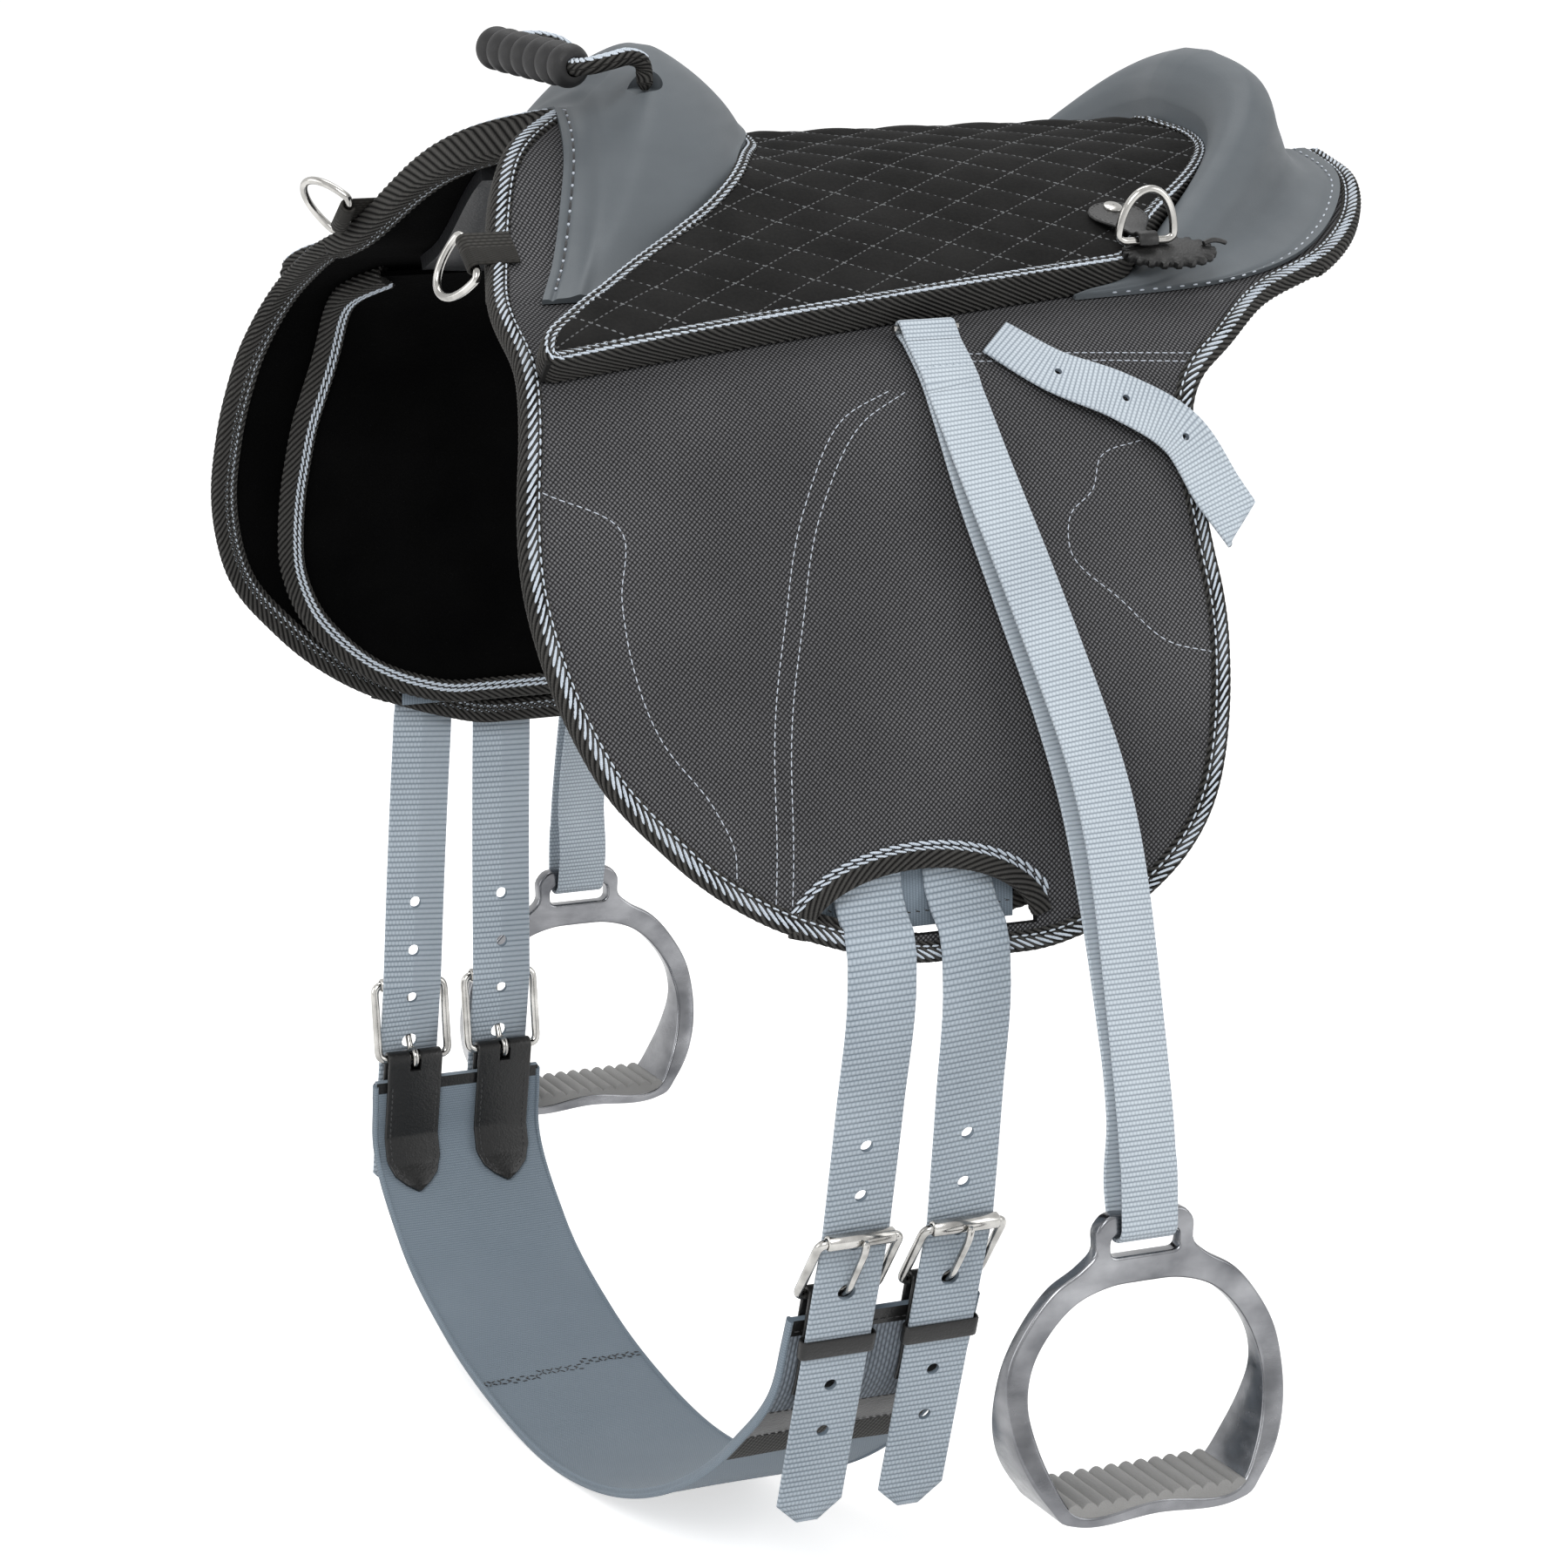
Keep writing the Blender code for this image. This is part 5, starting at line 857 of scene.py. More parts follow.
def both(*shapes):
    """Several closed shapes as one."""
    verts, faces = [], []
    for some, more in shapes:
        count = sum(len(v) for v in verts)
        verts.append(some)
        faces += [tuple(i + count for i in face) for face in more]
    return np.vstack(verts), faces


def turned(profile, place, direction, steps):
    """A profile of (radius, height) turned about a direction."""
    direction, side, level = axes(direction)
    profile = np.asarray(profile, float)
    turns = circle(steps)
    rim = np.cos(turns)[:, None] * side + np.sin(turns)[:, None] * level
    verts = np.asarray(place) + rim[:, None] * profile[None, :, :1] + direction * profile[None, :, 1:]
    uvs = np.stack(np.broadcast_arrays(turns[:, None] * GRIP_RADIUS, profile[None, :, 1]), -1)
    piece = Piece()
    piece.add(verts, grid_faces(steps, len(profile), True, True), uvs)
    return piece


def rounded(points, radius, steps=5, closed=True):
    """A line of corners with each corner rounded."""
    points = np.asarray(points, float)
    made = []
    for k, point in enumerate(points):
        if not closed and k in (0, len(points) - 1):
            made.append(point)
            continue
        before, after = points[k - 1] - point, points[(k + 1) % len(points)] - point
        reach = min(radius, np.linalg.norm(before) * 0.49, np.linalg.norm(after) * 0.49)
        start, stop = point + unit(before) * reach, point + unit(after) * reach
        for t in np.linspace(0, 1, steps):
            made.append((1 - t)**2 * start + 2 * t * (1 - t) * point + t * t * stop)
    return np.array(made)


def wire(piece, points, radius, closed=False, sides=14, ends=None):
    """A round wire through close points."""
    points = np.asarray(points, float)
    spread = points - points.mean(0)
    out = np.linalg.svd(spread, full_matrices=False)[2][2]
    line = Line(points, np.broadcast_to(out, points.shape), 0.0008, closed)
    profile = np.broadcast_to(round_profile(radius, sides), (len(line.points), sides, 2))
    if ends is not None:
        near = np.minimum(line.run, line.length - line.run)
        shrink = np.interp(near, (0, radius * 0.3, radius), (ends, 0.75, 1))
        profile = profile * shrink[:, None, None]
    sweep(piece, line, profile)


# The pad: its covers, edges and lining, and a sheet of painted shade behind each window
def pad_grid(arcs, front, rear, rows, columns):
    v, u = np.meshgrid(np.linspace(0, 1, rows), np.linspace(0, 1, columns), indexing="ij")
    arc = arcs[0] + (arcs[1] - arcs[0]) * v
    return rear(arc) + (front(arc) - rear(arc)) * u, arc, u, v


def pad_slab(x, arc, outer, inner, **options):
    """A closed sheet between two distances out from the pad's outer face."""
    piece = Piece()
    slab(piece, on_pad(x, arc, outer), on_pad(x, arc, inner), np.stack([x, arc], -1), **options)
    return piece


def cover(name, arcs, thick, looks, slot, replaces, rows, columns, front=front_edge, rear=rear_edge, top=None):
    """A panel on the pad, with its lining on the inner face."""
    x, arc, u, v = pad_grid(arcs, front, rear, rows, columns)
    outer = np.zeros_like(arc) if top is None else top(arc)
    rim = np.minimum.reduce([u, 1 - u, 1 - v]) if top is None else np.minimum.reduce([u, 1 - u, v, 1 - v])
    pull = (1 - ease(rim * 30)) * 0.0006 if top is None else (1 - ease(rim * 9)) * SWEAT_THICK * 0.33
    piece = pad_slab(x, arc, outer - pull, outer - thick(arc) + pull, inner_look=len(looks) - 1,
                     inside_out=arcs[1] > arcs[0])
    return piece.make(name, looks, "pad", slot, replaces)


def edge_loop():
    """The near and off halves of the pad's outline as (x, arc), from the front of the spine to its rear."""
    arcs = np.r_[np.linspace(0, FLAP_ARC * 0.97, 900), FLAP_ARC * (1 - 0.03 * (1 - ease(np.linspace(0, 1, 60))))]
    near_front = np.column_stack([front_edge(arcs), arcs])
    near_rear = np.column_stack([rear_edge(arcs), arcs])[::-1]
    near = smoothed(np.vstack([near_front, near_rear]), EDGE_EASE)
    return near, near[::-1] * np.array((1, -1))


def smoothed(line, width):
    """A line with its corners eased, ends kept."""
    kernel = np.ones(2 * width + 1) / (2 * width + 1)
    line = even(np.column_stack([line, np.zeros(len(line))]), step=0.0008)[:, :2]
    padded = np.vstack([np.repeat(line[:1], width, 0), line, np.repeat(line[-1:], width, 0)])
    made = np.column_stack([np.convolve(column, kernel, "valid") for column in padded.T])
    made[0], made[-1] = line[0], line[-1]
    return made


def bind_edges():
    for (_, side_name, _), flat in zip(SIDES, edge_loop()):
        line = pad_line(flat, 0.0, 0.00055)
        arcs = np.interp(line.run, np.linspace(0, line.length, len(flat)), np.abs(flat[:, 1]))
        thick = pad_thickness(arcs)
        tape(f"edge_tape_{side_name}", line, tape_profile(EDGE_TAPE, thick))
        piece = Piece()
        bars(piece, line, across=-0.0026, out=0.0020, **EDGE_BRAID)
        bars(piece, line, across=-0.0056, out=0.0018, **EDGE_STITCH)
        inner = Line(line.points - line.outs * thick[:, None], line.outs, 0.0011)
        twin_braid(piece, inner, -0.0056, -0.0014)
        piece.make(f"edge_braid_{side_name}", ["braid"], "pad", "rope")


def window_arch(side, trim=0.0):
    sill_z = section(FLAP_ARC - WINDOW_SILL)[1]
    turns = np.linspace(trim, math.pi - trim, 60)
    x = WINDOW_X + WINDOW_WIDTH / 2 * np.cos(turns)
    z = sill_z + WINDOW_HEIGHT * np.sin(turns)
    arc = np.interp(-z, -SECTION[:, 1], SECTION_ARC)
    return np.column_stack([x, side * arc]), z


def flap(side, side_name):
    arcs = (side * (BRIDGE_ARC + GAP), side * FLAP_ARC)
    made = cover(f"flap_{side_name}_canvas", arcs, lambda arc: FLAP_THICK, ["canvas", "velvet"], "canvas",
                 f"flap_{side_name}", 70, 60)
    flat, z = window_arch(side)
    # Known fault: the cutter stands on the near side for both flaps, so the off flap's window stays closed
    near_y = section(FLAP_ARC - WINDOW_SILL)[0]
    cut(made, *prism(np.column_stack([flat[:, 0], np.full(len(z), near_y), z]), (0, 1, 0), 6 * FLAP_THICK))
    line = pad_line(window_arch(side, WINDOW_TRIM)[0], 0.0, 0.0006)
    outward = -1 if np.dot(line.across[len(line.points) // 2], UP) < 0 else 1
    tape(f"window_tape_{side_name}", line, WINDOW_TAPE, outward)
    braid(f"window_braid_{side_name}", line, outward * 0.0079, 0.0007, (0.004, 0.004))
    # Behind the window, a sheet of the grey girth cloth stands in for the shade seen through the opening: painted
    # shade, not a real lining
    x, arc, _, _ = pad_grid((side * (BILLET_TOP_ARC + WINDOW_SHADE_DOWN), side * (FLAP_ARC - WINDOW_SHADE_UP)),
                            lambda a: WINDOW_X + WINDOW_SHADE_HALF + 0 * a, lambda a: WINDOW_X - WINDOW_SHADE_HALF + 0 * a, 12, 30)
    pad_slab(x, arc, *WINDOW_SHADE_DEPTHS).make(f"window_shade_sheet_{side_name}", ["girth"], "pad", "webbing")
    stitches = Piece()
    for route in FLAP_STITCHES:
        bars(stitches, pad_line([(x, side * arc) for x, arc in route], 0.0, 0.001, smooth=200), out=0.00015, **STITCH)
    stitches.make(f"flap_{side_name}_stitches", ["stitch"], "pad", "rope")


FLAP_STITCHES = (
    ((0.141, 0.218), (0.110, 0.237), (0.115, 0.264), (0.116, 0.289), (0.110, 0.321), (0.092, 0.350), (0.085, 0.368),
     (0.085, 0.378)),
    ((-0.016, 0.185), (0.007, 0.196), (0.031, 0.231), (0.047, 0.273), (0.063, 0.325), (0.069, 0.390)),
    ((-0.023, 0.186), (0.000, 0.199), (0.024, 0.233), (0.040, 0.275), (0.056, 0.326), (0.062, 0.391)),
    ((-0.052, 0.169), (-0.110, 0.1725), (-0.158, 0.176)),
    ((-0.052, 0.173), (-0.110, 0.1765), (-0.154, 0.180)),
    ((-0.123, 0.214), (-0.103, 0.220), (-0.097, 0.233), (-0.085, 0.243), (-0.082, 0.257), (-0.100, 0.281),
     (-0.116, 0.299), (-0.137, 0.306)))


def sweat_panel(side, side_name):
    depth = SWEAT_BOTTOM_ARC - SWEAT_TOP_ARC
    ahead, behind = curve_through(SWEAT_FRONT_SHARES, 60).T, curve_through(SWEAT_REAR_SHARES, 60).T

    def down(arc):
        return (np.abs(arc) - SWEAT_TOP_ARC) / depth

    def top(arc):
        return -FLAP_THICK - PLAY - (BILLET_THICK + 2 * PLAY - GAP) * ease(down(arc) * SWEAT_EASE)

    def front(arc):
        return FRONT_REACH * np.interp(down(arc), *ahead)

    def rear(arc):
        return -REAR_REACH * np.interp(down(arc), *behind)
    made = cover(f"sweat_panel_{side_name}_velvet", (side * SWEAT_TOP_ARC, side * SWEAT_BOTTOM_ARC),
                 lambda arc: SWEAT_THICK, ["velvet"], "velvet", f"sweat_panel_{side_name}", 50, 40, front, rear, top)
    arcs = np.linspace(SWEAT_TOP_ARC, SWEAT_BOTTOM_ARC, 300)
    edges = np.vstack([np.column_stack([front(arcs), arcs]), np.column_stack([rear(arcs), arcs])[::-1]])
    flat = smoothed(edges, EDGE_EASE)
    line = pad_line(flat * np.array((1, side)), top(flat[:, 1]) - SWEAT_HALF, 0.0006)
    tape(f"sweat_tape_{side_name}", line, SWEAT_TAPE, side)
    braid(f"sweat_braid_{side_name}", line, -side * 0.0062, -SWEAT_HALF - 0.0011)


def bolster(side, side_name):
    x, arc, u, v = pad_grid((side * BOLSTER_ARCS[0], side * BOLSTER_ARCS[1]), lambda a: BOLSTER_ENDS[1] + 0 * a,
                            lambda a: np.maximum(BOLSTER_ENDS[0], rear_edge(a) + 0.014), 24, 70)
    full = 0.35 + 0.65 * (np.sin(math.pi * u) * np.sin(math.pi * v))**0.4
    channels = 1 - hump(u * 4 % 1, 0.10, 0.5, 0.06)
    base = -pad_thickness(arc) - SEW_GAP
    piece = pad_slab(x, arc, base, base - BOLSTER_THICK * full * channels, inside_out=side > 0)
    made = piece.make(f"bolster_{side_name}_roll", ["bolster"], "pad", "leather", f"bolster_{side_name}")


def pad():
    made = cover("bridge_cover", (-BRIDGE_ARC, BRIDGE_ARC), pad_thickness, ["canvas", "velvet"], "canvas", "pad_bridge",
                 90, 110)
    for side, side_name, _ in SIDES:
        flap(side, side_name)
        sweat_panel(side, side_name)
        bolster(side, side_name)
    bind_edges()


# The seat
def seat():
    w, u = np.meshgrid(np.linspace(-1, 1, 301), np.linspace(0, 1, 221), indexing="ij")
    x, arc = seat_place(u, w)
    along, over = (x - QUILT_START[0]) / QUILT_LONG, (arc - QUILT_START[1]) / QUILT_WIDE
    puff = QUILT_PUFF * np.abs(np.sin(math.pi * (along + over)) * np.sin(math.pi * (along - over)))**0.55
    rim = np.minimum.reduce([u * 14, (1 - u) * 14, (1 - np.abs(w)) * 9])
    height = seat_top(w) + puff * ease(rim) - 0.0012 * (1 - ease(rim * 2.5))
    piece = pad_slab(x, arc, height, SEW_GAP, inside_out=True)
    made = piece.make("seat_quilted", ["suede"], "pad", "suede", ("seat_cover", "seat_foam"))
    stitches = Piece()
    arcs = np.linspace(-1.1 * SEAT_ARC, 1.1 * SEAT_ARC, 500)
    for way in (1, -1):
        for row in range(-50, 51):
            xs = QUILT_START[0] + QUILT_LONG * (row + way * (arcs - QUILT_START[1]) / QUILT_WIDE)
            line_u, line_w = seat_share(xs, arcs)
            inside = (line_u > 0.012) & (line_u < 0.988) & (np.abs(line_w) < 0.975)
            for run in np.split(np.arange(len(arcs)), np.where(np.diff(inside.astype(int)))[0] + 1):
                if inside[run[0]] and len(run) > 8:
                    points = on_pad(xs[run], arcs[run], seat_top(line_w[run]) + 0.0001)
                    # Stitches of one slant take the quilt thread, those of the other its darker shaded_stitch copy:
                    # painted shade on that family
                    bars(stitches, Line(points, facing(xs[run], arcs[run]), 0.002), look=(1 + way) // 2, **FINE_STITCH)
    stitches.make("seat_quilt_stitches", ["quilt_stitch", "shaded_stitch"], "pad", "suede")
    seat_edges()


def seat_outline():
    """The seat's rim as (x, arc), from the rear middle down the near side and round."""
    w = np.linspace(0, 1, 200)
    rear = np.column_stack(seat_place(0, w))
    side = np.column_stack(seat_place(np.linspace(0, 1, 200), 1.0))
    front = np.column_stack(seat_place(1, w[::-1]))
    near = smoothed(np.vstack([rear, side, front]), 9)
    return np.vstack([near, near[::-1][1:-1] * np.array((1, -1))])


def seat_edges():
    flat = seat_outline()
    top = seat_top(np.clip(np.abs(flat[:, 1]) / SEAT_ARC, 0, 1))
    line = pad_line(flat, top, 0.00055, closed=True)
    outward = -1 if line.across[len(line.points) // 4][1] < 0 else 1
    height = np.interp(line.run, np.linspace(0, line.length, len(flat)), top)
    tape("seat_side_tape", line, tape_profile(SEAT_TAPE, height), outward)
    braid("seat_braid", line, -outward * 0.0016, 0.0009)


# The moulded pommel and cantle
def pommel():
    v, u = np.meshgrid(np.linspace(-1, 1, 121), np.linspace(0, 1, 81), indexing="ij")
    arc = v * POMMEL_ARC
    rear, front = pommel_rear(arc), pommel_front(arc)
    x = rear + (front - rear) * u
    height = smooth_grid(pommel_height(u, v), 30)
    ahead = front - x
    height = height + hump(ahead, *POMMEL_RIDGE) - hump(ahead, *POMMEL_GROOVE)
    piece = pad_slab(x, arc, np.maximum(height, PLAY + 0.001), PLAY, inside_out=True)
    made = piece.make("pommel_moulding", ["moulding"], "pad", "moulding", "pommel")
    depth = ROPE_RADIUS + ROPE_FLOOR_GAP
    ways = [out_of_pad(side * ROPE_HOLE_Y) for side, *_ in SIDES]
    holes = [drill(ROPE_HOLE_RADIUS, rope_hole(side) + way * 0.006, way, 2 * depth + 0.012, 28)
             for (side, *_), way in zip(SIDES, ways)]
    cut(made, *both(*holes))
    arcs = np.linspace(-POMMEL_ARC * 0.93, POMMEL_ARC * 0.93, 300)
    threads = Piece()
    inset = pommel_front(arcs) - POMMEL_GROOVE[1]
    share = (inset - pommel_rear(arcs)) / (pommel_front(arcs) - pommel_rear(arcs))
    line = Line(on_pad(inset, arcs, pommel_height(share, arcs / POMMEL_ARC) - 0.0009), facing(inset, arcs), 0.002)
    # Near-black bars lie in the groove at each stitch dent: painted shade in the dents, between the light stitches
    bars(threads, line, out=0.0003, **POMMEL_DENT_SHADE)
    bars(threads, line, look=1, out=0.0005, start=1.0, **POMMEL_STITCH)
    threads.make("pommel_stitches", ["dark_stitch", "stitch"], "pad", "rope")


def rope_hole(side):
    return np.array(ROPE_MOUTH) * (1, side, 1)


def cantle_rim(q):
    inner_x, inner_arc = seat_place(0, 1)
    x, arc = seat_place(0, np.minimum(q / CANTLE_TURN_SHARE, 1))
    along = np.maximum(CANTLE_WING * (q - CANTLE_TURN_SHARE) / (1 - CANTLE_TURN_SHARE), 0)
    x = np.where(q < CANTLE_TURN_SHARE, x, inner_x + along)
    arc = np.where(q < CANTLE_TURN_SHARE, arc, inner_arc + along * SEAT_SLANT / (SEAT_FRONT - inner_x))
    turn = q * math.pi / 2
    return x - CANTLE_CLEAR * np.cos(turn), arc + CANTLE_CLEAR * np.sin(turn)


def cantle_spot(u, w):
    """X, arc and height on the cantle: u from its outer rim (0) to the seat (1), w across it."""
    q = np.abs(w)
    x, arc = cantle_rim(q)
    outer_x, outer_arc = CANTLE_REAR * read(CANTLE_OUTER_X_SHARES, q), CANTLE_ARC * read(CANTLE_OUTER_ARC_SHARES, q)
    rise = read(CANTLE_PROFILE_SHARES, (1 - u) * (1 + 0.5 * q * q))
    height = np.maximum(CANTLE_HEIGHT * read(CANTLE_HEIGHT_SHARES, q) * rise, FLANGE_THICK)
    x, arc = x + (outer_x - x) * (1 - u), arc + (outer_arc - arc) * (1 - u)
    return x, np.where(w > 0, arc, -arc), height


def cantle():
    w, u = np.meshgrid(np.linspace(-1, 1, 181), 1 - np.linspace(1, 0, 71)**1.8, indexing="ij")
    x, arc, height = (smooth_across(grid, 7) for grid in cantle_spot(u, w))
    inward = (1 - u) * np.hypot(x[:, :1] - x[:, -1:], arc[:, :1] - arc[:, -1:])
    height = height - CANTLE_ROUND + np.sqrt(np.maximum(CANTLE_ROUND**2 - np.maximum(CANTLE_ROUND - inward, 0)**2, 0))
    height = np.maximum(height - hump(u, 0.0008, CANTLE_SEAM_U, 0.022), PLAY + 0.0012)
    pad_slab(x, arc, height, PLAY).make("cantle_moulding", ["moulding"], "pad", "moulding", "cantle")
    w = np.linspace(-0.97, 0.97, 400)
    x, arc, height = cantle_spot(np.full_like(w, CANTLE_SEAM_U), w)
    threads = Piece()
    bars(threads, Line(on_pad(x, arc, height), facing(x, arc), 0.002), out=-0.0003, **COARSE_STITCH)
    threads.make("cantle_stitches", ["stitch"], "pad", "rope")


def smooth_across(values, width):
    """Eases a grid along its rows' direction, less near its ends."""
    kernel = np.exp(-0.5 * (np.arange(-3 * width, 3 * width + 1) / width)**2)
    wide = np.pad(values, ((3 * width, 3 * width), (0, 0)), mode="edge")
    eased = np.stack([np.convolve(column, kernel / kernel.sum(), "valid") for column in wide.T], 1)
    keep = np.abs(np.linspace(-1, 1, len(values)))[:, None]**8
    return eased * (1 - keep) + values * keep


def smooth_grid(values, rounds):
    for _ in range(rounds):
        wide = np.pad(values, 1, mode="edge")
        values = (2 * wide[1:-1, 1:-1] + wide[:-2, 1:-1] + wide[2:, 1:-1] + wide[1:-1, :-2] + wide[1:-1, 2:]) / 6
    return values


# The handle
def handle():
    mouth = rope_hole(1)
    centre = np.array((mouth[0] + GRIP_FORWARD, 0, mouth[2] + GRIP_ABOVE))
    axis = unit(np.array((-GRIP_SKEW, GRIP_LENGTH, -GRIP_TILT)))
    points = []
    for side in (-1, 1):
        end = centre + axis * (side * (GRIP_LENGTH / 2 + ROPE_RADIUS / 2))
        hole = rope_hole(side)
        foot = hole - out_of_pad(side * ROPE_HOLE_Y) * ROPE_RADIUS
        bend = [end + (hole - end) * way + np.array((0, side * ROPE_RADIUS * bow, ROPE_RADIUS * lift))
                for way, bow, lift in ROPE_BEND_SHARES]
        loop = list(curve_through([end, *bend, hole], 40)) + [hole + (foot - hole) * 0.5, foot]
        run = [centre + axis * (side * GRIP_LENGTH * share) for share in (0.1, 0.3, 0.5)] + loop
        points = run[::-1] + points if side < 0 else points + run
    points = np.array(points)
    core = Piece()
    line = Line(points, np.broadcast_to(UP + AHEAD * 0.2, points.shape), 0.0006)
    near = np.minimum(line.run, line.length - line.run)
    profile = round_profile(ROPE_RADIUS - 0.0004, 16) * np.interp(near, (0, 0.003), (0.4, 1))[:, None, None]
    sweep(core, line, profile, **ROPE_TWIST)
    for angle in (math.pi / 2 - 0.38, math.pi / 2 + 0.38):
        rail = Line(line.points, line.outs * math.sin(angle) + line.across * math.cos(angle), 0.0008)
        bars(core, rail, out=ROPE_RADIUS - 0.0002, look=1, ends=(0.006, 0.006), **ROPE_STRAND)
    core.make("handle_rope_twisted", ["tape", "braid"], "rope", "rope", "handle_rope")
    profile = [(GRIP_BORE, -GRIP_LENGTH / 2)]
    fine = np.linspace(-0.5, 0.5, 113)
    swell = 1 - 0.9 * np.abs(2 * fine)**14
    radius = GRIP_RADIUS - GRIP_RIB * (1 - np.abs(np.sin(math.pi * (fine + 0.5) * GRIP_RIBS))**0.8)
    profile += [(r - 0.0016 * (1 - s), f * GRIP_LENGTH) for r, f, s in zip(radius, fine, swell)]
    profile += [(GRIP_BORE, GRIP_LENGTH / 2), (GRIP_BORE, GRIP_LENGTH * 0.3), (GRIP_BORE, -GRIP_LENGTH * 0.3)]
    turned(profile, centre, axis, 56).make("handle_grip_ribbed", ["grip"], "grip", "plastic", "handle_grip")


# Rings and their tabs
def ring(name, body, eye, bar, hang):
    half = RING_WIDTH / 2
    straight = half - 1.4 * RING_WIRE
    points = [eye - bar * straight, eye + bar * straight]
    points += [eye + bar * (half * math.cos(t)) + hang * (RING_WIRE + (RING_HEIGHT - RING_WIRE) * math.sin(t))
               for t in np.linspace(0, math.pi, 36)]
    piece = Piece()
    wire(piece, rounded(points, 0.0022), RING_WIRE, closed=True)
    piece.make(f"{name}_wire", ["steel"], body, "steel", name)


def eye_band(eye, along, out, length, radius, back):
    points = [eye - along * length + out * radius, eye - along * (length / 2) + out * radius]
    points += [eye + along * (radius * math.sin(t)) + out * (radius * math.cos(t))
               for t in np.radians(np.arange(0, 20 * back + 1, 10))]
    return np.array(points)


def tab(name, points, across, look, slot, replaces, width=TAB_WIDTH, thick=TAB_THICK, widths=None):
    points = np.asarray(points, float)
    slopes = np.gradient(points, axis=0)
    outs = unit(np.cross(np.broadcast_to(across, points.shape), slopes))
    line = Line(points, outs, 0.0005)
    spread = None if widths is None else np.interp(line.run, np.linspace(0, line.length, len(widths)), widths)
    piece = swept(line, strip_profile(width, thick), widths=spread)
    return piece.make(name, [look], "pad", slot, replaces), line


def front_rings():
    radius = RING_WIRE + GAP + TAB_THICK / 2
    for side, side_name, word in SIDES:
        arc = side * FRONT_TAB_ARC
        edge = front_edge(arc)
        bar = unit(on_pad(edge, arc + TAB_WIDTH / 2) - on_pad(edge, arc - TAB_WIDTH / 2))
        out = np.cross(AHEAD, bar)
        eye = on_pad(edge, arc) + AHEAD * FRONT_EYE_CLEAR + out * (2 * PLAY + TAB_THICK / 2 - radius)
        points = eye_band(eye, AHEAD, out, FRONT_TAB_LENGTH + FRONT_EYE_CLEAR, radius, 12)
        tab(f"front_ring_tab_{side_name}_webbing", points, bar, "black_ribs", "webbing", f"front_ring_tab_{side_name}")
        turn = FRONT_RING_TURN[side]
        ring(f"front_ring_{side_name}", f"front_ring_{word}", eye, bar, AHEAD * math.cos(turn) + out * math.sin(turn))


def crupper():
    radius = RING_WIRE + GAP + TAB_THICK / 2
    eye = np.array((rear_edge(0) - CRUPPER_EYE_CLEAR, 0, CRUPPER_EYE_DEPTH))
    points = eye_band(eye, -AHEAD, UP, CRUPPER_EYE_CLEAR - GAP, radius, 9)
    ends = [eye + AHEAD * (CRUPPER_EYE_CLEAR - GAP) * share - UP * radius for share in (0.5, 1)]
    tab("crupper_tab_webbing", np.vstack([points, ends]), np.array((0, 1.0, 0)), "black_ribs", "webbing", "crupper_tab")
    ring("crupper_ring", "crupper_ring", eye, np.array((0, 1.0, 0)), np.array((-0.001, 0, -1.0)))


def rear_fittings():
    base = SEAT_EDGE_HEIGHT + PATCH_STEP + GAP
    bar_out = base + ROSETTE_THICK + GAP + RING_WIRE
    for side, side_name, word in SIDES:
        out = out_of_pad(side * ROSETTE_ARC)
        down = unit(np.cross(AHEAD, out)) * -side
        rosette(side, side_name, out, base)
        eye = on_pad(PATCH_X, side * RING_BAR_ARC, bar_out)
        ring(f"rear_ring_{side_name}", f"rear_ring_{word}", eye, AHEAD, unit(out - down * math.sin(REAR_RING_TURN)))
        points = [on_pad(PATCH_X, side * (PATCH_TOP_ARC + PATCH_WIDTH * share), base + PATCH_STEP * rise)
                  for share, rise in PATCH_HEIGHTS]
        wrap = RING_WIRE + PLAY + PATCH_THICK / 2
        points += [eye + out * (wrap * math.cos(t)) + down * (wrap * math.sin(t))
                   for t in np.radians((-60, -30, 0, 30, 60, 85))]
        points = curve_through(points, 60)
        widths = np.interp(np.linspace(0, 1, 60), *PATCH_FORM)
        _, line = tab(f"ring_patch_{side_name}_leather", points, AHEAD, "leather", "leather", f"ring_patch_{side_name}",
                      PATCH_WIDTH, PATCH_THICK, widths)
        flip = 1 if np.dot(line.outs[0], out) > 0 else -1
        rim = np.interp(line.run, np.linspace(0, line.length, 60), widths) * PATCH_WIDTH / 2 - 0.0016
        keep = line.run < line.length * PATCH_SEWN_SHARE
        threads = Piece()
        for edge in (-1, 1):
            spots = line.points[keep] + line.across[keep] * (edge * rim[keep])[:, None]
            bars(threads, Line(spots, line.outs[keep] * flip, 0.001), out=PATCH_THICK / 2, **PATCH_STITCH)
        threads.make(f"ring_patch_{side_name}_stitches", ["dark_stitch"], "pad", "leather")
        seat_out = out_of_pad(side * (PATCH_TOP_ARC + PATCH_WIDTH / 4))
        foot = on_pad(PATCH_X, side * (PATCH_TOP_ARC + PATCH_WIDTH * 0.25), base + PATCH_STEP * 1.5)
        dome = [(0.0001, 0), (RIVET_RADIUS, 0), (RIVET_RADIUS, RIVET_HEIGHT * 0.45)]
        dome += [(RIVET_RADIUS * math.cos(t), RIVET_HEIGHT * (0.45 + 0.55 * math.sin(t)))
                 for t in np.linspace(0.2, 1.5, 9)]
        rivet = turned(dome, foot + seat_out * (PATCH_THICK / 2), seat_out, 40)
        rivet.make(f"rivet_{side_name}_head", ["steel"], "pad", "steel", f"rivet_{side_name}")


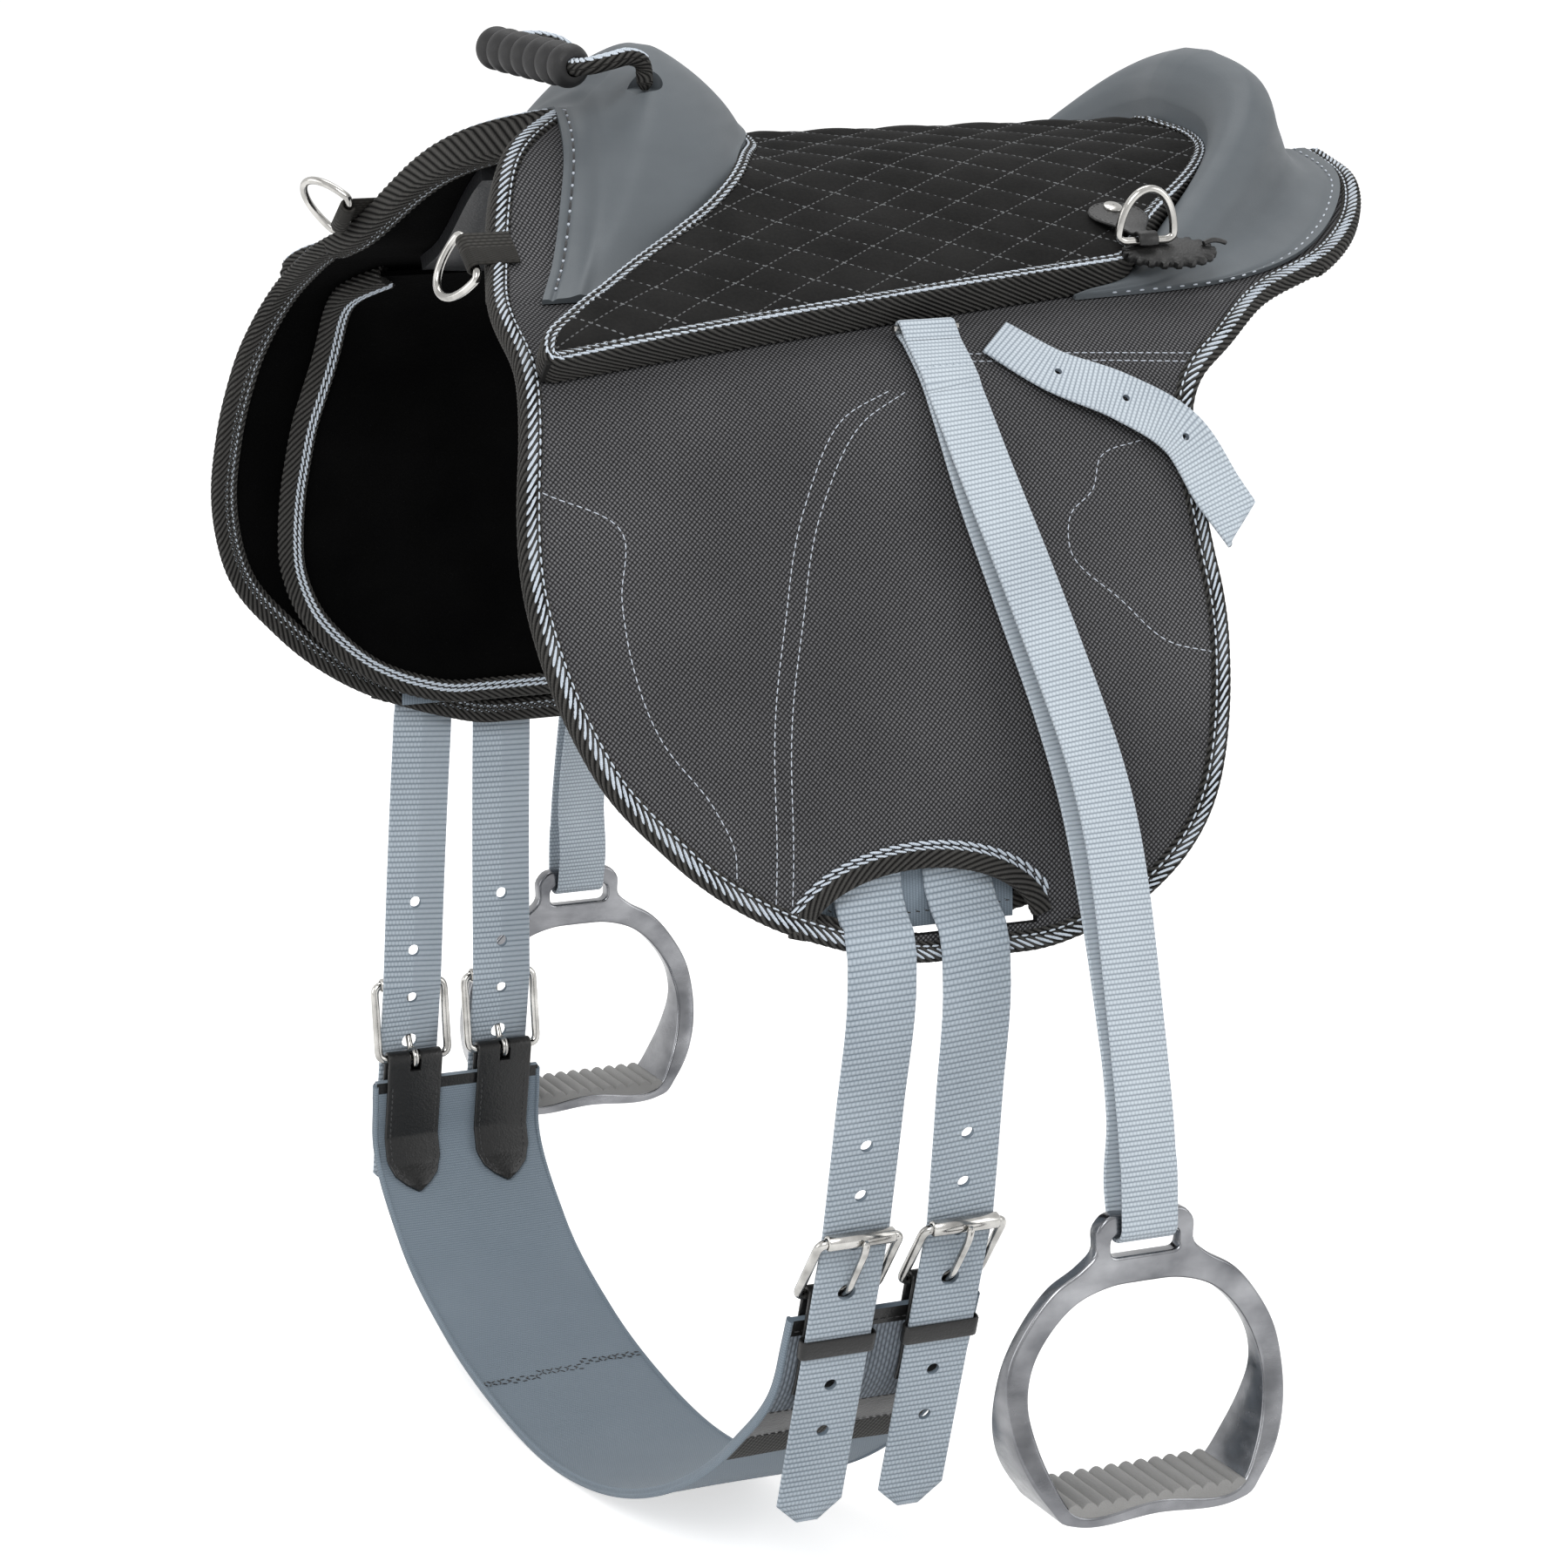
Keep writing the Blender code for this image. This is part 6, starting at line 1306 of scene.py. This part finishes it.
def rosette(side, side_name, out, base):
    """A pinked leather oval, a little domed, with a lace through it."""
    level = np.cross(out, AHEAD)
    turns = circle(6 * ROSETTE_TEETH)
    tooth = ROSETTE_TOOTH * (0.5 + 0.5 * np.tanh(3.5 * np.cos(turns * ROSETTE_TEETH)))
    centre = on_pad(ROSETTE_X, side * ROSETTE_ARC, base)
    verts, spots = [], []
    for share, height in ROSETTE_RINGS:
        x = (ROSETTE_LENGTH / 2 - ROSETTE_TOOTH + tooth * share**6) * share * np.cos(turns)
        y = (ROSETTE_WIDTH / 2 - ROSETTE_TOOTH + tooth * share**6) * share * np.sin(turns)
        verts.append(centre + x[:, None] * AHEAD + y[:, None] * level + out * (height * ROSETTE_THICK * ROSETTE_SQUASH))
        spots.append(np.column_stack([x, y]))
    count = len(turns)
    faces = [tuple(f) for f in grid_faces(len(verts), count, False, True)]
    faces += [tuple(range(count))[::-1], tuple(range((len(verts) - 1) * count, len(verts) * count))]
    piece = Piece()
    piece.add(np.vstack(verts), faces, np.vstack(spots))
    lace = [centre + AHEAD * x + level * (side * y) + out * z for x, y, z in ROSETTE_LACE]
    wire(piece, curve_through(lace, 20), 0.0011, sides=8)
    piece.make(f"rosette_{side_name}_leather", ["leather"], "pad", "leather", f"rosette_{side_name}")


# The girth, its billets and buckles
def lean(side):
    angle = BILLET_LEAN[side]
    return (np.array((0, -side * math.sin(angle), -math.cos(angle))),
            np.array((0, side * math.cos(angle), -math.sin(angle))))


def roller_spot(side):
    return np.array((0, side * ROLLER_Y[side], ROLLER_Z[side]))


def bar_spot(side):
    run, out = lean(side)
    return roller_spot(side) + run * BUCKLE_HEIGHT - out * CHAPE_BAR_DROP


def girth_line():
    ends = []
    for side in (1, -1):
        run, _ = lean(side)
        ends.append([bar_spot(side) + run * (GIRTH_ENDS + share * CHAPE_LENGTH) for share in (0, 0.25, 0.5)])
    belly = [(0, y * SPREAD, GIRTH_TOP - z * GIRTH_SAG) for y, z in GIRTH_SHARES]
    return curve_through([(p[1], p[2]) for p in ends[0] + belly + ends[1][::-1]], 160)


def girth_spot(line, side, distance, out):
    run = lengths(line)
    place = distance if side > 0 else run[-1] - distance
    slope = np.gradient(line, run, axis=0)
    spot = [np.interp(place, run, line[:, k]) for k in (0, 1)]
    along = [np.interp(place, run, slope[:, k]) for k in (0, 1)]
    size = math.hypot(*along)
    return np.array((0, spot[0] - along[1] / size * out, spot[1] + along[0] / size * out))


def girth():
    line = girth_line()
    middle = np.column_stack([np.linspace(GIRTH_X[1], GIRTH_X[-1], len(line)), line])
    path = Line(middle, np.cross(AHEAD, np.gradient(middle, axis=0)), 0.002)
    columns = np.linspace(-0.5, 0.5, 40)
    sag = 0.0012 * np.sin(path.run / 0.045) * np.sin(path.run / 0.021)
    ease_in = ease(path.run / 0.09) * ease((path.length - path.run) / 0.09)
    bow = (sag * ease_in)[:, None] * np.cos(columns * 5)[None]
    rows = path.points[:, None] + AHEAD * (columns * GIRTH_WIDTH)[None, :, None]
    outer = rows + path.outs[:, None] * (GIRTH_THICK / 2 + bow * 0.4)[..., None]
    inner = rows - path.outs[:, None] * (GIRTH_THICK / 2 - bow * 0.4)[..., None]
    uv = np.stack(np.broadcast_arrays(path.run[:, None], columns[None] * GIRTH_WIDTH), -1)
    piece = Piece()
    slab(piece, outer, inner, uv, inside_out=True)
    # The near end's outer face has its own cloths, and both ends a leather hem
    count = len(path.run) - 1
    shown = path.run[:-1]
    looks = np.array(piece.looks)
    belt = np.zeros(count, int)
    for start, stop, look in GIRTH_PARTS:
        belt[(shown >= start) & (shown < stop)] = look
    hems = (shown < GIRTH_PARTS[0][1]) | (shown > path.length - GIRTH_OFF_HEM)
    belt[hems] = 3
    per = len(columns) - 1
    looks[:count * per] = np.repeat(belt, per)
    looks[count * per:2 * count * per] = np.repeat(np.where(hems, 3, 0), per)
    piece.looks = list(looks)
    made = piece.make("girth_belt", ["girth", "girth_ribs", "black_ribs", "leather"], "girth", "girth", "girth_band")
    for edge, edge_name in ((-1, "rear"), (1, "front")):
        keep = path.run < path.length - 0.002
        rim = Line(path.points[keep] + AHEAD * (edge * (GIRTH_WIDTH / 2)), path.outs[keep], 0.002)
        trim = swept(rim, round_profile(0.0019, 10) * np.array((0.75, 1.25)))
        trim.make(f"girth_binding_{edge_name}", ["girth"], "girth", "girth")
    seams(path)
    for side, side_name, word in SIDES:
        for place, place_name in ((1, "front"), (-1, "rear")):
            name = f"{place_name}_{side_name}"
            x = GIRTH_X[side] + place * BILLET_SPACING / 2
            billet(side, name, x, WINDOW_BILLET_X[side] + place * WINDOW_SPACING / 2)
            buckle(side, name, f"{place_name}_{word}", x)
            chape(side, name, x, line)
            keeper(side, name, x)


def seams(path):
    """The zigzag seam on the inner face, and the rows of stitches by the near end's cloths."""
    seam = Piece()
    middle = path.length * GIRTH_SEAM_SHARE
    for start, stop, drift in ZIGZAG_PARTS:
        for swing in (-0.0025, 0.0025):
            places = np.linspace(start, stop, 12)
            points, _, _, outs = path.at(middle + drift + swing * np.cos(places * 60))
            points = points + AHEAD * (places * GIRTH_WIDTH)[:, None] - outs * (GIRTH_THICK / 2 + 0.0003)
            bars(seam, Line(points, -outs, 0.001), **ZIGZAG_STITCH)
    for run in GIRTH_SEAMS:
        points, _, _, outs = path.at(np.full(12, run))
        points = points + AHEAD * (np.linspace(-0.48, 0.48, 12) * GIRTH_WIDTH)[:, None] + outs * (GIRTH_THICK / 2)
        bars(seam, Line(points, outs, 0.001), out=0.0002, **SEAM_STITCH)
    seam.make("girth_seams", ["dark_stitch"], "girth", "girth")


def billet(side, name, x, window_x):
    run, out = lean(side)
    meet = roller_spot(side)
    hidden = -FLAP_THICK - PLAY - BILLET_THICK / 2
    clear = BILLET_THICK / 2 + PLAY
    sill = FLAP_ARC - WINDOW_SILL
    top = [on_pad(0, side * arc, height) for arc, height in (
        (BILLET_TOP_ARC, hidden), ((BILLET_TOP_ARC + BILLET_EXIT_ARC) / 2, hidden), (BILLET_EXIT_ARC, hidden),
        (sill, clear + TAPE_CLEAR), (FLAP_ARC + WINDOW_SILL / 2, clear + TAPE_CLEAR))]
    upper = curve_through(top + [(top[-1] + meet) / 2 + out * (BILLET_THICK / 2), meet], BILLET_SAMPLES)
    length = lengths(upper)
    spots = np.column_stack([window_x + (x - window_x) * length / length[-1], upper[:, 1:]])
    meet = spots[-1]
    tip = BILLET_TAIL[side]
    path = np.vstack([spots, [meet + run * distance for distance in np.linspace(0.004, tip, 40)]])
    outs = unit(np.cross(np.gradient(path, axis=0), np.broadcast_to(AHEAD, path.shape)))
    line = Line(path, outs if side < 0 else -outs, 0.0016)
    left = line.length - line.run
    widths = np.interp(left, (0, 0.0008, 0.0095), (0.34, 0.40, 1))
    piece = swept(line, strip_profile(BILLET_WIDTH, BILLET_THICK), widths=widths)
    made = piece.make(f"billet_{name}_webbing", ["billet"], "girth", "strap_webbing", f"billet_{name}")
    holes = [drill(TONGUE_HOLE, meet + run * (BUCKLE_HEIGHT - TONGUE_RISE), out, 0.008)]
    for step in BILLET_HOLES:
        below = BUCKLE_HEIGHT - TONGUE_RISE + step * BILLET_HOLE_PITCH
        if below > tip - BILLET_HOLE_PITCH / 2:
            continue
        centre = meet + run * below
        if below < 0:
            centre = np.array([np.interp(length[-1] + below, length, column) for column in spots.T])
        holes.append(drill(BILLET_HOLE, centre, out, 0.008))
    cut(made, *both(*holes))


def buckle(side, name, word, x):
    run, out = lean(side)
    bar = bar_spot(side) + AHEAD * x
    roller = roller_spot(side) + AHEAD * x + out * (BILLET_THICK / 2 + GAP + ROLLER_RADIUS)
    half = BUCKLE_WIDTH / 2 - BUCKLE_WIRE
    corners = [roller - AHEAD * half, roller + AHEAD * half, bar + AHEAD * half, bar - AHEAD * half]
    piece = Piece()
    wire(piece, rounded(corners, BUCKLE_CORNER * 2.2), BUCKLE_WIRE, closed=True)
    piece.make(f"buckle_frame_{name}_wire", ["steel"], "girth", "steel", f"buckle_frame_{name}")
    bore, ends, soft = BUCKLE_WIRE + GAP, ROLLER_LENGTH / 2, 0.0006
    tube = [(bore, -ends), (ROLLER_RADIUS - soft, -ends), (ROLLER_RADIUS, soft - ends), (ROLLER_RADIUS, ends - soft),
            (ROLLER_RADIUS - soft, ends), (bore, ends)]
    turned(tube, roller, AHEAD, 36).make(f"buckle_roller_{name}_tube", ["steel"], f"roller_{word}", "steel",
                                         f"buckle_roller_{name}", angle=60)
    round_bar = BUCKLE_WIRE + GAP + TONGUE_WIRE
    wrap = [bar + out * (round_bar * math.cos(t)) + run * (round_bar * math.sin(t))
            for t in np.radians(range(-270, 1, 15))]
    above = roller + out * (ROLLER_RADIUS + PLAY + TONGUE_WIRE)
    crook = bar + out * (CHAPE_BAR_DROP + BILLET_THICK / 2 + TONGUE_WIRE) - run * TONGUE_CROOK
    neck = bar + out * (CHAPE_BAR_DROP - BILLET_THICK) - run * TONGUE_NECK
    shank = [neck, crook, above + run * (ROLLER_RADIUS * 0.9), above - run * (ROLLER_RADIUS * 0.8)]
    piece = Piece()
    bent = rounded([wrap[-1], *shank], 0.004, 6, closed=False)
    wire(piece, np.vstack([wrap, bent[1:]]), TONGUE_WIRE, sides=12, ends=0.5)
    piece.make(f"buckle_tongue_{name}_wire", ["steel"], f"tongue_{word}", "steel", f"buckle_tongue_{name}")


def chape(side, name, x, line):
    run, out = lean(side)
    bar = bar_spot(side)
    leaf = GIRTH_THICK / 2 + PLAY + CHAPE_THICK / 2
    if girth_spot(line, side, 0, leaf)[1] * side <= girth_spot(line, side, 0, -leaf)[1] * side:
        leaf = -leaf
    inner = [girth_spot(line, side, CHAPE_LENGTH * share, -leaf) for share in CHAPE_STEPS_SHARE[::-1]]
    outer = [girth_spot(line, side, CHAPE_LENGTH * share * CHAPE_OUTER_SHARE, leaf) for share in CHAPE_STEPS_SHARE]
    radius = BUCKLE_WIRE + GAP + CHAPE_THICK / 2
    wrap = [bar - out * (radius * math.cos(t)) - run * (radius * math.sin(t)) for t in np.radians(range(0, 181, 30))]
    points = np.array([(x, spot[1], spot[2]) for spot in inner + wrap + outer])
    smooth = even(points, step=0.0012)
    smooth[1:-1] = (smooth[:-2] + 2 * smooth[1:-1] + smooth[2:]) / 4
    outs = unit(np.cross(np.gradient(smooth, axis=0), np.broadcast_to(AHEAD, smooth.shape)))
    way = 1 if np.dot(outs[len(outs) // 2], run) < 0 else -1
    path = Line(smooth, outs * way, 0.0008)
    widths = np.interp(path.run, *CHAPE_TIP)
    piece = swept(path, strip_profile(CHAPE_WIDTH, CHAPE_THICK, 4), widths=widths)
    made = piece.make(f"chape_{name}_leather", ["leather"], "girth", "leather", f"chape_{name}")
    reach = 2 * (BUCKLE_WIRE + CHAPE_THICK)
    middle = np.array((x, bar[1], bar[2])) - run * (reach / 4)
    cut(made, *prism(oblong(middle, AHEAD * TONGUE_SLOT / 2, run * reach), out, 2 * reach))
    threads = Piece()
    inset = np.maximum(widths * CHAPE_WIDTH / 2 - 0.0026, 0)
    sewn = (path.run > 0.0042) & (path.run < CHAPE_LENGTH * 0.93)
    for edge in (-1, 1):
        spots = path.points[sewn] + path.across[sewn] * (edge * inset[sewn])[:, None]
        bars(threads, Line(spots, path.outs[sewn], 0.001), out=CHAPE_THICK / 2, **CHAPE_STITCH)
    threads.make(f"chape_{name}_stitches", ["dark_stitch"], "girth", "leather")


def keeper(side, name, x):
    run, out = lean(side)
    centre = roller_spot(side) + run * (BUCKLE_HEIGHT + KEEPER_DOWN) + AHEAD * x
    half = (BILLET_WIDTH + 2 * GAP + PLAY) / 2 + KEEPER_WALL / 2
    deep = (BILLET_THICK + 2 * GAP) / 2 + KEEPER_WALL / 2
    corners = [centre + AHEAD * (a * half) + out * (b * deep) for a, b in ((-1, -1), (1, -1), (1, 1), (-1, 1))]
    path = rounded(corners, 0.0016, 4)
    outs = unit(path - centre)
    line = Line(path, outs, 0.0008, closed=True)
    piece = swept(line, strip_profile(KEEPER_LENGTH, KEEPER_WALL))
    piece.make(f"keeper_{name}_leather", ["leather"], "girth", "leather", f"keeper_{name}")


# The stirrups
def strap_directions(side):
    return (np.array((0, side * math.sin(SWING_LEAN), -math.cos(SWING_LEAN))),
            np.array((0, side * math.cos(SWING_LEAN), math.sin(SWING_LEAN))))


def strap_point(side, q, h):
    down, out = strap_directions(side)
    x = STRAP_DRIFT * float(ease(q / (STRAP_DRIFT_SHARE * STRAP_LENGTH)))
    return on_pad(STRAP_X, side * STRAP_PIVOT_ARC) + down * q + out * h + AHEAD * x


def strap(side, side_name, word):
    outer = [strap_point(side, q * STRAP_LENGTH, h * STRAP_BOW) for q, h in OUTER_LAYER_SHARES]
    inner = [strap_point(side, q * STRAP_LENGTH, h * STRAP_BOW) for q, h in INNER_LAYER_SHARES]
    eye = strap_point(side, STRAP_LENGTH, STRAP_EYE_OUT)
    radius = math.hypot(IRON_EYE_BAR / 2, IRON_THICK / 2) + PLAY / 2 + STRAP_THICK / 2
    wrap = [eye + np.array((0, side * radius * math.cos(t), -radius * math.sin(t)))
            for t in np.radians(range(0, 181, 15))]
    fold = HANGER_WIRE + GAP + STRAP_THICK / 2
    over = [strap_point(side, -STRAP_BAR_UP - fold * math.sin(t), PLAY - fold * math.cos(t))
            for t in np.radians(range(-30, 181, 15))]
    over.append(over[-1] + (outer[0] - over[-1]) * HEM_SHARE)
    down = curve_through(outer + [wrap[0]], 120)[:-1]
    down[8:-8] = np.stack([np.convolve(column, np.ones(17) / 17, "valid") for column in down.T], 1)
    down = list(down)
    up = list(curve_through([wrap[-1]] + inner[::-1], 120)[1:])
    points = np.array(down + wrap + up + over)
    slopes = np.gradient(points, axis=0)
    outs = unit(np.cross(slopes, np.broadcast_to(AHEAD, slopes.shape))) * side
    down_way, out = strap_directions(side)
    if np.dot(outs[40], out) < 0:
        outs = -outs
    line = Line(points, outs, 0.0012)
    piece = swept(line, strip_profile(STRAP_WIDTH, STRAP_THICK))
    made = piece.make(f"stirrup_strap_{side_name}_webbing", ["strap"], f"strap_{word}", "strap_webbing",
                      f"stirrup_strap_{side_name}")
    depth = 2.5 * fold
    middle = strap_point(side, -STRAP_BAR_UP - fold / 4, PLAY - (depth - fold) / 2)
    cut(made, *prism(oblong(middle, AHEAD * POST_SLOT_HALF, down_way * 1.25 * fold), out, 2.52 * fold))
    threads = Piece()
    level = line.points[12] + line.across[12] * np.linspace(-0.42, 0.42, 10)[:, None] * STRAP_WIDTH
    bars(threads, Line(level, np.broadcast_to(line.outs[12], level.shape), 0.001), out=STRAP_THICK / 2, **HEM_STITCH)
    threads.make(f"stirrup_strap_{side_name}_hem", ["strap"], f"strap_{word}", "strap_webbing")


def strap_tail(side, side_name):
    places, normals = [], []
    for x, arc, out in TAIL_STRAP_SHARES:
        arc = STRAP_PIVOT_ARC + arc * TAIL_STRAP_RUN
        places.append(on_pad(STRAP_X - x * TAIL_STRAP_RUN, side * arc, out * TAIL_STRAP_RUN))
        normals.append(out_of_pad(side * arc))
    spots, bends = curve_through(places, 15), curve_through(normals, 15)
    line = Line(curve_through(places, 90), curve_through(normals, 90), 0.0014)
    left = line.length - line.run
    # The tip is cut aslant: one edge ends before the other
    profile = np.repeat(strip_profile(TAIL_STRAP_WIDTH, STRAP_THICK)[None], len(line.points), 0)
    low = -TAIL_STRAP_WIDTH / 2 + TAIL_STRAP_WIDTH * np.clip(1 - left / 0.013, 0, 0.93)
    edge = np.broadcast_to(low[:, None], profile[..., 0].shape)
    profile[..., 0] = np.maximum(profile[..., 0], edge) if side > 0 else np.minimum(profile[..., 0], -edge)
    made = swept(line, profile).make(f"strap_tail_{side_name}_webbing", ["strap"], "pad", "strap_webbing",
                                     f"strap_tail_{side_name}")
    holes = []
    for hole in range(TAIL_STRAP_HOLES):
        spot = round((len(spots) - 1) * (hole + 1) / (TAIL_STRAP_HOLES + 1.5))
        holes.append(drill(TAIL_STRAP_HOLE * 0.8, spots[spot], bends[spot], 0.008))
    cut(made, *both(*holes))


def iron(side, side_name, word):
    eye = strap_point(side, STRAP_LENGTH, STRAP_EYE_OUT)
    half, top = IRON_WIDTH / 2, IRON_EYE_BAR / 2

    def deeper(z):
        return (TREAD_DEPTH - IRON_THICK) / 2 * float(ease((-0.38 * IRON_HEIGHT - z) / (0.58 * IRON_HEIGHT)))

    def loop(shares, count):
        spots = curve_through([(x * half, top + z * IRON_HEIGHT) for x, z in shares], count)
        return np.vstack([spots, (spots[1:-1] * np.array((-1, 1)))[::-1]])
    slot_half, slot_top = IRON_EYE_WIDTH / 2, -IRON_EYE_BAR / 2
    slot = rounded([(-slot_half, slot_top), (slot_half, slot_top), (slot_half, slot_top - IRON_EYE_HEIGHT),
                    (-slot_half, slot_top - IRON_EYE_HEIGHT)], 0.0035, 6)
    flat_shape(f"stirrup_iron_{side_name}_arch", [loop(IRON_OUTER_SHARES, 90), loop(IRON_INNER_SHARES, 70), slot],
               IRON_THICK, 0.0014, eye, "iron", f"iron_{word}", f"stirrup_iron_{side_name}", deeper)
    floor = top - IRON_HEIGHT
    step = TREAD_WIDTH / TREAD_RIDGES
    x = np.linspace(TREAD_WIDTH / 2, -TREAD_WIDTH / 2, TREAD_RIDGES * 8 + 1)
    ridges = floor + TREAD_THICK - TREAD_RISE * (1 - np.abs(np.sin(math.pi * (x + TREAD_WIDTH / 2) / step))**0.8)
    corners = [(-TREAD_WIDTH / 2, floor + 0.003), (TREAD_WIDTH / 2, floor + 0.003)]
    profile = np.vstack([corners, np.column_stack([x, ridges])])
    flat_shape(f"stirrup_iron_{side_name}_tread", [profile], TREAD_DEPTH - 0.0012, 0.0005, eye, "tread", f"iron_{word}")


def flat_shape(name, outlines, thick, bevel, place, look, body, replaces=(), deepen=None):
    """An upright shape with rounded edges, from outlines in X and Z. It can grow deeper downwards."""
    data = bpy.data.curves.new(name, "CURVE")
    data.dimensions, data.fill_mode = "2D", "BOTH"
    data.extrude, data.bevel_depth, data.bevel_resolution, data.offset = thick / 2 - bevel, bevel, 3, -bevel
    for points in outlines:
        line = data.splines.new("POLY")
        line.points.add(len(points) - 1)
        for spot, point in zip(line.points, points):
            spot.co = (point[0], point[1], 0, 1)
        line.use_cyclic_u = True
    holder = placed("curve", data)
    mesh = bpy.data.meshes.new_from_object(holder.evaluated_get(bpy.context.evaluated_depsgraph_get()))
    bpy.data.objects.remove(holder)
    shape = bmesh.new()
    shape.from_mesh(mesh)
    bmesh.ops.remove_doubles(shape, verts=shape.verts[:], dist=0.00001)
    bmesh.ops.recalc_face_normals(shape, faces=shape.faces[:])
    for vert in shape.verts if deepen else ():
        vert.co.z += math.copysign(deepen(vert.co.y), vert.co.z)
    bmesh.ops.transform(shape, verts=shape.verts[:],
                        matrix=Matrix.Translation(Vector(place)) @ Matrix.Rotation(math.pi / 2, 4, "X"))
    shape.to_mesh(mesh)
    shape.free()
    mesh.name = name
    mesh.materials.clear()
    mesh.materials.append(LOOKS[look])
    return declared(name, mesh, 40, body, replaces)


# Camera, floor and light
CAMERA_LENS, CAMERA_PLACE, CAMERA_AIM = 107.66, (0.785, 1.863, 0.214), (-0.3964, -0.8902, -0.2246)
LAMPS = (
    ("key", (1.6, 2.6, 2.2), 1.6, 62), ("fill", (-2.4, 2.0, 0.9), 1.8, 22), ("front", (2.6, -0.6, 0.6), 1.6, 16),
    ("top", (-0.4, -0.8, 3.0), 2.0, 36))


def camera():
    data = bpy.data.cameras.new("camera")
    data.lens, data.sensor_width = CAMERA_LENS, 36
    data.clip_start, data.clip_end = 0.1, 60
    made = placed("camera", data)
    made.location = CAMERA_PLACE
    made.rotation_euler = Vector(CAMERA_AIM).to_track_quat("-Z", "Y").to_euler()
    bpy.context.scene.camera = made


def lamp(name, place, size, power):
    data = bpy.data.lights.new(name, "AREA")
    data.shape, data.size, data.energy = "SQUARE", size, power
    made = placed(name, data)
    made.location = place
    made.rotation_euler = (Vector((0, 0, -0.2)) - Vector(place)).to_track_quat("-Z", "Y").to_euler()


def seen_directly(tree):
    """1 where the camera, a reflection or glass sees the surface."""
    path = tree.nodes.new("ShaderNodeLightPath")
    some = calc(tree, "MAXIMUM", path.outputs["Is Camera Ray"], path.outputs["Is Glossy Ray"])
    return calc(tree, "MAXIMUM", some, path.outputs["Is Transmission Ray"])


def stage():
    scene = bpy.context.scene
    scene.view_settings.view_transform = "Standard"
    world = bpy.data.worlds.new("studio")
    scene.world = world
    world.use_nodes = True
    tree = world.node_tree
    back = tree.nodes["Background"]
    back.inputs["Color"].default_value = (1, 1, 1, 1)
    strength = calc(tree, "MULTIPLY_ADD", seen_directly(tree), 0.5, 0.5)
    tree.links.new(strength, back.inputs["Strength"])
    for name, place, size, power in LAMPS:
        lamp(name, place, size, power)
    low, _ = CAD_BOX
    mesh = bpy.data.meshes.new("floor")
    corners = ((-40, -40), (40, -40), (40, 40), (-40, 40))
    mesh.from_pydata([(x, y, low.z - 0.001) for x, y in corners], [], [(0, 1, 2, 3)])
    floor = placed("floor", mesh)
    made, tree, shader = new_look("pale_floor", 0.9)
    shader.inputs["Base Color"].default_value = (0.82, 0.82, 0.82, 1)
    shader.inputs["Emission Color"].default_value = (1, 1, 1, 1)
    tree.links.new(calc(tree, "MULTIPLY", seen_directly(tree), 0.62), shader.inputs["Emission Strength"])
    mesh.materials.append(made)


camera()
stage()
pad()
seat()
pommel()
cantle()
handle()
front_rings()
crupper()
rear_fittings()
girth()
for one_side, one_name, one_word in SIDES:
    strap(one_side, one_name, one_word)
    strap_tail(one_side, one_name)
    iron(one_side, one_name, one_word)
    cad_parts[f"strap_hanger_{one_name}"].data.materials[0] = LOOKS["steel"]
